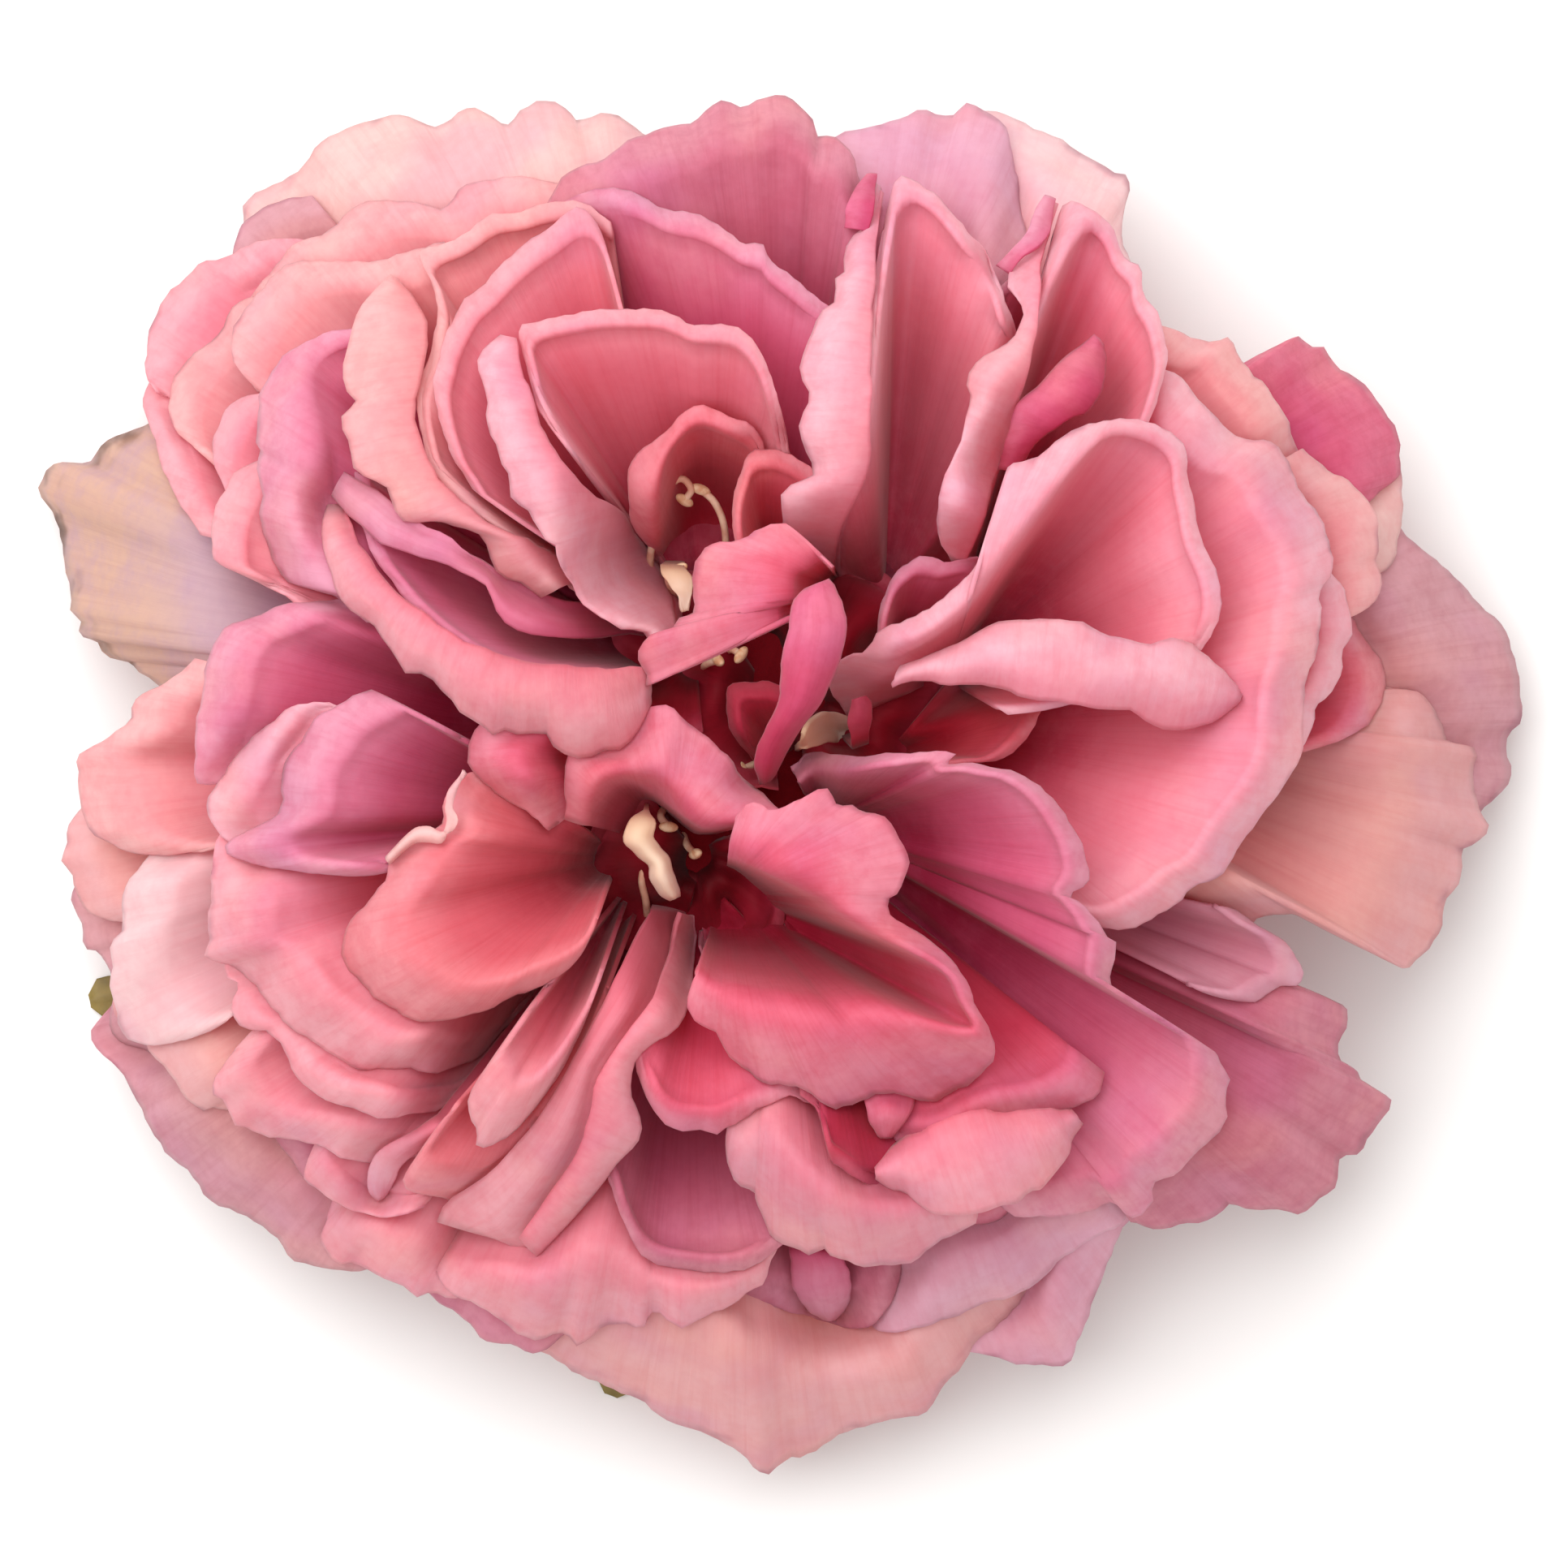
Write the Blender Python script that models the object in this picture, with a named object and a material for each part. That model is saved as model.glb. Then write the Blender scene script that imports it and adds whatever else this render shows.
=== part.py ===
"""A full-blown, very double garden rose, picked off its stem and lying on its back, calyx down.

The origin lies on the surface below the stem scar, with +Z up out of the bloom. Lengths in the tables are
millimetres. Every petal is one sheet: its ribs rise from the receptacle to a crest and run on to its rim.
The petals are listed from the topmost to the lowest, and each one is laid below those before it.
"""

import bmesh
import bpy
import numpy as np
from mathutils import Vector

MM = 0.001

# The bloom's outer form: a low cushion that the crests reach.
BLOOM_TOP = 44.0
BLOOM_REACH = 60.0
BLOOM_ROUNDNESS = 3.2
BLOOM_MIDDLE = (2.0, -2.0)

# The core, which the petals and stamens grow from: the receptacle with the crowded petal claws on it.
DOME_MIDDLE = (0.0, 0.5)
DOME_RADIUS = 21.0
DOME_BASE = 13.5
DOME_RISE = 9.5
CORE_FOOT = (6.0, 9.5)
CORE_SIDES = 12
ROOT_DEPTH = 2.6

# The sheets are worked out on a fine grid, which the solid takes every few rows and columns of.
FINE_ACROSS = 60
WALL_ROWS = 24
LIP_ROWS = 16
STALK_ROWS = 12
PETAL_THICKNESS = 0.7
FACET = 9.0

# How the sheets are laid below each other.
CELL = 0.5
FIELD = 66.0
CLEARANCE = 0.42
STEEPEST = 4.0
LIP_STEEPNESS = 1.2
NARROWEST_LIP = 1.4
MERGE_WITHIN = 0.002
SHORTEST_EDGE = 0.08
LONG_WALL = 15.0
LEAST_FAN = 0.12
LAYING_ROUNDS = 5
SAMPLES_ALONG_EDGE = 20

# The hip and its sepals.
HIP_TOP = 9.2
HIP_RADIUS = 5.6
SCAR_RADIUS = 2.4
SEPAL_THICKNESS = 0.9
SEPAL_REACHES = ((201.0, 53.2), (258.0, 50.3), (330.0, 44.0), (42.0, 43.6), (122.0, 45.0))
SEPAL_WIDTH = 8.5
SEPAL_ROOM = 2.6

PETAL_COLOUR = (0.83, 0.27, 0.36, 1.0)
CALYX_COLOUR = (0.20, 0.23, 0.07, 1.0)


def scoop(name, root, rim, fold=0.86, crest=0.0, lip=-2.5, belly=1.2, claw=3.0, pleats=()):
    """A petal whose ribs rise from its root to the fold and run on to the rim."""
    return dict(kind="scoop", name=name, root=root, rim=rim, fold=fold, crest=crest, lip=lip,
                belly=belly, claw=claw, pleats=pleats)


def strip(name, root, left, right, lift, arch=1.0):
    """A narrow curled petal between two margins that run from its stalk to its tip."""
    return dict(kind="strip", name=name, root=root, left=left, right=right, lift=lift, arch=arch)


MIDDLE = [
    strip("centre_curl", root=(2.2, -1.6), arch=1.7, lift=(-10.0, -5.0, -1.0, 0.5, 1.0, -1.0),
          left=[(1.3, -2.9), (0.9, -1.8), (1.1, -0.3), (1.9, 1.2), (2.7, 3.2), (2.9, 5.5), (3.3, 8.0),
                (3.7, 10.3), (4.6, 11.4)],
          right=[(1.9, -2.7), (2.5, -1.9), (3.3, -0.2), (4.3, 1.4), (5.8, 3.3), (6.9, 6.0), (7.5, 8.3),
                 (7.3, 10.4), (6.2, 12.0)]),
    scoop("centre_scoop", root=(8.0, 11.5), fold=0.3, crest=-2.0, lip=(-5.0, -6.0, -8.0, -5.0, -3.0, -3.0),
          rim=[(4.3, 8.6), (3.3, 9.0), (1.6, 7.9), (0.0, 7.1), (-2.2, 6.0), (-3.2, 4.4), (-5.0, 3.5),
               (-6.7, 3.2), (-6.8, 4.4), (-7.4, 5.8), (-6.7, 7.2), (-5.0, 7.3), (-4.7, 8.3), (-3.3, 8.9),
               (-3.8, 10.5), (-3.7, 12.2), (-3.2, 13.2), (-2.3, 13.8), (-0.9, 14.1), (0.5, 15.0),
               (1.8, 15.6), (3.0, 15.5), (4.0, 14.5), (5.2, 13.0), (5.9, 11.8)]),
]

SOUTH_EAST_TOP = [
    scoop("south_mouth", root=(-1.6, -11.0), belly=2.2, crest=(-2.0, 0.0, 0.0, -1.0, -3.0, -3.0, -4.0),
          lip=(-3.0, -2.5, -2.0, -2.5, -7.0, -7.0, -7.0, -6.0),
          rim=[(-0.6, -5.6), (0.5, -4.4), (2.2, -4.8), (4.2, -4.0), (5.5, -3.3), (6.2, -3.6), (6.8, -4.4),
                (8.0, -4.4), (8.7, -4.8), (10.0, -5.0), (11.0, -6.2), (12.0, -8.0), (12.2, -8.8),
                (11.3, -10.6), (10.7, -11.0), (10.7, -12.2), (12.0, -12.8), (14.5, -14.2), (16.5, -16.3),
                (17.5, -18.0), (19.2, -21.0),
                (18.3, -23.3), (17.0, -24.3), (15.5, -25.1), (14.0, -25.1), (12.6, -24.7),
                (11.0, -25.1), (8.7, -26.0), (7.7, -25.9), (5.5, -24.8), (3.3, -24.8), (2.0, -24.0),
                (0.8, -23.3), (-0.1, -22.5), (-1.0, -21.3), (-2.3, -20.8), (-3.0, -19.8), (-3.1, -18.9)],
          fold=[(-1.9, -8.0), (0.0, -8.6), (2.0, -9.4), (4.0, -10.3), (6.0, -11.3), (8.0, -12.8),
                 (10.0, -14.0), (12.0, -14.3), (13.8, -14.7), (15.0, -15.6), (17.0, -18.5), (18.5, -20.7),
                 (17.0, -21.6), (14.5, -21.6), (12.0, -21.0), (9.0, -21.2), (6.0, -20.6),
                 (3.0, -19.8), (0.0, -19.0), (-1.8, -18.0), (-2.4, -17.0)]),
    strip("south_tongue", root=(3.0, -10.5), arch=0.7, lift=(-7.0, -6.0, -8.0),
          left=[(8.0, -22.5), (8.7, -26.0), (9.5, -28.0), (10.2, -29.2)],
          right=[(12.4, -22.5), (12.6, -25.5), (12.5, -27.0), (11.0, -29.2)]),
    scoop("south_east_shell", root=(6.5, -8.5), crest=-2.0, lip=-7.5,
          rim=[(9.9, -32.2), (10.6, -33.0), (11.8, -33.2), (12.5, -33.7), (13.5, -34.5), (15.0, -34.8),
               (16.5, -34.9), (18.0, -34.6), (19.3, -34.2), (20.3, -34.0), (21.2, -33.1), (22.0, -33.0),
               (23.3, -31.5), (24.0, -30.5), (24.4, -29.3), (25.2, -28.2)],
          fold=[(10.2, -31.6), (10.8, -30.8), (11.5, -29.9), (12.6, -29.3), (13.4, -29.2), (14.0, -28.6),
                (16.0, -27.8), (17.5, -27.5), (19.5, -27.7), (21.0, -27.6), (22.5, -27.6), (24.0, -27.5)]),
    scoop("south_red_cup", root=(4.5, -9.5), fold=0.93, crest=-4.0, lip=-4.6,
          rim=[(4.2, -26.0), (5.3, -27.4), (4.8, -28.3), (4.7, -29.0), (5.0, -30.0), (5.7, -31.2),
               (6.5, -32.2), (7.5, -33.0), (8.5, -33.2), (9.8, -33.2), (10.8, -33.3), (11.8, -32.4)]),
    scoop("south_small_rose", root=(-2.8, -10.0), fold=0.85, crest=-9.0, lip=-10.0, claw=2.0,
          rim=[(-3.3, -15.0), (-2.8, -17.5), (-2.5, -18.8), (-1.0, -19.4), (1.0, -19.0), (2.8, -17.6)]),
    scoop("south_east_sail", root=(5.6, -6.0), fold=0.9,
          crest=(-5.0, -1.0, 0.0, 0.0, -1.0, -2.0, -4.0, -7.0),
          lip=(-6.0, -2.0, -2.0, -3.0, -4.0, -6.0, -9.0, -12.0),
          pleats=((0.62, 0.035, 2.6), (0.86, 0.05, 1.4)),
          rim=[(3.5, -1.6), (4.5, -0.9), (6.0, -0.8), (9.0, -0.9), (12.0, -0.7), (14.5, -0.4), (15.4, -0.7),
               (14.7, -1.4), (17.0, -1.2), (18.5, -1.6), (20.0, -1.8), (21.5, -2.5), (22.7, -3.5),
               (23.5, -4.7), (24.8, -6.2), (25.4, -8.0), (25.4, -9.3), (24.3, -10.4), (25.2, -10.9),
               (26.3, -12.0), (27.3, -13.4), (28.0, -13.2), (27.9, -14.8), (27.6, -16.5), (28.8, -16.6),
               (30.0, -16.2), (32.5, -16.0), (34.0, -16.8), (35.5, -18.0), (36.0, -19.5), (36.5, -21.0),
               (37.5, -22.3), (37.3, -23.5), (37.5, -25.0), (37.2, -26.5), (36.0, -27.4), (34.2, -29.5),
               (33.0, -30.3), (33.0, -31.5), (32.3, -32.5), (31.5, -32.7), (30.5, -31.8), (28.0, -32.6),
               (25.5, -33.2), (23.0, -33.0), (21.0, -31.0)]),
]

NORTH_EAST = [
    scoop("east_band", root=(10.2, 2.4), crest=-1.5, lip=-3.5, claw=1.5,
          fold=[(11.0, 4.3), (12.2, 4.7), (15.0, 4.5), (17.5, 4.4), (20.0, 3.8), (22.0, 3.2), (24.0, 3.0),
                (26.0, 2.7), (28.5, 2.4), (31.0, 1.2), (32.5, 1.1), (34.5, 1.6), (36.2, 2.7)],
          rim=[(12.6, 6.0), (15.7, 7.3), (17.5, 8.3), (19.0, 8.9), (21.5, 9.1), (23.0, 9.2), (24.8, 8.9),
               (26.2, 8.1), (28.0, 7.8), (30.0, 7.3), (31.5, 7.7), (34.0, 6.8), (36.3, 4.5), (37.0, 3.6)]),
    scoop("north_east_cup", root=(16.0, 5.0), belly=2.0, claw=2.0,
          crest=(-6.0, -1.0, 1.0, 1.0, 0.0, 0.0, -2.0, -4.0),
          lip=(-8.0, -3.0, -1.5, -1.5, -1.5, -2.0, -4.0, -6.0),
          rim=[(7.6, 2.0), (6.5, 3.8), (6.6, 5.3), (7.6, 6.4), (9.0, 6.8), (10.2, 8.3), (12.0, 8.9),
                (14.0, 10.3), (16.0, 11.8), (17.2, 13.8), (17.2, 15.5), (16.9, 18.0), (17.3, 20.0),
                (18.5, 20.6), (20.7, 21.2), (22.5, 23.0), (25.0, 24.2),
                (27.0, 24.8), (29.5, 24.4), (31.5, 23.0), (31.8, 21.0), (32.0, 19.7),
                (32.5, 18.0), (33.0, 17.0), (33.5, 15.5), (34.3, 14.0), (34.8, 12.0), (34.5, 10.3),
                (33.5, 8.7), (32.0, 7.5), (29.5, 6.0), (25.0, 4.2), (20.0, 2.6)],
          fold=[(8.2, 3.2), (9.5, 4.4), (10.8, 5.4), (12.0, 6.9), (13.5, 7.9), (15.0, 9.0), (16.5, 10.5),
                 (17.4, 12.0), (19.0, 14.2), (21.0, 17.0), (23.5, 20.0), (25.3, 23.2),
                 (27.0, 23.7), (29.0, 23.2), (30.6, 22.0), (31.0, 19.5), (32.0, 16.8),
                 (33.0, 14.2), (33.7, 12.0), (33.4, 10.3), (32.4, 8.9), (29.0, 6.8), (24.5, 4.8),
                 (19.5, 3.2)]),
    strip("north_east_wing", root=(10.6, 7.6), arch=0.9, lift=(-8.0, -3.0, -0.5, -2.0),
          left=[(18.7, 20.2), (19.6, 22.8), (20.2, 25.0), (21.8, 26.4), (23.6, 28.4), (25.2, 29.6),
                (26.0, 30.3)],
          right=[(20.4, 20.4), (21.6, 22.3), (23.0, 23.3), (24.2, 24.1), (25.6, 24.8), (26.6, 26.8),
                 (26.6, 29.6)]),
    strip("north_east_roll", root=(9.8, 8.6), arch=0.4, lift=(-4.0, -1.0, -1.0, -3.0),
          left=[(18.8, 35.6), (20.0, 36.8), (21.0, 38.0), (21.8, 39.8), (22.4, 40.9)],
          right=[(19.8, 35.0), (20.8, 36.2), (22.0, 37.0), (22.8, 38.3), (23.2, 40.6)]),
    scoop("north_east_fan", root=(15.0, 11.0), belly=2.0, claw=2.0,
          crest=(-3.0, 0.0, 1.5, 1.0, 0.0, -1.0, -4.0), lip=(-5.0, -2.0, -1.0, -1.5, -2.5, -4.0, -7.0),
          rim=[(14.4, 17.6), (14.6, 18.8), (14.9, 19.8), (15.6, 21.2), (16.1, 22.5),
                (16.4, 24.0), (16.8, 25.5), (16.6, 26.8), (17.0, 27.8), (17.9, 28.7), (19.0, 29.2),
                (20.0, 30.0), (20.6, 31.2), (20.8, 32.3), (20.2, 33.3), (19.6, 34.2), (19.8, 35.2),
                (20.8, 36.5), (22.0, 37.3), (22.6, 38.3), (22.8, 40.8),
                (25.3, 39.6), (26.3, 38.3), (26.9, 37.0), (28.0, 36.0), (28.2, 34.3),
                (29.3, 33.0), (29.8, 31.8), (30.0, 29.0), (29.0, 25.0), (26.0, 19.0), (21.0, 13.0),
                (16.0, 9.0)],
          fold=[(17.4, 17.4), (17.9, 19.0), (18.8, 20.7), (19.2, 22.0), (19.6, 24.0), (20.2, 26.0),
                 (20.7, 28.0), (21.2, 30.5), (21.4, 33.0), (21.7, 36.0), (22.2, 38.2), (22.9, 40.0),
                 (25.0, 38.6), (27.2, 35.6), (28.5, 32.5), (28.8, 29.0), (27.8, 25.0),
                 (25.0, 19.4), (20.2, 13.6), (15.6, 9.6)]),
    strip("north_roll", root=(7.6, 9.6), arch=0.4, lift=(-2.0, 0.0, -1.5),
          left=[(7.4, 38.2), (7.7, 39.8), (8.4, 41.4), (9.1, 42.3)],
          right=[(9.2, 38.0), (9.6, 39.4), (9.8, 40.8), (9.8, 42.3)]),
    scoop("north_fan", root=(7.8, 9.0), belly=2.1, claw=2.0,
          crest=(-9.0, -4.0, 0.0, 1.0, 1.0, 0.0, -2.0, -4.0, -8.0),
          lip=(-9.0, -5.0, -2.0, -1.0, -1.0, -1.5, -3.0, -6.0, -10.0),
          rim=[(5.2, 13.3), (3.8, 15.0), (2.7, 15.7), (3.0, 16.8), (2.9, 18.6), (4.0, 19.2), (5.5, 19.8),
                (4.8, 21.5), (4.2, 23.0), (4.2, 24.0), (4.9, 25.2), (5.0, 26.0), (4.4, 26.9), (4.2, 28.0),
                (5.2, 30.6), (5.9, 32.0), (6.8, 32.7), (6.7, 34.2), (7.6, 35.0), (7.5, 36.3), (8.0, 37.5),
                (9.0, 38.4), (9.1, 40.2), (9.8, 42.0),
                (12.0, 41.3), (13.5, 40.0), (15.0, 38.0), (16.0, 37.2), (17.0, 35.3),
                (17.9, 33.0), (19.2, 29.0), (19.3, 24.0), (18.0, 18.0), (15.5, 13.0), (12.5, 9.5)],
          fold=[(5.9, 13.6), (6.1, 15.2), (6.7, 16.8), (8.0, 18.6), (8.6, 20.0), (8.7, 22.0), (8.8, 26.0),
                 (8.8, 30.0), (9.0, 34.0), (9.4, 38.0), (9.9, 41.2),
                 (12.0, 40.4), (14.4, 37.4), (16.9, 33.8), (18.3, 29.0), (18.4, 24.0),
                 (17.1, 18.2), (14.8, 13.4), (12.0, 10.2)]),
]

NORTH_WEST = [
    scoop("north_west_heart_flap", root=(2.0, 11.0), fold=0.9, crest=-8.0, lip=-8.5, claw=2.0,
          rim=[(-0.5, 14.0), (-0.8, 16.0), (-0.9, 18.0), (-0.6, 20.0), (-0.2, 21.4), (1.0, 21.5),
               (2.2, 21.6), (3.2, 21.3), (4.4, 20.3), (4.9, 18.0)]),
    scoop("north_west_heart", root=(-2.6, 10.6), belly=3.4, crest=(-10.0, -6.0, -5.0, -5.0, -8.0), claw=5.0,
          lip=(-12.0, -8.0, -6.0, -5.5, -9.0),
          rim=[(-6.6, 13.6), (-7.2, 14.8), (-8.2, 16.0), (-8.8, 18.5), (-8.8, 20.0), (-8.4, 21.0),
               (-7.0, 22.3), (-6.3, 23.2), (-5.3, 24.2), (-4.0, 24.9), (-3.0, 24.7), (-2.1, 24.2),
               (-0.7, 23.8), (0.0, 22.9), (0.5, 21.6), (0.8, 19.5)],
          fold=[(-6.3, 13.8), (-6.4, 15.2), (-6.4, 17.0), (-6.3, 19.0), (-6.3, 21.0), (-6.2, 22.3),
                (-5.6, 23.3), (-5.0, 23.9), (-4.0, 24.4), (-3.0, 24.2), (-2.2, 23.7), (-1.0, 23.2),
                (-0.4, 22.4), (0.0, 21.2), (0.3, 19.5)]),
    scoop("north_west_cup", root=(-2.6, 9.0), belly=2.0,
          crest=(-9.0, -4.0, 0.0, 1.0, 1.0, 1.5, 1.5, 0.5, -2.0),
          lip=(-10.0, -7.0, -3.0, -2.0, -2.0, -1.0, 0.5, 0.0, -3.0),
          rim=[(-6.7, 6.8), (-7.0, 7.5), (-7.5, 8.3), (-9.3, 8.6), (-10.8, 9.7), (-12.2, 10.6),
                (-12.8, 12.0), (-13.6, 13.6), (-13.6, 14.4), (-14.5, 15.0), (-15.4, 16.2), (-15.8, 17.0),
                (-17.0, 18.3), (-17.2, 19.7), (-18.0, 20.7), (-18.0, 21.5), (-18.6, 22.8), (-18.9, 24.0),
                (-18.8, 25.2), (-19.6, 27.5), (-19.3, 29.0), (-18.0, 30.2),
                (-16.5, 30.4), (-14.5, 30.8), (-11.0, 31.6), (-9.5, 31.5), (-7.0, 31.3),
                (-5.8, 30.7), (-3.5, 30.9), (-2.0, 30.3), (-0.6, 29.0), (0.2, 27.0), (1.0, 25.0),
                (2.0, 22.0)],
          fold=[(-5.6, 7.2), (-5.5, 9.0), (-5.7, 10.8), (-6.5, 12.6), (-7.4, 14.0), (-8.4, 15.6),
                 (-9.4, 17.0), (-11.0, 18.0), (-12.8, 19.5), (-14.0, 21.0), (-15.0, 23.0), (-15.8, 25.0),
                 (-16.5, 27.5), (-17.2, 29.6),
                 (-15.8, 29.8), (-14.3, 30.1), (-11.0, 30.9), (-9.5, 30.8), (-7.0, 30.6),
                 (-5.8, 30.1), (-3.5, 30.2), (-2.2, 29.6), (-1.0, 28.4), (-0.3, 26.6), (0.4, 24.6),
                 (1.4, 21.8)]),
    scoop("north_west_second", root=(-4.6, 9.0), fold=0.93, crest=(-6.0, -2.0, 0.0, 0.5, 0.5, -1.0),
          lip=(-7.0, -3.0, -1.0, -0.5, -0.5, -2.0),
          rim=[(-12.0, 12.6), (-13.6, 14.4), (-15.0, 14.8), (-17.5, 15.7), (-20.0, 18.0), (-21.0, 19.5),
               (-22.2, 21.2), (-23.2, 23.5), (-23.7, 26.0), (-23.5, 28.5), (-22.7, 30.5), (-22.0, 32.0),
               (-20.0, 34.2), (-18.0, 36.5), (-16.0, 38.2), (-14.8, 38.9), (-13.4, 37.0), (-12.4, 33.0),
               (-12.0, 30.0)]),
    scoop("north_west_third", root=(-5.6, 8.4), belly=2.2,
          crest=(-6.0, -3.0, 0.0, 1.0, 1.0, 0.0, -1.0), lip=(-8.0, -5.0, -2.5, -2.0, -1.5, -1.5, -2.0),
          rim=[(-15.0, 10.8), (-16.4, 12.0), (-18.0, 12.5), (-19.0, 14.5), (-20.0, 15.8), (-21.5, 16.2),
                (-23.0, 16.6), (-25.0, 16.3), (-26.0, 17.6), (-26.2, 19.0), (-28.2, 19.9), (-28.8, 20.5),
                (-29.2, 21.8), (-29.7, 23.4), (-29.6, 24.6), (-28.5, 25.2), (-29.4, 26.2), (-29.8, 28.0),
                (-29.2, 30.0), (-28.7, 32.0), (-27.5, 33.7), (-26.3, 34.9),
                (-24.0, 36.0), (-22.0, 37.6), (-20.0, 38.3), (-18.8, 38.8), (-17.0, 39.2),
                (-15.0, 39.2), (-13.5, 38.0)],
          fold=[(-12.6, 12.0), (-13.8, 13.6), (-15.6, 14.4), (-17.4, 15.2), (-19.4, 16.2), (-21.5, 18.0),
                 (-23.0, 20.0), (-24.0, 22.0), (-24.5, 24.5), (-24.3, 26.5), (-23.7, 29.0), (-23.6, 31.0),
                 (-24.8, 33.2), (-25.8, 34.4),
                 (-23.6, 35.4), (-21.6, 36.8), (-19.8, 37.5), (-18.6, 38.0), (-17.0, 38.4),
                 (-15.2, 38.4), (-13.9, 37.4)]),
    strip("north_west_edge", root=(-6.6, 9.6), arch=0.8, lift=(-9.0, -5.0, -2.0, -2.0, -3.0),
          left=[(-7.6, 9.6), (-10.0, 10.0), (-14.0, 10.8), (-18.0, 12.8), (-22.0, 15.2), (-26.0, 17.8),
                (-29.6, 20.2)],
          right=[(-7.3, 8.2), (-8.8, 8.3), (-12.0, 7.7), (-16.0, 8.3), (-17.9, 9.2), (-19.2, 12.0),
                 (-22.5, 13.4), (-25.0, 14.2), (-28.0, 15.8), (-30.6, 18.4)]),
    scoop("west_lip", root=(-6.4, 5.8), crest=(-7.0, -3.5, -1.0, 0.0, 0.0, -1.0),
          lip=(-9.0, -6.5, -4.0, -3.0, -3.0, -3.0),
          rim=[(-6.9, 2.9), (-7.5, 1.5), (-8.4, 0.2), (-9.3, -0.5), (-10.5, -0.6), (-11.7, -1.0),
               (-13.0, -0.8), (-13.8, -0.5), (-14.2, 0.3), (-15.0, 0.8), (-16.2, 0.7), (-17.8, 1.1),
               (-18.7, 0.6), (-19.6, 1.6), (-20.5, 2.0), (-21.5, 3.3), (-22.5, 4.3), (-23.5, 5.0),
               (-24.7, 5.2), (-25.3, 6.0), (-26.0, 7.0), (-27.5, 8.8), (-29.0, 10.0), (-30.2, 11.5),
               (-30.8, 13.5), (-31.2, 15.5), (-31.0, 17.6)],
          fold=[(-7.2, 5.2), (-8.6, 5.0), (-10.5, 4.8), (-13.0, 4.9), (-16.0, 5.2), (-19.0, 6.0),
                (-22.0, 7.6), (-25.0, 9.8), (-27.6, 12.4), (-28.8, 14.6), (-29.6, 17.4)]),
    scoop("north_west_fourth", root=(-8.2, 7.6), crest=(-4.0, -1.0, 1.0, 1.0, -1.0),
          lip=(-6.0, -4.0, -2.0, -2.0, -3.0),
          rim=[(-28.0, 9.0), (-30.0, 10.6), (-31.0, 10.8), (-33.5, 10.9), (-34.0, 11.3), (-35.0, 12.5),
               (-35.7, 14.0), (-36.2, 15.7), (-36.3, 17.0), (-36.9, 18.5), (-36.8, 20.0), (-37.2, 20.6),
               (-37.2, 22.7), (-37.4, 24.0), (-36.5, 26.0), (-35.0, 27.1), (-33.0, 28.0), (-30.5, 28.4)],
          fold=[(-26.0, 11.0), (-28.0, 12.6), (-29.6, 14.2), (-30.4, 16.2), (-30.8, 18.4), (-31.4, 20.6),
                (-32.4, 22.6), (-33.6, 24.3), (-33.4, 26.0), (-32.0, 27.0), (-30.0, 27.4)]),
]

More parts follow.
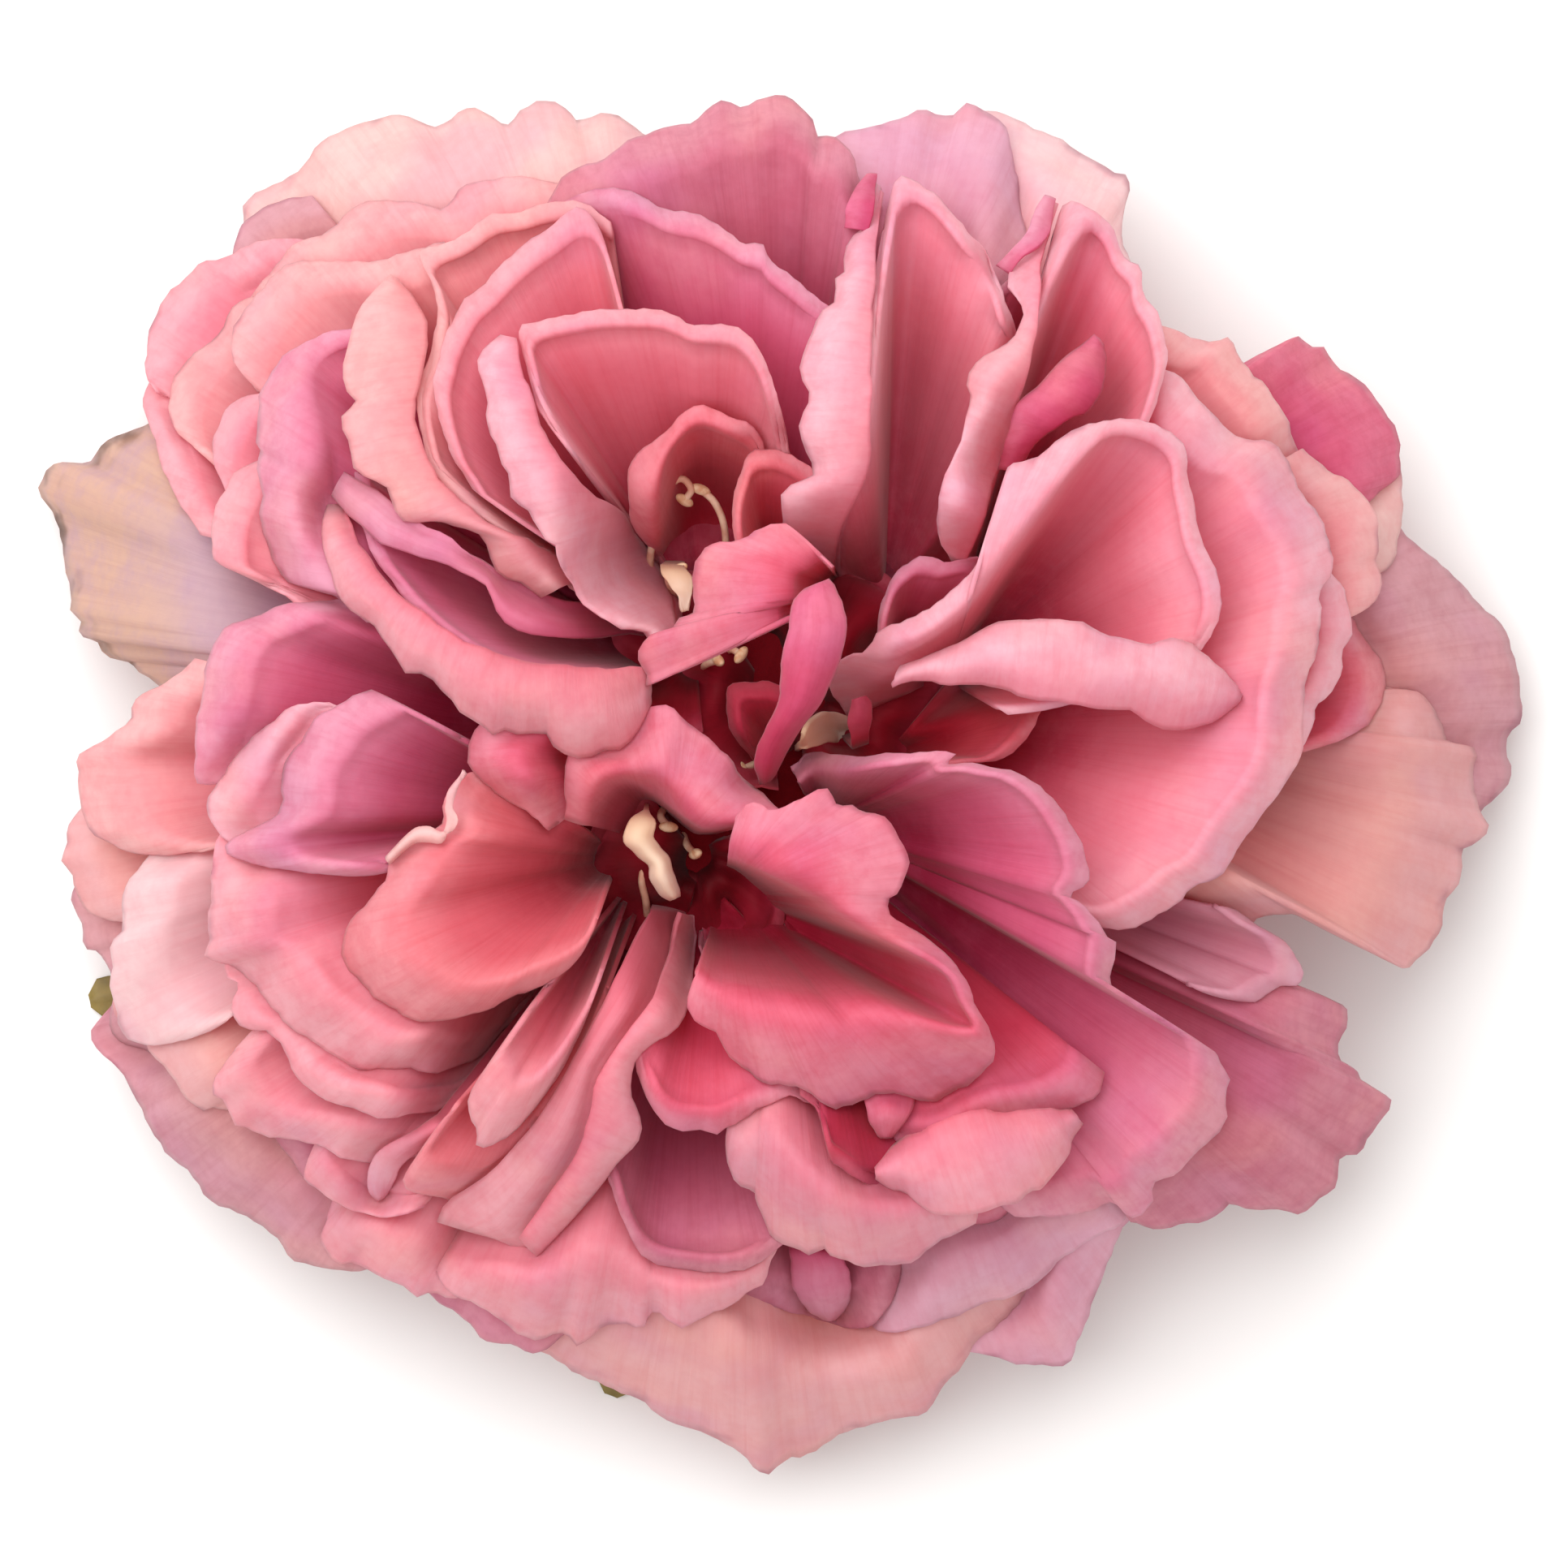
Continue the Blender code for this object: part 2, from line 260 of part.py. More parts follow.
WEST = [
    scoop("south_west_arch", root=(-5.6, -7.6), belly=2.6, crest=(-9.0, -6.0, -5.0, -5.0, -5.0, -4.0),
          lip=(-10.0, -8.0, -7.0, -7.0, -8.0, -6.0),
          rim=[(-13.2, -5.6), (-13.3, -3.0), (-12.8, -0.6), (-10.5, 1.2), (-7.6, 2.4), (-6.5, 2.8),
               (-5.0, 1.9), (-3.8, 1.0), (-2.5, -0.1), (-1.0, -1.6), (0.0, -2.4), (1.0, -2.9), (2.4, -4.2)],
          fold=[(-11.4, -6.4), (-11.3, -4.9), (-10.7, -3.4), (-9.9, -2.7), (-8.5, -2.7), (-7.0, -3.6),
                (-5.2, -4.7), (-3.6, -5.6), (-2.2, -6.1), (-0.8, -5.6), (0.2, -5.0), (1.4, -4.7)]),
    scoop("south_west_tip", root=(-8.6, -1.2), fold=0.6, crest=-4.0, lip=(-7.0, -8.0, -6.0, -5.0), claw=2.0,
          rim=[(-12.0, -4.4), (-12.5, -5.5), (-13.8, -6.9), (-15.0, -6.0), (-16.5, -5.0), (-18.0, -4.1),
               (-19.3, -3.4), (-20.4, -2.2), (-20.2, -0.8), (-19.0, 0.8), (-16.5, 2.4)]),
    scoop("south_west_heart", root=(-9.4, -8.4), fold=0.72, crest=(-3.0, -2.0, -1.0, 0.0, 0.0, -2.0, -4.0),
          lip=(-4.0, -3.5, -3.0, -3.0, -4.0, -5.0, -7.0),
          rim=[(-15.5, -3.0), (-18.0, -2.0), (-20.2, -2.0), (-21.0, -2.5), (-21.5, -3.2), (-21.9, -4.2),
               (-22.1, -5.4), (-22.8, -6.0), (-24.8, -6.6), (-25.5, -7.3), (-26.2, -8.4), (-26.4, -9.3),
               (-28.0, -10.9), (-29.2, -12.0), (-30.0, -13.9), (-29.8, -15.0), (-29.3, -16.0),
               (-28.0, -17.5), (-26.5, -18.4), (-25.0, -19.2), (-24.0, -19.4), (-22.0, -19.2),
               (-20.0, -18.7), (-18.0, -17.8), (-15.6, -17.2), (-13.2, -15.6), (-11.8, -13.6)]),
    strip("south_fold", root=(-5.4, -12.0), arch=2.4, lift=(-6.0, -4.5, -5.0, -6.0, -6.5, -7.0, -9.0),
          left=[(-6.9, -13.4), (-8.5, -15.5), (-9.8, -18.5), (-11.0, -21.0), (-12.5, -24.0), (-15.0, -27.8),
                (-16.7, -29.8), (-18.0, -31.5), (-20.0, -33.2), (-22.0, -33.9), (-23.0, -35.0)],
          right=[(-4.0, -13.4), (-3.8, -16.0), (-3.9, -18.0), (-4.7, -20.8), (-7.4, -21.7), (-8.8, -22.8),
                 (-8.5, -25.0), (-8.2, -27.4), (-7.3, -29.0), (-9.5, -31.2), (-11.0, -33.3),
                 (-13.0, -35.5), (-15.6, -38.3), (-17.2, -37.4), (-18.8, -36.2), (-20.6, -36.7),
                 (-22.4, -36.6)]),
    scoop("south_west_lobe", root=(-8.4, -10.4), fold=0.72, crest=(-3.0, -1.0, -1.0, -2.0, -5.0),
          lip=(-5.0, -4.0, -4.0, -6.0, -8.0), claw=2.0,
          rim=[(-13.6, -16.6), (-15.5, -17.8), (-16.5, -19.0), (-17.5, -20.0), (-18.8, -21.5),
               (-20.2, -23.0), (-21.2, -24.0), (-21.1, -25.0), (-21.1, -26.5), (-20.7, -28.0),
               (-20.9, -29.2), (-19.4, -28.8), (-17.2, -26.8), (-15.2, -24.2), (-13.6, -21.6),
               (-12.0, -18.0)]),
    scoop("south_west_tongue", root=(-7.6, -11.2), fold=0.88, crest=(-2.0, -3.0, -3.0, -4.0, -8.0),
          lip=(-4.0, -6.0, -7.0, -7.0, -9.0), claw=2.0,
          rim=[(-22.5, -28.2), (-24.5, -30.3), (-25.3, -31.3), (-25.8, -32.3), (-25.2, -33.0),
               (-23.8, -33.2), (-22.0, -33.3),
               (-20.5, -32.5), (-19.0, -31.0), (-17.5, -29.0), (-16.0, -27.0), (-14.5, -24.8),
               (-13.3, -22.5), (-11.6, -18.6)]),
    strip("south_west_point", root=(-11.6, -14.4), arch=0.6, lift=(-6.0, -6.0, -7.0, -8.0),
          left=[(-22.6, -27.6), (-25.0, -29.2), (-27.3, -30.5), (-28.0, -32.5), (-27.4, -34.2)],
          right=[(-21.4, -28.4), (-23.5, -29.7), (-25.4, -31.2), (-26.0, -32.4), (-26.9, -33.9)]),
    scoop("west_mauve_upper", root=(-11.0, -5.4), fold=0.8, crest=(-3.0, -2.0, -1.0, 0.0, 0.0, 0.0),
          lip=(-5.0, -4.0, -3.0, -3.0, -3.0, -3.0),
          rim=[(-20.3, 0.2), (-21.3, 1.2), (-22.0, 1.8), (-23.0, 3.0), (-24.0, 3.8), (-25.0, 4.4),
               (-26.5, 4.7), (-28.0, 4.3), (-29.5, 3.5), (-31.0, 2.8), (-32.2, 1.6), (-33.6, 0.0),
               (-34.0, -1.5), (-33.8, -2.8), (-34.6, -3.8), (-36.2, -4.4), (-38.0, -5.0), (-38.4, -5.8),
               (-36.0, -6.8), (-32.0, -7.4), (-28.5, -7.8), (-26.6, -7.6)]),
    scoop("west_pale_lobe", root=(-11.6, -4.2), fold=0.86, crest=-1.0, lip=(-3.0, -4.0, -4.0, -3.0),
          rim=[(-30.6, 3.0), (-32.0, 3.2), (-33.8, 3.0), (-35.0, 2.2), (-36.5, 1.2), (-38.0, 0.0),
               (-39.0, -1.0), (-39.7, -2.3), (-39.5, -3.2), (-39.0, -4.0), (-38.2, -4.8), (-36.6, -5.4)]),
    scoop("west_mauve_top", root=(-14.0, 1.0), fold=0.84, crest=(-3.0, -1.0, 0.0, -1.0),
          lip=(-6.0, -4.0, -3.0, -4.0, -4.0),
          rim=[(-25.0, 11.4), (-28.0, 11.4), (-30.5, 10.9),
               (-32.0, 10.9), (-33.5, 11.0), (-35.0, 10.7), (-36.5, 10.3), (-38.0, 9.8), (-39.0, 8.5),
               (-39.8, 6.5), (-40.3, 4.5), (-40.6, 2.5), (-40.7, 1.0), (-40.9, -0.3), (-39.6, -0.3),
               (-38.0, 0.4), (-35.5, 1.2)]),
    scoop("south_west_shell", root=(-10.6, -7.2), fold=0.8, crest=(0.0, 0.0, -1.0, -2.0, -3.0),
          lip=(-2.0, -3.0, -4.0, -5.0, -6.0),
          pleats=((0.42, 0.05, 0.9),),
          rim=[(-33.0, -4.6), (-36.5, -4.9), (-38.3, -5.4), (-39.0, -6.6), (-39.4, -8.0), (-39.7, -10.0),
               (-39.8, -12.0), (-40.0, -13.7), (-40.5, -14.5), (-39.5, -15.0), (-38.0, -15.3),
               (-37.0, -16.5), (-36.0, -17.8), (-35.0, -18.9), (-34.0, -19.8), (-33.0, -20.7),
               (-31.8, -21.4), (-30.5, -22.2), (-29.5, -22.7), (-27.5, -22.8), (-26.3, -22.6),
               (-24.6, -23.2), (-22.5, -22.8), (-21.0, -22.0), (-19.5, -20.5), (-18.0, -19.4),
               (-16.0, -18.0)]),
    scoop("south_west_ring", root=(-10.0, -9.2), fold=0.88, crest=-1.5, lip=(-4.0, -4.0, -5.0, -5.0, -6.0),
          rim=[(-38.0, -14.0), (-38.6, -16.0), (-38.5, -17.0), (-37.8, -17.6), (-38.3, -18.5),
               (-38.0, -19.8), (-37.0, -20.4), (-36.0, -20.3), (-35.2, -21.0), (-34.7, -22.0),
               (-33.8, -23.5), (-32.5, -24.8), (-31.0, -25.5), (-29.0, -26.1), (-27.5, -26.3),
               (-26.0, -26.1), (-25.0, -26.2), (-24.0, -25.8), (-22.8, -25.0), (-22.2, -24.4),
               (-21.2, -24.0), (-19.6, -22.6)]),
    scoop("south_west_pale_ring", root=(-9.6, -9.9), fold=0.88, crest=-2.5, lip=(-6.0, -6.0, -7.0, -7.0),
          rim=[(-36.0, -20.6), (-38.5, -23.0), (-40.0, -25.0), (-39.3, -26.0), (-38.7, -27.3),
               (-37.8, -27.5), (-36.5, -28.0), (-35.0, -28.0), (-33.5, -28.5), (-32.3, -28.7),
               (-31.5, -29.3), (-30.0, -29.6), (-28.0, -29.7), (-27.0, -29.7), (-25.5, -29.0),
               (-24.3, -28.3), (-23.5, -27.5), (-22.0, -27.0), (-20.0, -25.6)]),
    scoop("south_west_coral", root=(-9.2, -10.4), fold=0.92, crest=-4.0, lip=-7.0, claw=2.0,
          rim=[(-31.0, -27.6), (-32.2, -29.0), (-32.8, -30.0), (-33.7, -31.5), (-32.0, -32.7),
               (-31.0, -33.2), (-29.5, -33.4), (-28.0, -33.4), (-26.6, -32.6)]),
]

NORTH = [
    scoop("north_second_cup", root=(1.0, 10.6), fold=0.93, crest=(-1.0, 0.0, 1.0, 0.0, -3.0),
          lip=(-2.0, -1.0, 0.0, -1.0, -4.0),
          rim=[(-15.8, 36.0), (-14.8, 39.2), (-13.0, 40.6), (-11.0, 41.0), (-9.0, 40.4), (-7.5, 39.6),
               (-5.5, 39.0), (-3.0, 38.0), (-1.6, 36.7), (-0.8, 36.9), (-0.2, 36.5), (0.0, 35.8),
               (1.5, 34.8), (3.0, 33.5), (5.0, 32.0), (6.6, 29.4), (7.4, 26.0)]),
    scoop("north_mauve_back", root=(2.8, 10.8), fold=0.88, crest=(-2.0, 0.0, 0.0, 0.0, -1.0),
          lip=(-4.0, -3.0, -3.0, -3.0, -3.0),
          pleats=((0.55, 0.06, 1.0),),
          rim=[(-16.0, 38.0), (-14.8, 40.2), (-14.0, 41.8), (-12.5, 42.7), (-11.0, 43.5), (-9.5, 44.5),
               (-8.0, 45.2), (-7.0, 45.7), (-5.5, 46.1), (-4.5, 46.8), (-3.5, 47.6), (-2.0, 47.4),
               (-1.0, 48.0), (0.7, 48.3), (1.5, 47.5), (2.5, 46.7), (2.8, 45.6), (4.0, 45.3), (5.3, 44.0),
               (5.7, 42.3), (7.2, 41.0), (7.6, 38.5), (7.8, 34.0)]),
]

EAST = [
    scoop("east_coral_tongue", root=(10.4, -1.0), fold=0.93, crest=-10.0, lip=-11.0, claw=2.0,
          rim=[(12.0, -2.2), (17.0, -1.6), (19.3, -1.5), (20.8, -0.3), (21.8, 0.8), (22.6, 2.3),
               (22.0, 3.1), (20.0, 4.0), (16.5, 4.6)]),
    scoop("east_cup", root=(11.4, 1.0), fold=0.87, crest=(-2.0, -1.0, 0.0, -1.0, -2.0, -4.0),
          lip=(-4.0, -4.0, -4.0, -5.0, -7.0, -8.0),
          pleats=((0.3, 0.03, 0.5), (0.72, 0.04, 0.8)),
          rim=[(29.5, 28.3), (31.8, 27.7), (33.5, 25.7), (35.0, 24.3), (37.0, 23.1), (39.0, 22.9),
               (40.5, 20.5), (41.5, 19.0), (42.5, 17.5), (43.0, 15.5), (43.2, 14.0), (42.3, 12.6),
               (42.4, 11.0), (42.0, 8.5), (41.5, 6.0), (41.2, 1.0), (40.0, -1.5), (38.5, -3.5),
               (37.5, -4.8), (37.0, -6.3), (36.0, -7.8), (34.0, -8.6), (33.0, -9.8), (31.5, -11.0),
               (30.0, -11.9), (28.5, -11.9), (26.0, -11.0), (22.5, -9.0)]),
    scoop("east_low_lobe", root=(12.0, 3.0), fold=0.92, crest=-4.0, lip=-7.0,
          rim=[(42.3, 14.6), (43.8, 12.8), (44.6, 12.2), (45.0, 11.0), (45.0, 9.7), (44.3, 8.8),
               (44.2, 7.3), (43.5, 6.0), (42.5, 5.2), (42.2, 4.2), (41.5, 2.5), (40.6, 0.5)]),
    scoop("east_upper_lobe", root=(11.6, 5.0), fold=0.9, crest=-4.0, lip=-7.0,
          rim=[(41.6, 22.0), (43.5, 20.9), (44.8, 20.7), (45.5, 20.0), (46.5, 18.8), (46.9, 17.0),
               (46.6, 16.0), (46.8, 14.6), (46.0, 13.4), (44.5, 12.9), (42.6, 12.4)]),
    scoop("north_east_back", root=(10.8, 6.8), fold=0.9, crest=-3.0, lip=-6.0,
          rim=[(28.0, 30.6), (29.5, 31.5), (31.5, 31.1), (34.3, 30.8), (35.3, 31.3), (35.7, 30.2),
               (36.8, 29.0), (37.8, 28.5), (38.3, 27.2), (39.3, 26.0), (40.2, 24.3), (41.2, 24.0),
               (41.5, 22.5), (42.4, 21.0), (42.8, 18.6)]),
    scoop("east_small_coral", root=(12.4, 0.6), fold=0.92, crest=-9.0, lip=-12.0, claw=2.0,
          rim=[(42.0, -0.6), (46.0, 0.0), (47.0, 0.5), (48.1, 2.0), (47.8, 4.0), (46.4, 6.0), (45.2, 7.3),
               (44.3, 7.6), (42.6, 8.2)]),
]

SOUTH = [
    scoop("south_pocket", root=(-2.6, -11.2), fold=0.88, crest=-5.0, lip=-8.0, claw=2.0,
          rim=[(-8.2, -21.6), (-8.1, -23.2), (-7.9, -24.5), (-7.4, -26.0), (-6.9, -27.5), (-6.0, -28.3),
               (-4.8, -28.6), (-4.0, -28.3), (-3.0, -28.8), (-2.2, -28.5), (-1.2, -28.0), (0.5, -27.0),
               (2.0, -26.4), (3.5, -27.3), (5.0, -27.6), (6.5, -27.4), (7.6, -25.6)]),
    scoop("south_lip", root=(2.6, -10.6), crest=-4.0, lip=(-7.0, -8.0, -8.0, -8.0, -8.0),
          rim=[(-0.9, -26.0), (-1.2, -27.7), (-1.5, -29.0), (-1.6, -30.5), (-1.3, -32.0),
               (-0.5, -32.8), (0.1, -32.9), (0.1, -34.0), (0.5, -35.2), (1.0, -36.5), (1.8, -37.2),
               (2.8, -37.8), (3.5, -38.1), (4.3, -37.6), (4.8, -38.3), (5.8, -38.5), (6.3, -39.0),
               (7.5, -39.4), (9.0, -39.3), (10.2, -39.0), (11.5, -38.3), (13.0, -37.6), (14.3, -37.0),
               (14.6, -36.5), (14.3, -35.0), (13.8, -34.0)],
          fold=[(1.6, -25.4), (2.0, -27.0), (2.6, -28.5), (3.4, -30.3), (4.8, -32.0), (6.5, -33.6),
                (8.3, -34.2), (10.4, -34.2), (12.0, -34.2), (13.0, -33.6)]),
    scoop("south_cup", root=(-4.0, -11.6), fold=0.95, belly=2.0, crest=-7.0, lip=-7.5,
          rim=[(-10.8, -30.5), (-10.0, -33.0), (-9.7, -35.0), (-9.4, -36.3), (-8.8, -37.5), (-7.5, -38.6),
               (-6.5, -39.0), (-5.5, -39.2), (-3.0, -39.3), (-1.8, -39.1), (-0.5, -38.4), (1.0, -37.4),
               (2.6, -35.6)]),
    strip("south_small_pink", root=(3.6, -11.4), arch=1.0, lift=(-12.0, -13.0, -16.0),
          left=[(3.5, -37.4), (3.6, -40.0), (4.5, -41.8), (5.5, -42.7), (6.2, -43.2)],
          right=[(7.0, -37.8), (7.8, -39.6), (7.9, -41.0), (7.6, -42.2), (6.9, -43.1)]),
    scoop("south_frill", root=(-5.6, -11.2), crest=(-7.0, -6.0, -7.0, -8.0),
          lip=(-11.0, -12.0, -13.0, -12.0, -10.0),
          rim=[(-23.0, -39.4), (-22.3, -40.5), (-21.5, -41.3), (-20.0, -42.0), (-18.8, -42.6),
               (-17.8, -43.7), (-16.5, -44.2), (-15.2, -43.7), (-14.5, -44.0), (-14.0, -44.5),
               (-13.3, -44.0), (-12.5, -43.3), (-11.0, -43.1), (-9.6, -43.3), (-9.4, -42.6),
               (-8.8, -42.0), (-8.0, -42.8), (-7.2, -43.6), (-6.3, -43.2), (-5.0, -42.3), (-3.8, -42.0),
               (-2.8, -41.3), (-1.6, -40.7), (-1.3, -39.5), (-0.6, -38.0)],
          fold=[(-20.8, -38.6), (-19.5, -38.2), (-18.0, -38.1), (-16.0, -38.0), (-14.0, -37.0),
                (-12.0, -36.4), (-10.5, -37.0), (-9.0, -38.6), (-7.0, -39.6), (-5.0, -39.8), (-3.0, -39.6),
                (-2.0, -39.0), (-1.4, -37.6)]),
    scoop("south_dusky_inner", root=(0.8, -12.0), fold=0.9, crest=-12.0, lip=-15.0, claw=2.0,
          rim=[(-2.0, -39.0), (-1.6, -40.6), (0.0, -41.7), (2.0, -42.4), (4.0, -43.5), (5.9, -44.5),
               (7.2, -43.7), (8.0, -42.3), (8.6, -40.0)]),
]

SOUTH_EAST_LOW = [
    scoop("south_east_flap", root=(10.0, -6.4), fold=0.93, crest=-7.0, lip=-9.0, claw=2.0,
          rim=[(36.6, -12.4), (38.5, -13.2), (40.0, -13.3), (41.5, -14.3), (42.2, -15.2), (41.9, -15.9),
               (40.6, -15.8), (39.6, -16.6), (38.6, -16.6), (37.4, -15.4), (36.0, -14.8)]),
    scoop("south_east_guard", root=(14.0, 4.0), fold=0.8, crest=(-6.0, -5.0, -6.0, -7.0, -8.0, -8.0),
          lip=(-9.0, -11.0, -13.5, -13.6, -12.0, -12.0),
          pleats=((0.3, 0.03, 0.8), (0.45, 0.03, 1.0), (0.6, 0.03, 0.7)),
          rim=[(27.6, -13.0), (30.0, -13.9), (33.0, -14.6), (35.0, -14.9), (37.2, -14.7), (37.8, -13.6),
               (40.0, -13.3), (41.7, -14.2), (43.0, -15.4), (44.3, -17.0), (45.4, -18.5), (47.3, -19.3),
               (48.5, -19.0), (49.5, -18.0), (50.5, -17.0), (51.2, -16.0), (51.5, -14.5), (52.3, -13.5),
               (52.7, -12.2), (53.0, -11.0), (54.0, -10.5), (55.0, -9.6), (54.3, -8.0), (54.2, -6.0),
               (54.2, -4.0), (52.6, -3.6), (51.8, -2.0), (50.5, 0.0), (48.5, 0.4), (46.0, 0.2),
               (43.0, 1.5)]),
    scoop("south_east_mauve", root=(8.6, -7.8), fold=0.75, crest=(-7.0, -6.0, -6.0, -7.0),
          lip=(-9.0, -10.0, -13.0, -13.0, -13.0),
          pleats=((0.3, 0.03, 0.9), (0.45, 0.03, 1.1), (0.6, 0.03, 0.9), (0.75, 0.03, 0.9)),
          rim=[(34.0, -14.0), (37.0, -15.0), (39.0, -16.6), (41.0, -16.8), (43.0, -17.0), (44.4, -17.2),
               (45.5, -18.5), (45.6, -19.8), (44.9, -21.3), (45.2, -22.1), (46.7, -22.4), (47.0, -23.2),
               (48.3, -23.7), (49.3, -23.8), (49.7, -24.4), (49.0, -25.6), (48.2, -27.0), (47.7, -28.0),
               (46.5, -28.4), (46.4, -29.8), (46.0, -30.5), (45.0, -31.3), (44.0, -32.2), (43.0, -32.0),
               (41.0, -32.0), (40.0, -31.8), (39.0, -31.5), (38.0, -32.2), (37.0, -32.8), (35.5, -33.2),
               (34.0, -33.6), (32.0, -33.0)]),
    scoop("south_south_east", root=(6.0, -10.4), fold=0.85, crest=(-9.0, -9.0, -8.0, -8.0),
          lip=(-13.0, -14.0, -13.0, -13.0),
          pleats=((0.35, 0.05, 0.8), (0.62, 0.04, 0.8)),
          rim=[(7.4, -39.5), (8.0, -42.0), (9.0, -43.5), (10.5, -44.3), (12.0, -43.8), (14.5, -43.0),
               (17.0, -42.3), (18.7, -41.8), (19.8, -41.2), (21.5, -40.0), (22.8, -39.0), (24.5, -38.0),
               (26.0, -37.6), (27.0, -37.0), (28.0, -36.4), (29.0, -36.1), (30.5, -35.3), (32.0, -35.0),
               (32.7, -34.3), (32.6, -32.0)]),
]

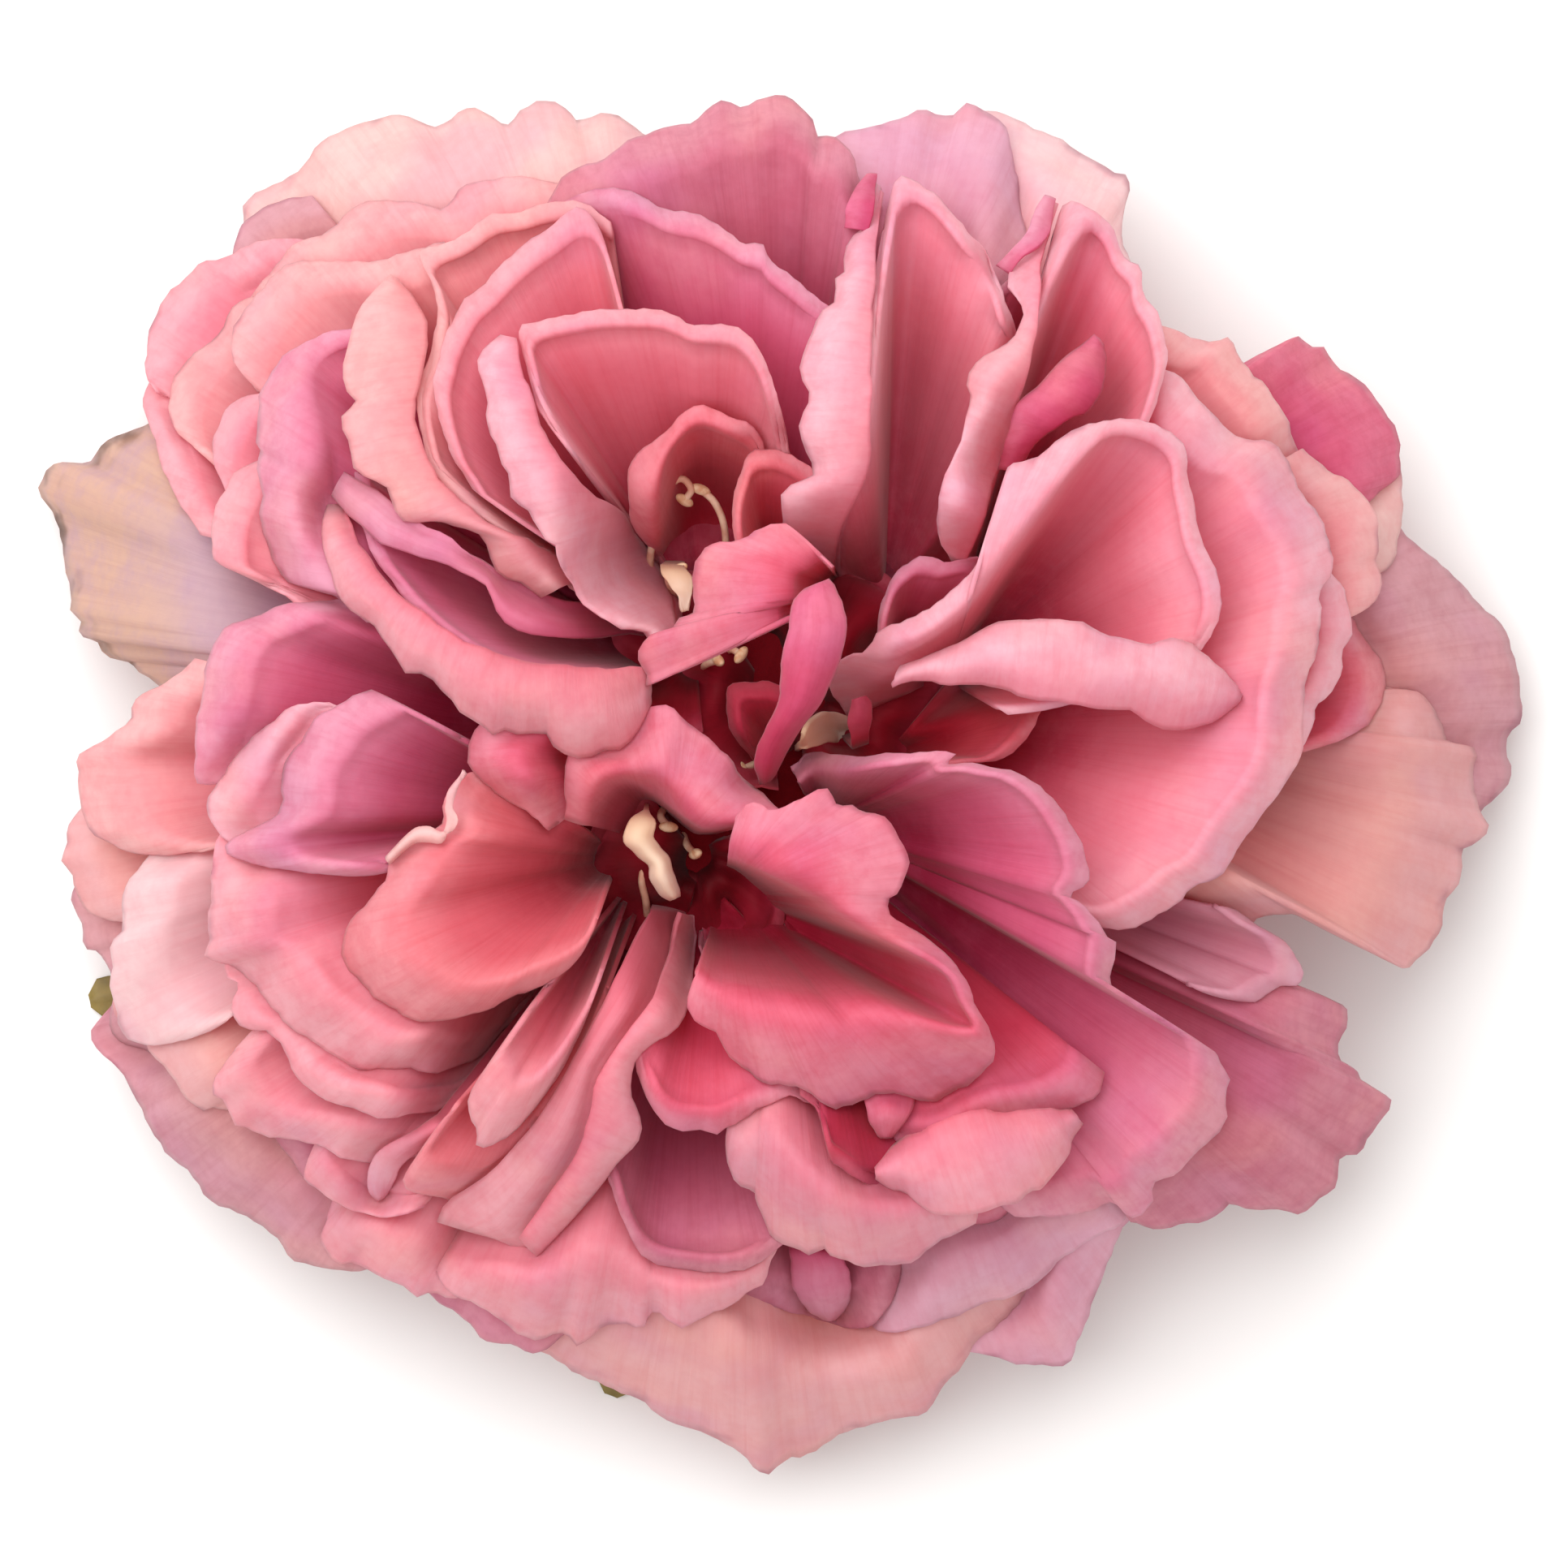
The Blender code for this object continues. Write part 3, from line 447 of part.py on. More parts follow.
GUARDS = [
    scoop("west_second_lobe", root=(-10.4, 5.6), fold=0.9, crest=(-3.0, -1.0, -2.0), lip=(-6.0, -5.0, -5.0),
          rim=[(-32.6, 9.6), (-34.2, 10.8), (-36.0, 10.0), (-37.7, 9.9), (-39.0, 10.5), (-39.8, 11.8),
               (-40.2, 13.0), (-40.3, 15.0), (-39.5, 16.3), (-38.8, 17.7), (-36.6, 18.6)]),
    scoop("west_third_lobe", root=(-10.2, 6.8), fold=0.92, crest=-2.0, lip=-5.0, claw=2.0,
          rim=[(-37.0, 16.0), (-38.8, 18.0), (-39.5, 18.8), (-40.3, 20.0), (-40.6, 21.3), (-39.7, 22.8),
               (-38.0, 23.4), (-36.2, 23.6)]),
    scoop("north_west_salmon", root=(-7.8, 9.0), fold=0.9, crest=-2.0, lip=-4.0,
          rim=[(-36.4, 26.4), (-38.6, 28.4), (-38.9, 30.2), (-38.0, 31.8), (-37.0, 32.7), (-36.5, 33.8),
               (-35.5, 34.5), (-33.0, 34.2), (-31.0, 34.0), (-28.0, 34.6), (-25.6, 35.4)]),
    scoop("west_pale_fan", root=(-9.6, 7.8), fold=0.92, crest=-4.0, lip=-6.0,
          rim=[(-39.0, 20.4), (-41.2, 21.6), (-42.8, 22.3), (-43.7, 23.5),
               (-43.8, 25.0), (-43.2, 26.5), (-42.5, 27.5), (-41.3, 28.2), (-40.3, 30.2), (-38.0, 30.8),
               (-35.6, 30.6)]),
    scoop("north_west_back", root=(-5.8, 10.2), fold=0.9, crest=-3.0, lip=-5.0,
          rim=[(-37.4, 33.0), (-36.2, 34.5), (-34.7, 36.6), (-32.5, 37.3), (-30.9, 38.9), (-29.0, 39.6),
               (-26.5, 39.5), (-24.3, 38.8), (-23.0, 40.7), (-20.0, 41.1), (-17.0, 41.0), (-14.7, 40.5),
               (-12.0, 39.6)]),
    scoop("west_outer_upper", root=(-8.6, 9.6), fold=0.9, crest=-2.0, lip=-4.0,
          rim=[(-44.0, 26.4), (-45.2, 27.5), (-45.3, 29.0), (-45.6, 30.0), (-45.2, 31.2), (-44.5, 32.2),
               (-43.5, 33.0), (-42.5, 33.9), (-41.5, 34.0), (-40.0, 34.7), (-38.0, 35.0), (-36.0, 34.6)]),
    scoop("west_outer_lower", root=(-10.6, 7.6), fold=0.9, crest=-3.0, lip=-5.0,
          rim=[(-40.6, 15.6), (-42.4, 17.6), (-44.2, 19.8), (-45.6, 22.0), (-46.4, 23.3), (-46.2, 23.9),
               (-45.8, 25.0), (-45.7, 26.3), (-45.2, 27.5), (-43.6, 29.0)]),
    scoop("west_salmon_guard", root=(-12.6, -1.0), fold=0.86, crest=(-4.0, -5.0, -5.0),
          lip=(-8.0, -11.0, -12.0, -9.0),
          rim=[(-41.0, 6.4), (-42.7, 5.0), (-44.0, 4.6), (-45.5, 4.0), (-46.0, 2.7), (-47.5, 1.8),
               (-49.0, 1.4), (-50.0, 1.0), (-50.1, 0.0), (-49.9, -1.0), (-49.7, -2.5), (-49.1, -3.8),
               (-47.0, -4.8), (-44.0, -5.0), (-41.0, -4.6)]),
    scoop("west_white_lobe", root=(-12.6, -4.4), fold=0.86, crest=(-4.0, -3.0, -3.0),
          lip=(-7.0, -8.0, -9.0, -8.0),
          pleats=((0.45, 0.03, 0.8),),
          rim=[(-38.4, -4.4), (-40.5, -4.9), (-42.0, -4.8), (-43.5, -5.8), (-44.5, -7.0), (-45.5, -8.2),
               (-46.5, -9.3), (-46.8, -11.0), (-47.3, -12.2), (-48.0, -12.8), (-47.9, -14.0),
               (-48.3, -15.3), (-48.4, -16.5), (-48.2, -17.8), (-47.4, -19.0), (-45.0, -19.2),
               (-41.6, -18.0)]),
    scoop("south_west_peach", root=(-11.6, -7.2), fold=0.86, crest=(-4.0, -4.0, -4.0),
          lip=(-8.0, -9.0, -9.0),
          pleats=((0.35, 0.04, 0.7), (0.6, 0.04, 0.7)),
          rim=[(-46.6, -17.4), (-47.4, -18.8), (-47.0, -20.0), (-45.7, -20.7), (-45.0, -22.0),
               (-43.5, -23.5), (-42.3, -25.0), (-41.5, -25.4), (-41.0, -24.9), (-40.5, -25.2),
               (-39.4, -24.6), (-37.6, -23.0), (-35.6, -20.8)]),
    scoop("west_peach_guard", root=(-12.9, -2.8), fold=0.88, crest=-8.0, lip=(-11.0, -13.0, -12.0),
          rim=[(-46.6, -3.0), (-49.8, -3.9), (-51.0, -4.8), (-51.1, -5.8), (-51.4, -6.8), (-50.9, -7.4),
               (-50.9, -8.3), (-50.4, -9.4), (-48.0, -10.0), (-44.6, -9.4)]),
    scoop("west_brown_guard", root=(-12.4, -5.8), fold=0.88, crest=-10.0, lip=-13.0,
          rim=[(-48.6, -8.0), (-50.5, -10.0), (-51.1, -10.6), (-50.5, -11.5), (-50.1, -12.2),
               (-50.0, -13.4), (-49.2, -13.5), (-48.5, -14.4), (-48.4, -16.0), (-48.8, -17.0),
               (-48.6, -18.6), (-46.0, -19.6)]),
    scoop("south_west_mauve", root=(-8.6, -10.8), fold=0.86, crest=(-6.0, -6.0, -8.0),
          lip=(-10.0, -11.0, -12.0),
          rim=[(-30.6, -32.4), (-31.2, -34.3), (-31.8, -35.5), (-32.6, -36.3), (-32.2, -37.3),
               (-31.7, -38.0), (-30.5, -37.9), (-29.0, -38.4), (-28.0, -39.0), (-27.3, -39.2),
               (-27.0, -39.9), (-26.0, -39.7), (-24.7, -40.2), (-23.6, -39.4), (-22.2, -37.4)]),
    scoop("south_west_guard", root=(-11.0, -8.4), fold=0.8, crest=(-7.0, -6.0, -8.0),
          lip=(-11.0, -13.0, -13.8, -13.8, -13.0),
          rim=[(-47.0, -19.0), (-49.3, -21.0), (-49.0, -22.0), (-48.0, -23.2), (-47.0, -24.2),
               (-46.5, -25.3), (-45.7, -26.5), (-45.0, -28.0), (-44.5, -29.2), (-43.4, -30.0),
               (-42.6, -31.0), (-41.5, -32.3), (-40.0, -33.1), (-39.0, -33.6), (-38.0, -34.5),
               (-37.0, -35.3), (-36.6, -36.3), (-35.5, -36.8), (-34.0, -37.2), (-32.2, -37.4),
               (-30.0, -36.0)]),
    scoop("south_west_small_guard", root=(-7.4, -11.6), fold=0.9, crest=-9.0, lip=-14.0,
          rim=[(-25.6, -38.6), (-24.0, -40.8), (-23.0, -41.7), (-22.0, -43.0), (-21.3, -44.0),
               (-20.0, -44.1), (-19.0, -44.5), (-18.3, -44.6), (-17.0, -43.6), (-15.4, -42.0)]),
    scoop("north_west_guard", root=(-4.4, 11.8), fold=0.8, crest=(-7.0, -4.0, -4.0, -5.0),
          lip=(-5.0, -4.4, -6.0, -9.0, -10.0),
          pleats=((0.42, 0.03, 0.9), (0.62, 0.02, 0.5)),
          rim=[(-36.0, 35.0), (-37.0, 36.8), (-37.8, 38.3), (-38.4, 40.0), (-37.0, 41.0), (-35.0, 42.0),
               (-33.5, 43.8), (-31.5, 45.2), (-29.0, 46.0), (-27.0, 45.8), (-25.2, 45.2), (-23.5, 46.4),
               (-22.0, 46.1), (-20.4, 45.3), (-19.8, 46.2), (-18.5, 47.0), (-16.8, 46.8), (-15.7, 45.7),
               (-14.0, 46.4), (-12.5, 45.9), (-11.0, 45.0), (-9.4, 43.8)]),
    scoop("west_withered", root=(-12.4, 3.4), fold=0.62, crest=(-6.0, -8.0, -9.0),
          lip=(-7.0, -6.0, -9.0, -12.0, -14.0),
          pleats=((0.5, 0.03, 0.8), (0.7, 0.03, 0.8)),
          rim=[(-44.6, 24.2), (-46.4, 23.6), (-48.0, 23.0), (-49.2, 22.0), (-50.3, 22.1), (-51.7, 22.1),
               (-52.7, 20.6), (-51.8, 19.5), (-51.1, 18.0), (-50.5, 16.5), (-50.5, 15.3), (-50.2, 13.5),
               (-50.1, 12.5), (-49.3, 12.0), (-49.5, 11.0), (-48.3, 10.9), (-47.9, 10.0), (-47.2, 9.5),
               (-46.0, 9.7), (-45.0, 8.7), (-44.0, 8.0), (-43.3, 7.1), (-42.8, 5.3), (-41.0, 4.0)]),
    scoop("north_guard", root=(5.6, 11.6), fold=0.78, crest=(-7.0, -6.0, -6.0, -8.0),
          lip=(-12.0, -13.0, -14.0, -13.0),
          pleats=((0.45, 0.05, 0.8),),
          rim=[(1.6, 43.4), (5.0, 45.0), (7.5, 45.9), (10.0, 47.0), (11.5, 47.7), (13.0, 47.6),
               (14.0, 47.9), (14.3, 48.6), (15.0, 48.7), (16.0, 47.8), (17.1, 47.2), (17.4, 45.0),
               (17.8, 42.0), (18.2, 39.0), (18.0, 36.0)]),
    scoop("north_east_guard", root=(8.6, 10.4), fold=0.82, crest=-8.0, lip=(-14.0, -13.6, -13.0, -13.0),
          pleats=((0.4, 0.05, 0.6),),
          rim=[(14.6, 46.6), (17.0, 47.5), (18.2, 47.9), (20.0, 47.0), (22.0, 46.0), (24.0, 45.0),
               (25.5, 44.4), (26.3, 44.1), (26.2, 43.0), (25.7, 41.8), (25.4, 40.0), (26.4, 37.0)]),
    scoop("east_magenta_back", root=(11.2, 8.0), fold=0.8, crest=-6.0, lip=(-7.0, -7.0, -6.0, -5.0),
          rim=[(35.6, 27.4), (36.8, 29.0), (38.3, 30.4), (40.2, 31.6), (41.0, 31.6), (41.7, 31.0),
               (42.5, 31.0), (43.2, 30.0), (45.0, 29.4), (46.2, 28.3), (47.1, 27.0), (47.9, 25.6),
               (48.1, 24.3), (48.0, 23.5), (46.2, 22.3), (44.6, 20.8), (42.4, 19.6)]),
    scoop("east_cream_lobe", root=(12.2, 6.0), fold=0.88, crest=-7.0, lip=-9.0, claw=2.0,
          rim=[(46.4, 24.4), (48.1, 23.7), (48.7, 23.3), (48.7, 21.5), (48.4, 19.5), (48.0, 17.3),
               (47.0, 16.6), (45.4, 16.6)]),
    scoop("east_guard", root=(13.0, 1.8), fold=0.72, crest=(-8.0, -8.0, -8.0),
          lip=(-12.0, -9.0, -6.6, -8.0, -13.0),
          pleats=((0.75, 0.03, 0.9),),
          rim=[(46.0, 16.0), (48.0, 17.3), (49.5, 16.2), (51.0, 15.0), (53.0, 14.0), (55.0, 12.2),
               (56.5, 11.0), (57.4, 9.8), (58.1, 8.0), (58.4, 6.5), (58.4, 5.0), (57.5, 4.0),
               (57.5, 2.8), (58.1, 1.3), (57.5, 0.2), (56.0, -0.8), (55.0, -2.3), (54.3, -3.5),
               (53.0, -5.4), (50.6, -6.4)]),
    scoop("south_guard", root=(-0.8, -12.6), fold=0.72, crest=(-10.0, -9.0, -9.0, -10.0),
          lip=(-16.0, -16.0, -15.4, -16.0, -18.0, -18.0),
          pleats=((0.3, 0.03, 0.6), (0.5, 0.025, 0.9), (0.68, 0.03, 0.6)),
          rim=[(-18.6, -43.4), (-17.0, -44.1), (-16.3, -44.5), (-15.5, -45.2), (-14.0, -46.4),
               (-13.0, -47.1), (-11.0, -47.9), (-9.0, -48.9), (-8.0, -50.0), (-7.0, -50.5), (-5.8, -51.0),
               (-4.0, -52.0), (-3.0, -52.6), (-2.0, -53.4), (-1.3, -54.4), (-0.6, -54.9), (0.2, -54.5),
               (1.0, -54.0), (1.6, -54.0), (3.5, -52.8), (4.7, -52.3), (7.0, -51.7), (9.0, -51.3),
               (10.0, -51.3), (10.8, -51.0), (11.5, -50.0), (12.0, -49.0), (13.0, -48.0), (13.8, -47.0),
               (14.3, -46.3), (15.5, -45.6), (17.0, -44.2), (18.4, -42.0), (19.0, -39.4)]),
    scoop("south_east_point", root=(4.8, -12.2), fold=0.82, crest=-11.0, lip=(-17.0, -18.0, -18.6, -17.0),
          pleats=((0.5, 0.05, -1.2),),
          rim=[(13.6, -44.6), (15.5, -45.7), (17.0, -46.0), (18.2, -46.3), (19.0, -46.8), (20.2, -47.1),
               (21.2, -47.5), (22.2, -47.6), (22.8, -47.1), (23.0, -46.0), (23.4, -45.0), (23.9, -44.0),
               (24.2, -42.5), (24.7, -41.0), (25.3, -39.6), (26.0, -38.5), (27.0, -37.0), (28.6, -35.0)]),
]

PETALS = (MIDDLE + SOUTH_EAST_TOP + NORTH_EAST + NORTH_WEST + WEST + NORTH + EAST
          + SOUTH + SOUTH_EAST_LOW + GUARDS)

# Stamens in the two open hollows: foot, tip and how far the thread bows.
STAMENS = (
    ((-5.4, 11.6), (-5.8, 19.2, 24.0), 1.0), ((-3.4, 12.4), (-2.8, 18.4, 23.0), -0.8),
    ((-1.4, 12.0), (-1.6, 15.4, 25.0), 0.6), ((-4.4, 10.4), (-4.6, 11.8, 26.0), 0.4),
    ((-6.4, -8.6), (-7.9, -7.2, 27.0), 0.8), ((-5.0, -9.6), (-5.6, -10.2, 25.0), -0.6),
    ((-4.0, -7.4), (-4.2, -7.8, 23.0), 0.5), ((-1.6, 3.6), (-1.4, 4.8, 25.0), 0.6),
    ((0.8, 4.0), (0.9, 5.8, 24.0), -0.6), ((6.0, 0.4), (6.2, 1.2, 30.0), 0.5),
)
STAMEN_RADIUS = 0.55
ANTHER_SIZE = (1.5, 1.0, 0.9)


def bloom_height(xy):
    """Height of the bloom's outer form over points of the plan."""
    reach = np.hypot(xy[..., 0] - BLOOM_MIDDLE[0], xy[..., 1] - BLOOM_MIDDLE[1]) / BLOOM_REACH
    return BLOOM_TOP * (1.0 - reach ** BLOOM_ROUNDNESS)


def dome_height(xy):
    """Height of the receptacle over points of the plan, zero outside it."""
    reach = np.hypot(xy[..., 0] - DOME_MIDDLE[0], xy[..., 1] - DOME_MIDDLE[1]) / DOME_RADIUS
    return np.where(reach < 1.0, DOME_BASE + DOME_RISE * np.sqrt(np.maximum(0.0, 1.0 - reach ** 2)), 0.0)


def smooth_curve(points, steps=8):
    """Many points on a smooth curve through a few."""
    p = np.array(points, float)
    p = np.vstack([2 * p[0] - p[1], p, 2 * p[-1] - p[-2]])
    t = np.linspace(0.0, 1.0, steps, endpoint=False)[:, None]
    pieces = []
    for a, b, c, d in zip(p[:-3], p[1:-2], p[2:-1], p[3:]):
        pieces.append(0.5 * (2 * b + (c - a) * t + (2 * a - 5 * b + 4 * c - d) * t ** 2
                             + (3 * b - a - 3 * c + d) * t ** 3))
    return np.vstack(pieces + [p[-2:-1]])


def run_lengths(curve):
    return np.concatenate([[0.0], np.cumsum(np.linalg.norm(np.diff(curve, axis=0), axis=1))])


def spaced(points, shares):
    """Points of the smooth curve at these shares of its length."""
    curve = smooth_curve(points)
    length = run_lengths(curve)
    return np.stack([np.interp(shares * length[-1], length, curve[:, k]) for k in (0, 1)], axis=1)


def values(given, count):
    """A number, or a few spread evenly, as one value for each of count places."""
    few = np.atleast_1d(np.array(given, float))
    if len(few) == 1:
        return np.full(count, few[0])
    return np.interp(np.linspace(0.0, 1.0, count), np.linspace(0.0, 1.0, len(few)), few)


def polar(points, root):
    """Each point's distance from the root, and its direction, which never turns back along the line."""
    offset = points - root
    angle = np.unwrap(np.arctan2(offset[:, 1], offset[:, 0]))
    sign = 1.0 if angle[-1] > angle[0] else -1.0
    angle = np.maximum.accumulate(sign * angle)
    angle = angle + np.linspace(0.0, LEAST_FAN, len(angle))
    return np.linalg.norm(offset, axis=1), angle, sign


def smoothed(grid, rounds, axis):
    """The grid with each inner value drawn to its neighbours along an axis."""
    for _ in range(rounds):
        inner = 0.25 * np.take(grid, range(0, grid.shape[axis] - 2), axis)
        inner = inner + 0.5 * np.take(grid, range(1, grid.shape[axis] - 1), axis)
        inner = inner + 0.25 * np.take(grid, range(2, grid.shape[axis]), axis)
        first = np.take(grid, [0], axis)
        last = np.take(grid, [-1], axis)
        grid = np.concatenate([first, inner, last], axis)
    return grid


def scoop_sheet(petal):
    """The petal's points, across by along, from its root to its rim."""
    count = FINE_ACROSS + 1
    root = np.array(petal["root"], float)
    reach, angle, sign = polar(spaced(petal["rim"], np.linspace(0.0, 1.0, count)), root)
    ray = np.stack([np.cos(sign * angle), np.sin(sign * angle)], axis=1)
    inner = petal["claw"] / 2
    if isinstance(petal["fold"], float):
        fold_reach = inner + (reach - inner) * petal["fold"]
    else:
        drawn, drawn_angle, _ = polar(smooth_curve(petal["fold"]), root)
        shift = 2 * np.pi * np.round((angle.mean() - drawn_angle.mean()) / (2 * np.pi))
        fold_reach = np.interp(angle, drawn_angle + shift, drawn)
    fold_reach = np.clip(fold_reach, inner + 0.5, np.maximum(reach - NARROWEST_LIP, inner + 1.0))
    claw = root + ray * inner
    fold = root + ray * fold_reach[:, None]
    rim = root + ray * reach[:, None]
    foot = dome_height(root) - ROOT_DEPTH
    crest_height = bloom_height(fold) + values(petal["crest"], count)
    rim_height = np.maximum(bloom_height(rim) + values(petal["lip"], count),
                            crest_height - LIP_STEEPNESS * (reach - fold_reach))
    rise = np.linspace(0.0, 1.0, WALL_ROWS + 1)[None, :, None]
    drop = np.linspace(0.0, 1.0, LIP_ROWS + 1)[None, 1:, None]
    plan = np.concatenate([claw[:, None] * (1 - rise) + fold[:, None] * rise,
                           fold[:, None] * (1 - drop) + rim[:, None] * drop], axis=1)
    wall = foot + (crest_height[:, None] - foot) * rise[..., 0] ** petal["belly"]
    lip = crest_height[:, None] + (rim_height - crest_height)[:, None] * drop[..., 0] ** 1.7
    height = smoothed(np.concatenate([wall, lip], axis=1), 3, 1)
    across = np.linspace(0.0, 1.0, count)[:, None]
    along = np.linspace(0.0, 1.0, WALL_ROWS + LIP_ROWS + 1)[None, :]
    for place, width, depth in petal["pleats"]:
        height = height - depth * np.exp(-((across - place) / width) ** 2) * along ** 2
    return np.dstack([plan, height])


def strip_sheet(petal):
    """The same for a narrow curled petal: a stalk, then its length between the margins."""
    count = FINE_ACROSS + 1
    length_rows = WALL_ROWS + LIP_ROWS + 1 - STALK_ROWS
    shares = np.linspace(0.0, 1.0, length_rows)
    left, right = spaced(petal["left"], shares), spaced(petal["right"], shares)
    across = np.linspace(0.0, 1.0, count)[:, None, None]
    blade = left[None] * (1 - across) + right[None] * across
    middle = 0.5 * (left + right)
    height = bloom_height(middle) + values(petal["lift"], length_rows)
    height = height[None, :] + petal["arch"] * (1 - (2 * across[..., 0] - 1) ** 2)
    root = np.array(petal["root"], float)
    start = blade[:, :1]
    claw = root + (start - middle[0]) * 0.7
    rise = np.linspace(0.0, 1.0, STALK_ROWS, endpoint=False)[None, :, None]
    stalk = claw * (1 - rise) + start * rise
    foot = dome_height(root) - ROOT_DEPTH
    stalk_height = foot + (height[:, :1] - foot) * rise[..., 0] ** 1.6
    plan = np.concatenate([stalk, blade], axis=1)
    return np.dstack([plan, smoothed(np.concatenate([stalk_height, height], axis=1), 2, 1)])


def cells(xy):
    """The cells of the plan that these points lie over."""
    index = ((xy + FIELD) / CELL).astype(int)
    return index[..., 0], index[..., 1]


def lowest_around(field, reach):
    """Each cell's lowest value within so many cells of it."""
    out = field.copy()
    for _ in range(reach):
        for axis in (0, 1):
            for shift in (-1, 1):
                out = np.minimum(out, np.roll(out, shift, axis))
    return out


def corner_shares():
    """The shares of a triangle's three corners at points spread evenly over it."""
    steps = SAMPLES_ALONG_EDGE
    shares = []
    for i in range(steps + 1):
        for j in range(steps + 1 - i):
            shares.append((i / steps, j / steps, 1 - (i + j) / steps))
    return np.array(shares)


def zipped(first, second):
    """Triangles between two rows of points with different counts, given by their numbers."""
    triangles = []
    i = j = 0
    while i < len(first) - 1 or j < len(second) - 1:
        next_i = (i + 1) / max(1, len(first) - 1) if i < len(first) - 1 else 2.0
        next_j = (j + 1) / max(1, len(second) - 1) if j < len(second) - 1 else 2.0
        if next_i <= next_j:
            triangles.append((first[i], first[i + 1], second[j]))
            i += 1
        else:
            triangles.append((first[i], second[j + 1], second[j]))
            j += 1
    return triangles


def half_heights(corners):
    """Half a blade's height over each triangle, more where it is steep."""
    normal = np.cross(corners[:, 1] - corners[:, 0], corners[:, 2] - corners[:, 0])
    upright = np.abs(normal[:, 2]) / np.maximum(np.linalg.norm(normal, axis=1), 1e-9)
    return PETAL_THICKNESS / 2 / np.maximum(upright, 1 / STEEPEST)


def moved(points, triangles, shares, excess):
    """How far each point has to give way, from what its triangles' points exceed."""
    give = np.zeros(len(points))
    for corner in range(3):
        near = shares[:, corner] > 0.3
        np.maximum.at(give, triangles[:, corner], excess[:, near].max(axis=1))
    return give


def laid(sheets, floor):
    """Each sheet pressed below all that come before it, but not into the surface that the bloom lies on."""
    ceiling = np.full(floor.shape, 200.0)
    shares = corner_shares()
    out = []
    for points, triangles in sheets:
        points = points.copy()
        plan = np.einsum("sk,tkx->tsx", shares, points[triangles][..., :2])
        where = cells(plan)
        roof = lowest_around(ceiling, 1)[where] - CLEARANCE
        roof = np.maximum(roof, dome_height(plan) - ROOT_DEPTH)
        ground = floor[where]
        for _ in range(LAYING_ROUNDS):
            half = half_heights(points[triangles])[:, None]
            height = points[triangles][..., 2] @ shares.T
            points[:, 2] -= moved(points, triangles, shares, height + half - roof)
        for _ in range(LAYING_ROUNDS):
            half = half_heights(points[triangles])[:, None]
            height = points[triangles][..., 2] @ shares.T
            points[:, 2] += moved(points, triangles, shares, ground - height + half)
        half = half_heights(points[triangles])[:, None]
        height = points[triangles][..., 2] @ shares.T
        np.minimum.at(ceiling, where, height - half)
        out.append(points)
    return out


def sepal_lines():
    """Each sepal's middle line, half widths and heights, from the hip to its tip on the surface."""
    lines = []
    share = np.linspace(0.0, 1.0, 9)
    for angle, reach in SEPAL_REACHES:
        turn = np.radians(angle + 3.0 * np.sin(share * 3.0))
        distance = 3.0 + (reach - 3.0) * share
        middle = np.stack([distance * np.cos(turn), distance * np.sin(turn)], axis=1)
        width = 0.5 * SEPAL_WIDTH * (0.35 + 0.65 * np.sin(np.pi * np.minimum(1.0, share * 0.92 + 0.16)))
        width[-1] = 0.5
        height = SEPAL_THICKNESS / 2 + 7.0 * (1.0 - share) ** 3.2
        lines.append((middle, width, height))
    return lines


def sepal_floor():
    """The lowest that the petals may lie: on the surface, and clear above the sepals."""
    size = int(2 * FIELD / CELL) + 1
    axis = (np.arange(size) + 0.5) * CELL - FIELD
    x, y = np.meshgrid(axis, axis, indexing="ij")
    floor = np.zeros((size, size))
    for middle, width, height in sepal_lines():
        for share in np.linspace(0.0, 1.0, 80):
            at = share * (len(middle) - 1)
            centre = [np.interp(at, range(len(middle)), middle[:, k]) for k in (0, 1)]
            room = np.interp(at, range(len(middle)), width) + SEPAL_ROOM
            top = np.interp(at, range(len(middle)), height) + SEPAL_THICKNESS / 2 + 0.9
            near = np.hypot(x - centre[0], y - centre[1]) / room
            fade = np.clip(1.6 - near, 0.0, 1.0) / 0.6
            floor = np.maximum(floor, top * np.clip(fade, 0.0, 1.0))
    return floor


def clear_scene():
    for obj in list(bpy.data.objects):
        bpy.data.objects.remove(obj, do_unlink=True)


def material(name, colour, roughness):
    made = bpy.data.materials.new(name)
    made.use_nodes = True
    shader = made.node_tree.nodes["Principled BSDF"]
    shader.inputs["Base Color"].default_value = colour
    shader.inputs["Roughness"].default_value = roughness
    return made


def object_of(name, vertices, faces, surface):
    """A mesh object from points in millimetres, its faces turned outwards."""
    mesh = bpy.data.meshes.new(name)
    mesh.from_pydata([tuple(v * MM) for v in vertices], [], faces)
    shape = bmesh.new()
    shape.from_mesh(mesh)
    bmesh.ops.recalc_face_normals(shape, faces=shape.faces)
    shape.to_mesh(mesh)
    shape.free()
    mesh.materials.append(surface)
    obj = bpy.data.objects.new(name, mesh)
    bpy.context.scene.collection.objects.link(obj)
    return obj


def point_normals(points, triangles):
    """A unit normal at each point, the mean of its triangles' by their area."""
    corners = points[triangles]
    across = np.cross(corners[:, 1] - corners[:, 0], corners[:, 2] - corners[:, 0])
    normal = np.zeros_like(points)
    for corner in range(3):
        np.add.at(normal, triangles[:, corner], across)
    return normal / np.maximum(np.linalg.norm(normal, axis=1, keepdims=True), 1e-9)


def outline(triangles):
    """The numbers of the points round the edge of a sheet, in order."""
    edges = [(int(t[k]), int(t[k - 2])) for t in triangles for k in range(3)]
    shared = set(edges)
    following = {a: b for a, b in edges if (b, a) not in shared}
    start = next(iter(following))
    ring = [start]
    while following[ring[-1]] != start:
        ring.append(following[ring[-1]])
    return ring


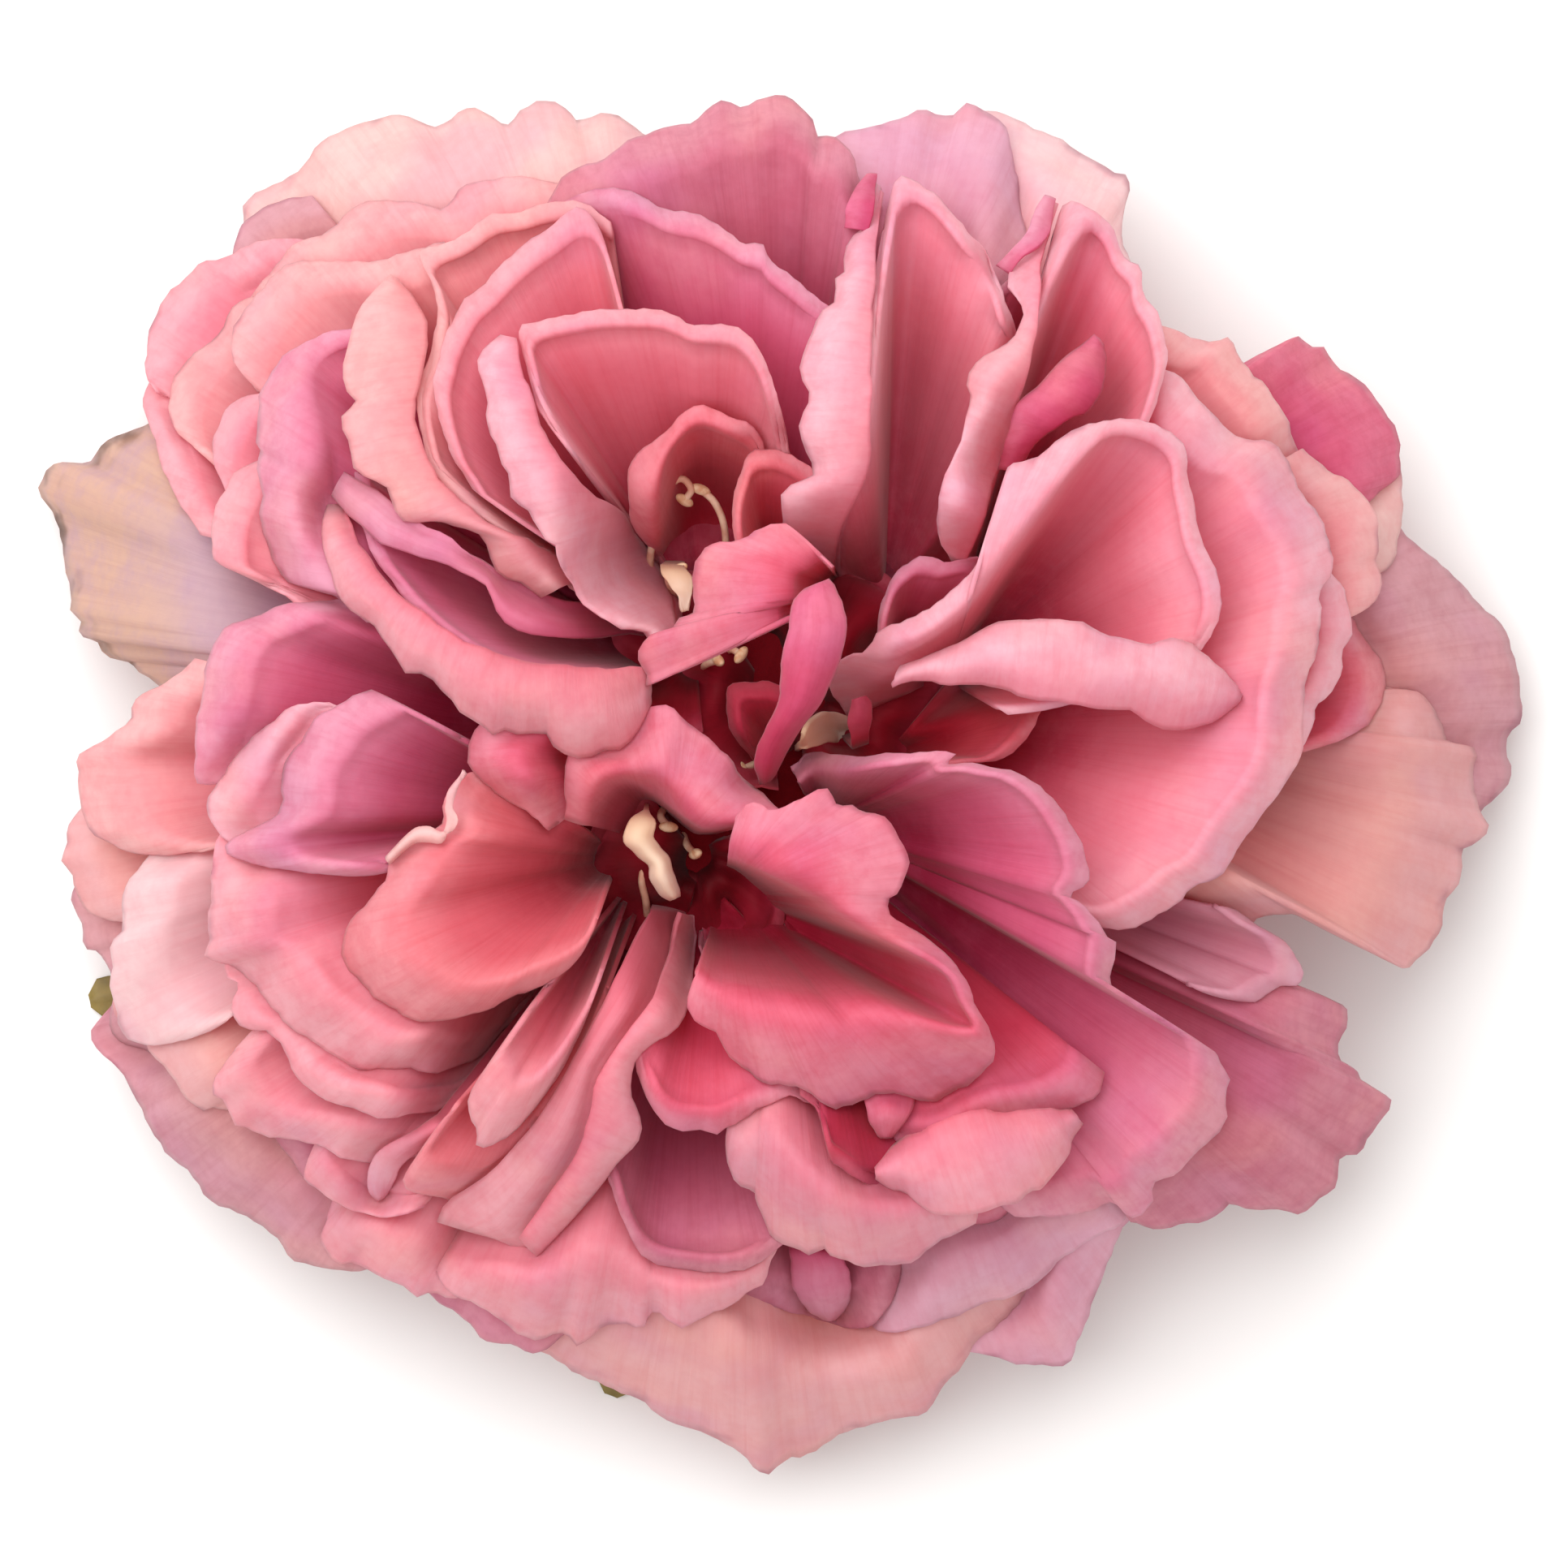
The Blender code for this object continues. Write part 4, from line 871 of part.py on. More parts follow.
def blade(name, points, triangles, thickness, surface):
    """A closed blade around a sheet of triangles, split alike on both faces."""
    offset = point_normals(points, triangles) * thickness / 2
    count = len(points)
    faces = [(a, b, c) for a, b, c in triangles]
    faces += [(count + a, count + c, count + b) for a, b, c in triangles]
    ring = outline(triangles)
    for a, b in zip(ring, ring[1:] + ring[:1]):
        faces += [(b, a, count + a), (b, count + a, count + b)]
    return object_of(name, np.vstack([points + offset, points - offset]), faces, surface)


def leaving_row(sheet):
    """The first row of a fine sheet that is clear of the core."""
    above = sheet[..., 2] > dome_height(sheet[..., :2]) + 1.0
    rows = np.nonzero(above.mean(axis=0) > 0.6)[0]
    return int(np.clip(rows[0] if len(rows) else 2, 2, WALL_ROWS - 6))


def faceted(petal, sheet):
    """A few points and triangles of a fine sheet: few where it leaves the core, more at its crest and rim."""
    rim_length = run_lengths(sheet[:, -1])[-1]
    most = int(np.clip(round(rim_length / FACET), 3, 9)) + 1
    last = WALL_ROWS + LIP_ROWS
    if petal["kind"] == "strip":
        rows = [(0, 2), (STALK_ROWS, 2)] + [(row, 3) for row in petal_rows(sheet)]
    else:
        leaving = leaving_row(sheet)
        rows = [(0, 2), (leaving, 2), (WALL_ROWS, most), (last, most)]
        wall = np.linalg.norm(sheet[FINE_ACROSS // 2, WALL_ROWS] - sheet[FINE_ACROSS // 2, leaving])
        if wall > LONG_WALL:
            rows.insert(2, ((leaving + WALL_ROWS + 1) // 2, (most + 2) // 2))
    points, triangles, before = [], [], None
    for row, columns in rows:
        numbers = list(range(len(points), len(points) + columns))
        points += [sheet[int(round(c)), row] for c in np.linspace(0, FINE_ACROSS, columns)]
        if before is not None:
            triangles += zipped(before, numbers)
        before = numbers
    return np.array(points), np.array(triangles)


def petal_rows(sheet):
    """The rows along a narrow petal's length, about one every few millimetres."""
    length = run_lengths(sheet[FINE_ACROSS // 2, STALK_ROWS:])[-1]
    pieces = int(np.clip(round(length / FACET), 2, 5))
    return np.round(np.linspace(STALK_ROWS, WALL_ROWS + LIP_ROWS, pieces + 1)).astype(int)[1:]


def turned(name, middle, profile, sides, surface):
    """A solid turned about an upright axis from a profile of radii and heights, closed below and above."""
    vertices = [(middle[0], middle[1], profile[0][1])]
    for radius, height in profile:
        for side in range(sides):
            angle = side / sides * 2 * np.pi
            vertices.append((middle[0] + radius * np.cos(angle), middle[1] + radius * np.sin(angle), height))
    vertices.append((middle[0], middle[1], profile[-1][1]))
    faces = []
    for side in range(sides):
        after = (side + 1) % sides
        faces.append((0, 1 + after, 1 + side))
        for ring in range(len(profile) - 1):
            a, b = 1 + ring * sides + side, 1 + ring * sides + after
            faces += [(a, b, b + sides), (a, b + sides, a + sides)]
        top = 1 + (len(profile) - 1) * sides
        faces.append((top + side, top + after, len(vertices) - 1))
    return object_of(name, np.array(vertices), faces, surface)


def core(surface):
    """The core, tapering to the hip below and domed above."""
    turn = np.radians((0.0, 38.0, 68.0))
    rings = [(DOME_RADIUS * np.cos(a), DOME_BASE + DOME_RISE * np.sin(a)) for a in turn]
    return turned("petals_and_stamens", DOME_MIDDLE, [CORE_FOOT] + rings, CORE_SIDES, surface)


def thread(name, points, radius, surface):
    """A three-sided tube along points, ending in a point-free cap."""
    points = np.array(points)
    ring = []
    for point in points:
        for side in range(3):
            angle = side / 3 * 2 * np.pi
            ring.append(point + radius * np.array([np.cos(angle), np.sin(angle), 0.0]))
    faces = [(2, 1, 0)]
    for k in range(len(points) - 1):
        for side in range(3):
            a, b = 3 * k + side, 3 * k + (side + 1) % 3
            faces += [(a, b, b + 3), (a, b + 3, a + 3)]
    last = 3 * (len(points) - 1)
    faces.append((last, last + 1, last + 2))
    return object_of(name, np.array(ring), faces, surface)


def stamen_parts(surface):
    """Each stamen's thread and the lozenge of its anther."""
    parts = []
    for number, (foot, tip, bow) in enumerate(STAMENS):
        start = np.array([foot[0], foot[1], dome_height(np.array(foot)) - 1.0])
        end = np.array(tip)
        middle = 0.5 * (start + end) + np.array([bow, 0.0, 0.0])
        parts.append(thread("thread_%02d" % number, [start, middle, end], STAMEN_RADIUS, surface))
        half = np.array(ANTHER_SIZE)
        corners = end + half * np.array([(1, 0, 0), (0, 1, 0), (-1, 0, 0), (0, -1, 0), (0, 0, 1), (0, 0, -1)])
        faces = [(a, (a + 1) % 4, 4) for a in range(4)] + [((a + 1) % 4, a, 5) for a in range(4)]
        parts.append(object_of("anther_%02d" % number, corners, faces, surface))
    return parts


def joined(base, parts):
    """One Boolean union of the parts with the base, without loose scraps or sealed hollows."""
    group = bpy.data.collections.new("parts of " + base.name)
    bpy.context.scene.collection.children.link(group)
    for part in parts:
        bpy.context.scene.collection.objects.unlink(part)
        group.objects.link(part)
    union = base.modifiers.new("union", "BOOLEAN")
    union.operation = "UNION"
    union.operand_type = "COLLECTION"
    union.collection = group
    union.solver = "MANIFOLD"
    bpy.context.view_layer.update()
    evaluated = base.evaluated_get(bpy.context.evaluated_depsgraph_get())
    mesh = bpy.data.meshes.new_from_object(evaluated)
    base.modifiers.remove(union)
    base.data = mesh
    for part in parts:
        bpy.data.objects.remove(part, do_unlink=True)
    bpy.data.collections.remove(group)
    keep_largest(mesh)
    return base


def keep_largest(mesh):
    """Drops every piece of the surface but the one with most faces: scraps, and the walls of hollows."""
    shape = bmesh.new()
    shape.from_mesh(mesh)
    bmesh.ops.triangulate(shape, faces=shape.faces)
    bmesh.ops.remove_doubles(shape, verts=shape.verts, dist=MERGE_WITHIN * MM)
    bmesh.ops.dissolve_degenerate(shape, edges=shape.edges, dist=MERGE_WITHIN * MM)
    unseen = set(shape.faces)
    groups = []
    while unseen:
        seed = unseen.pop()
        group, front = {seed}, [seed]
        while front:
            face = front.pop()
            for edge in face.edges:
                if len(edge.link_faces) != 2:
                    continue
                for other in edge.link_faces:
                    if other not in group:
                        group.add(other)
                        front.append(other)
        unseen -= group
        groups.append(group)
    groups.sort(key=len)
    for group in groups[:-1]:
        bmesh.ops.delete(shape, geom=list(group), context="FACES")
    draw_together(shape)
    loose = [v for v in shape.verts if not v.link_faces]
    bmesh.ops.delete(shape, geom=loose, context="VERTS")
    print("kept", len(groups[-1]), "faces and dropped", [len(g) for g in groups[:-1]])
    shape.to_mesh(mesh)
    shape.free()


def face_normal(corners):
    return (corners[1] - corners[0]).cross(corners[2] - corners[0])


def may_draw(edge):
    """Whether the edge's second point can move onto its first without turning or doubling a face."""
    keep, gone = edge.verts
    shared = {e.other_vert(keep) for e in keep.link_edges} & {e.other_vert(gone) for e in gone.link_edges}
    if len(edge.link_faces) != 2 or len(shared) != 2:
        return False
    for face in set(gone.link_faces) - set(edge.link_faces):
        before = [v.co for v in face.verts]
        after = [keep.co if v is gone else v.co for v in face.verts]
        first, second = face_normal(before), face_normal(after)
        if first.dot(second) < 0.5 * first.length * second.length:
            return False
    return True


def draw_together(shape):
    """Draws the shortest edges to points, where the surface may come too close to an edge beside it."""
    short = [e for e in shape.edges if e.calc_length() < SHORTEST_EDGE * MM]
    short.sort(key=lambda e: e.calc_length())
    drawn = 0
    for edge in short:
        if edge.is_valid and may_draw(edge):
            bmesh.ops.pointmerge(shape, verts=list(edge.verts), merge_co=edge.verts[0].co.copy())
            drawn += 1
    print("short edges", len(short), "drawn together", drawn)


def hip(surface):
    """The hip, whose flat stem scar lies on the surface."""
    profile = ((SCAR_RADIUS, 0.0), (SCAR_RADIUS + 0.5, 0.8), (HIP_RADIUS, 3.6), (HIP_RADIUS, 6.2),
               (HIP_RADIUS - 0.9, HIP_TOP))
    return turned("hip_and_sepals", (0.0, 0.0), profile, 16, surface)


def sepal_blades(surface):
    """The five reflexed sepals, arched over their middle line and lying out along the surface."""
    blades = []
    for number, (middle, width, height) in enumerate(sepal_lines()):
        along = np.gradient(middle, axis=0)
        side = np.stack([-along[:, 1], along[:, 0]], axis=1) / np.linalg.norm(along, axis=1)[:, None]
        plan = np.stack([middle + side * (width * k)[:, None] for k in (-1.0, 0.0, 1.0)])
        points = np.dstack([plan, np.repeat(height[None], 3, axis=0)]).transpose(1, 0, 2).reshape(-1, 3)
        triangles = []
        for row in range(len(middle) - 1):
            triangles += zipped([3 * row, 3 * row + 1, 3 * row + 2], [3 * row + 3, 3 * row + 4, 3 * row + 5])
        blades.append(blade("sepal_%d" % number, points, np.array(triangles), SEPAL_THICKNESS, surface))
    return blades


def main():
    clear_scene()
    petal_surface = material("petal", PETAL_COLOUR, 0.6)
    calyx_surface = material("calyx", CALYX_COLOUR, 0.7)
    sheets = [scoop_sheet(p) if p["kind"] == "scoop" else strip_sheet(p) for p in PETALS]
    faceted_sheets = [faceted(p, s) for p, s in zip(PETALS, sheets)]
    settled = laid(faceted_sheets, sepal_floor())
    blades = [blade(p["name"], points, triangles, PETAL_THICKNESS, petal_surface)
              for p, points, (_, triangles) in zip(PETALS, settled, faceted_sheets)]
    bloom = joined(core(petal_surface), blades + stamen_parts(petal_surface))
    calyx = joined(hip(calyx_surface), sepal_blades(calyx_surface))
    for obj in (bloom, calyx):
        low = min((obj.matrix_world @ Vector(corner))[2] for corner in obj.bound_box)
        print(obj.name, len(obj.data.polygons), "triangles, lowest %.2f mm" % (low / MM))


if __name__ == "__main__":
    main()
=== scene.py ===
# %% [markdown]
# # A full-blown garden rose
#
# The bloom lies on its back, calyx down, and is seen from straight above. It is a very double rose whose
# petals stand in several quarters round a small open middle. Each petal rises steeply from the receptacle
# to a crest and rolls outwards to a pale, waved lip. This lesson builds the petals one by one as thin
# sheets, lays each one below those before it, and gives them their veins, blushes and worn edges.
#
# The solids of the part come first, as a fixed frame in metres. Everything else is made inside that frame.

import bmesh
import bpy
import numpy as np
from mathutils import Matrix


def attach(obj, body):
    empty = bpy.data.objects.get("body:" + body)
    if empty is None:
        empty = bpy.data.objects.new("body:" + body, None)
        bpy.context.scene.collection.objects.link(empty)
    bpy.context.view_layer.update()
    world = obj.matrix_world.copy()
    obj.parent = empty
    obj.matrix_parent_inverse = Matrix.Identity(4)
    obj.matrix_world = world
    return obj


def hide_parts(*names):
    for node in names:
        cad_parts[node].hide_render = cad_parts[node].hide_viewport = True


MM = 0.001

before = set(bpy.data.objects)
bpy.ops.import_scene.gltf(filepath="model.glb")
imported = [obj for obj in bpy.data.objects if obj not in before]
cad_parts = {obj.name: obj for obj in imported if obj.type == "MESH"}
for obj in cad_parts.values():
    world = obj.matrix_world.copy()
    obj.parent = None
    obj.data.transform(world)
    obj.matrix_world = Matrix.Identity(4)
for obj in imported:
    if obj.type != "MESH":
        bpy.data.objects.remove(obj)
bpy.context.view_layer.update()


# %% [markdown]
# ## Small helpers
#
# Colours are written as the red, green and blue of a screen, from 0 to 255, and turned into the linear
# values that a shader works with. Materials are node trees, so a helper adds a node, sets its values and
# links it.

# %% Objects, colours and nodes
def linked(name, data):
    """A new object of this data, in the scene."""
    made = bpy.data.objects.new(name, data)
    bpy.context.scene.collection.objects.link(made)
    return made


def shade(red, green, blue):
    """A screen colour as the linear colour that shaders use."""
    share = np.array([red, green, blue]) / 255.0
    linear = np.where(share <= 0.04045, share / 12.92, ((share + 0.055) / 1.055) ** 2.4)
    return (float(linear[0]), float(linear[1]), float(linear[2]), 1.0)


def fed(tree, sockets, sources):
    """Each socket linked to its source, or set to it where the source is a plain value."""
    for socket, source in zip(sockets, sources):
        if isinstance(source, bpy.types.NodeSocket):
            tree.links.new(source, socket)
        else:
            socket.default_value = source


def node(tree, kind, links=(), **values):
    """A new node with its properties set and its inputs linked."""
    made = tree.nodes.new(kind)
    for name, value in values.items():
        setattr(made, name, value)
    links = dict(links)
    fed(tree, [made.inputs[name] for name in links], links.values())
    return made


def new_material(name):
    made = bpy.data.materials.new(name)
    made.use_nodes = True
    made.node_tree.nodes.clear()
    return made, made.node_tree


def surface(tree, shader):
    """The shader as the material's surface."""
    node(tree, "ShaderNodeOutputMaterial", {"Surface": shader.outputs[0]})


def ramp(tree, share, stops):
    """A colour ramp through (place, colour) stops."""
    made = node(tree, "ShaderNodeValToRGB", {"Fac": share})
    made.color_ramp.interpolation = "EASE"
    points = made.color_ramp.elements
    while len(points) < len(stops):
        points.new(0.5)
    for point, (place, colour) in zip(points, stops):
        point.position = place
        point.color = shade(*colour)
    return made.outputs["Color"]


def mixed(tree, share, first, second, blend="MIX"):
    """Two colours mixed by a share, or blended in another way."""
    made = node(tree, "ShaderNodeMix", data_type="RGBA", blend_type=blend)
    fed(tree, (made.inputs[0], made.inputs[6], made.inputs[7]), (share, first, second))
    return made.outputs[2]


def reckoned(tree, operation, *numbers):
    """One step of arithmetic on sockets or numbers."""
    made = node(tree, "ShaderNodeMath", operation=operation)
    fed(tree, made.inputs, numbers)
    return made.outputs[0]


def eased(tree, share, start, end, most):
    """A smooth step of a share between two values, up to a most."""
    limits = {"Value": share, "From Min": start, "From Max": end, "To Min": 0.0, "To Max": most}
    return node(tree, "ShaderNodeMapRange", limits, interpolation_type="SMOOTHSTEP").outputs["Result"]


def noise(tree, scale, detail, place=None, **more):
    """The outputs of a noise over the object, or over another place."""
    if place is None:
        place = node(tree, "ShaderNodeTexCoord").outputs["Object"]
    chosen = {"Vector": place, "Scale": scale, "Detail": detail, **more}
    return node(tree, "ShaderNodeTexNoise", chosen).outputs


def relief(tree, height, strength, distance):
    """The normal of a surface that is raised by a height."""
    raised = {"Strength": strength, "Distance": distance, "Height": height}
    return node(tree, "ShaderNodeBump", raised).outputs["Normal"]


# %% [markdown]
# ## Camera
#
# The photograph looks straight down and shows no perspective to speak of, so a long lens stands far above
# the bloom. The lens is chosen so that the square frame takes in 115.9 mm at the height of the crests,
# which is what the photograph's 1932 pixels show at 0.06 mm a pixel. North in the tables below is up in the
# picture.

# %% A long lens above the bloom
FRAME_ACROSS = 115.92
FRAME_MIDDLE = (3.0, -3.0)
CREST_HEIGHT = 36.0
CAMERA_DISTANCE = 1500.0
SENSOR = 36.0

camera_data = bpy.data.cameras.new("camera")
camera_data.sensor_width = SENSOR
camera_data.lens = SENSOR * CAMERA_DISTANCE / FRAME_ACROSS
camera_data.clip_start = 0.05
camera_data.clip_end = 10.0
camera = linked("camera", camera_data)
camera.location = (FRAME_MIDDLE[0] * MM, FRAME_MIDDLE[1] * MM, (CREST_HEIGHT + CAMERA_DISTANCE) * MM)
bpy.context.scene.camera = camera
print("lens", round(camera_data.lens, 1), "mm")

# %% [markdown]
# ## Floor and light
#
# The studio is a plain pale floor, a broad soft lamp above the bloom's north-west and a pale sky that fills
# the shadows. Soft light matters here: the deep reds between the petals come partly from light that bounces
# from petal to petal and partly from painted shade, the dark reds given to the petals' roots and hollows, to
# the low inner petals and to the top of the receptacle.

# %% Floor, lamp and sky
FLOOR_REACH = 1.5
LAMP_PLACE = (-0.32, 0.42, 0.95)

floor_mesh = bpy.data.meshes.new("floor")
floor_corners = [(x * FLOOR_REACH, y * FLOOR_REACH, 0) for x, y in ((-1, -1), (1, -1), (1, 1), (-1, 1))]
floor_mesh.from_pydata(floor_corners, [], [(0, 1, 2, 3)])
floor = linked("floor", floor_mesh)
floor_paint, tree = new_material("floor_paint")
floor_looks = {"Base Color": shade(246, 245, 244), "Roughness": 0.9}
surface(tree, node(tree, "ShaderNodeBsdfPrincipled", floor_looks))
floor_mesh.materials.append(floor_paint)

lamp_data = bpy.data.lights.new("soft_lamp", "AREA")
lamp_data.shape = "DISK"
lamp_data.size = 1.3
lamp_data.energy = 13.5
lamp = linked("soft_lamp", lamp_data)
lamp.location = LAMP_PLACE
lamp.rotation_euler = (-lamp.location).to_track_quat("-Z", "Y").to_euler()

sky = bpy.data.worlds.new("pale_sky")
sky.use_nodes = True
sky_light = sky.node_tree.nodes["Background"].inputs
sky_light["Color"].default_value = shade(255, 252, 250)
sky_light["Strength"].default_value = 0.84
bpy.context.scene.world = sky
bpy.context.scene.view_settings.view_transform = "Standard"
print("lamp", lamp_data.energy, "W and a pale sky")

# %% [markdown]
# ## The form of the bloom
#
# The crests of the petals reach a low cushion, highest in the middle and falling to the surface at the
# outermost petals. The receptacle with the crowded claws of the petals on it is a dome in the middle. Both
# are simple rules of the place in plan, and every petal takes its heights from them. Lengths are in
# millimetres from here on, and points become metres only when a mesh is made.

# %% Cushion and dome
BLOOM_TOP = 44.0
BLOOM_REACH = 60.0
BLOOM_ROUNDNESS = 3.2
BLOOM_MIDDLE = (2.0, -2.0)
DOME_MIDDLE = (0.0, 0.5)
DOME_RADIUS = 21.0
DOME_BASE = 13.5
DOME_RISE = 9.5
ROOT_DEPTH = 2.6


def bloom_height(xy):
    """Height of the bloom's outer form over points of the plan."""
    reach = np.hypot(xy[..., 0] - BLOOM_MIDDLE[0], xy[..., 1] - BLOOM_MIDDLE[1]) / BLOOM_REACH
    return BLOOM_TOP * (1.0 - reach ** BLOOM_ROUNDNESS)


def dome_height(xy):
    """Height of the receptacle over points of the plan, zero outside it."""
    reach = np.hypot(xy[..., 0] - DOME_MIDDLE[0], xy[..., 1] - DOME_MIDDLE[1]) / DOME_RADIUS
    return np.where(reach < 1.0, DOME_BASE + DOME_RISE * np.sqrt(np.maximum(0.0, 1.0 - reach ** 2)), 0.0)


print("crests reach", float(bloom_height(np.array(BLOOM_MIDDLE))), "mm")

# %% [markdown]
# ## The petals, one by one
#
# A garden rose has no two petals alike, so each has its own entry. A scoop is an ordinary petal: its ribs
# fan out from its root, rise to the fold (the crest where it turns over) and run on to the rim. A strip is
# a narrow curled petal between two margins. The rims and folds are drawn in plan, in millimetres, as the
# eye sees them from above. The crest and lip say how far above or below the cushion the fold and the rim
# lie, and pleats press creases (place across, width, depth) into a blade. The quarters follow from the
# topmost petals to the lowest.

# %% How a petal is written down
def scoop(name, root, rim, fold=0.86, crest=0.0, lip=-2.5, belly=0.8, claw=3.0, pleats=()):
    """A petal whose ribs rise from its root to the fold and run on, domed for a belly below one."""
    return dict(kind="scoop", name=name, root=root, rim=rim, fold=fold, crest=crest, lip=lip,
                belly=belly, claw=claw, pleats=pleats)


def strip(name, left, right, lift, arch=1.0, root=None, lean=0.0):
    """A narrow curled petal between two margins or, without a root, a rolled lip, its rim on the left."""
    return dict(kind="strip", name=name, root=root, left=left, right=right, lift=lift, arch=arch, lean=lean)


# %% The petals in the very middle
MIDDLE = [
    strip("centre_curl", root=(2.2, -1.6), arch=1.7, lift=(-10.0, -5.0, -1.0, 0.5, 1.0, -1.0),
          left=[(1.3, -2.9), (0.9, -1.8), (1.1, -0.3), (1.9, 1.2), (2.7, 3.2), (2.9, 5.5), (3.3, 8.0),
                (3.7, 10.3), (4.6, 11.4)],
          right=[(1.9, -2.7), (2.5, -1.9), (3.3, -0.2), (4.3, 1.4), (5.8, 3.3), (6.9, 6.0), (7.5, 8.3),
                 (7.3, 10.4), (6.2, 12.0)]),
    scoop("centre_scoop", root=(8.0, 11.5), fold=0.3, crest=-2.0, lip=(-5.0, -6.0, -8.0, -5.0, -3.0, -3.0),
          rim=[(4.3, 8.6), (3.3, 9.0), (1.6, 7.9), (0.0, 7.1), (-2.2, 6.0), (-3.2, 4.4), (-5.0, 3.5),
               (-6.7, 3.2), (-6.8, 4.4), (-7.4, 5.8), (-6.7, 7.2), (-5.0, 7.3), (-4.7, 8.3), (-3.3, 8.9),
               (-3.8, 10.5), (-3.7, 12.2), (-3.2, 13.2), (-2.3, 13.8), (-0.9, 14.1), (0.5, 15.0),
               (1.8, 15.6), (3.0, 15.5), (4.0, 14.5), (5.2, 13.0), (5.9, 11.8)]),
    strip("centre_sliver", root=(7.4, 1.0), arch=0.5, lift=(-14.0, -12.0, -11.0),
          left=[(8.1, -0.2), (7.9, 1.6), (8.0, 3.2)],
          right=[(9.3, 0.2), (9.4, 2.3), (9.0, 3.5)]),
]

# %% Petaloids, and the low petals that line the hollows
PETALOIDS = [
    strip("cream_east", root=(3.6, -0.6), arch=0.9, lift=(-8.6, -8.2, -8.6),
          left=[(4.3, 0.2), (4.6, 1.3), (5.5, 2.1), (6.9, 2.4), (7.9, 2.1)],
          right=[(4.4, -0.2), (5.2, -0.2), (6.1, 0.0), (7.2, 0.2), (8.0, 0.6)]),
    strip("cream_north", root=(-5.0, 13.7), arch=0.4, lift=(-14.0, -13.4, -14.0),
          left=[(-6.2, 13.1), (-5.6, 11.8), (-4.9, 10.8), (-4.5, 9.8)],
          right=[(-4.4, 13.1), (-3.8, 12.0), (-4.0, 10.8), (-4.2, 9.8)]),
    strip("cream_south", root=(-7.3, -4.4), arch=1.2, lift=(-12.2, -10.8, -11.4, -11.0, -12.6),
          left=[(-7.4, -5.1), (-8.3, -5.7), (-8.7, -7.0), (-8.2, -8.0), (-7.0, -9.0), (-6.8, -10.2),
                (-5.4, -11.6)],
          right=[(-7.0, -5.1), (-6.7, -6.0), (-6.8, -7.0), (-6.2, -7.8), (-5.4, -8.8), (-5.2, -9.9),
                 (-4.8, -11.4)]),
    strip("cream_edge", arch=0.4, lift=(-2.6, -2.2, -1.9, -1.7, -1.8, -2.2),
          left=[(-20.7, -2.0), (-21.1, -3.2), (-21.4, -4.6), (-21.0, -5.8), (-21.7, -6.5), (-23.4, -6.2),
                (-24.6, -6.6), (-26.4, -8.4)],
          right=[(-20.5, -2.2), (-21.7, -3.6), (-22.1, -4.8), (-21.8, -5.6), (-22.2, -7.2), (-23.6, -7.1),
                 (-24.8, -7.6), (-26.2, -8.8)]),
]

# These low petals wear the dark inner finish: painted shade for the floors of the hollows.
INNER = [
    scoop("inner_flap", root=(3.6, -1.8), belly=0.7, crest=-12.5, lip=-13.5, claw=1.4,
          rim=[(0.6, -1.2), (-0.6, 0.4), (-1.4, 2.4), (-1.3, 4.2), (0.4, 4.3), (2.2, 4.1), (3.6, 3.4),
               (4.4, 1.6)]),
    scoop("inner_south", root=(-3.2, -8.8), belly=0.6, crest=(-15.0, -13.0, -13.0, -14.0), lip=-15.0,
          claw=1.6,
          rim=[(-7.6, -3.0), (-9.8, -4.4), (-11.6, -6.8), (-12.8, -9.6), (-12.6, -12.2), (-11.0, -14.6),
               (-8.6, -16.4), (-6.2, -17.0)]),
    scoop("inner_south_east", root=(-3.6, -8.0), belly=0.7, crest=-15.5, lip=-16.5, claw=1.4,
          rim=[(-6.4, -15.6), (-4.0, -17.4), (-1.0, -17.4), (1.6, -15.4), (2.8, -12.6), (2.6, -9.6),
               (1.0, -6.6)]),
    scoop("inner_east", root=(4.8, 3.4), belly=0.6, crest=(-14.0, -12.0, -11.0, -12.0, -13.0),
          lip=(-15.0, -14.0, -13.0, -14.0, -15.0), claw=1.4,
          rim=[(4.4, -1.6), (7.6, -3.2), (11.4, -3.0), (14.2, -0.4), (15.2, 3.2), (15.0, 7.2), (13.0, 10.4),
               (10.6, 12.6), (7.6, 13.6)]),
    scoop("inner_north", root=(1.6, 7.0), belly=0.7, crest=-14.0, lip=-15.0, claw=1.4,
          rim=[(8.6, 8.0), (9.4, 11.6), (8.0, 14.6), (5.6, 16.6), (3.0, 17.0), (0.6, 15.6)]),
    scoop("inner_west", root=(-3.6, 6.4), belly=0.7, crest=-14.5, lip=-15.5, claw=1.4,
          rim=[(-3.0, 0.8), (-5.4, 0.4), (-8.4, 1.4), (-10.6, 4.2), (-10.4, 7.6), (-8.8, 10.4),
               (-6.2, 12.4), (-3.6, 13.0)]),
    scoop("inner_middle", root=(2.0, 3.4), belly=0.8, crest=-17.0, lip=-18.0, claw=1.4,
          rim=[(2.6, -3.4), (-0.6, -3.2), (-3.4, -2.0), (-5.2, 0.4), (-5.6, 3.6), (-4.6, 6.6), (-2.4, 8.8)]),
]

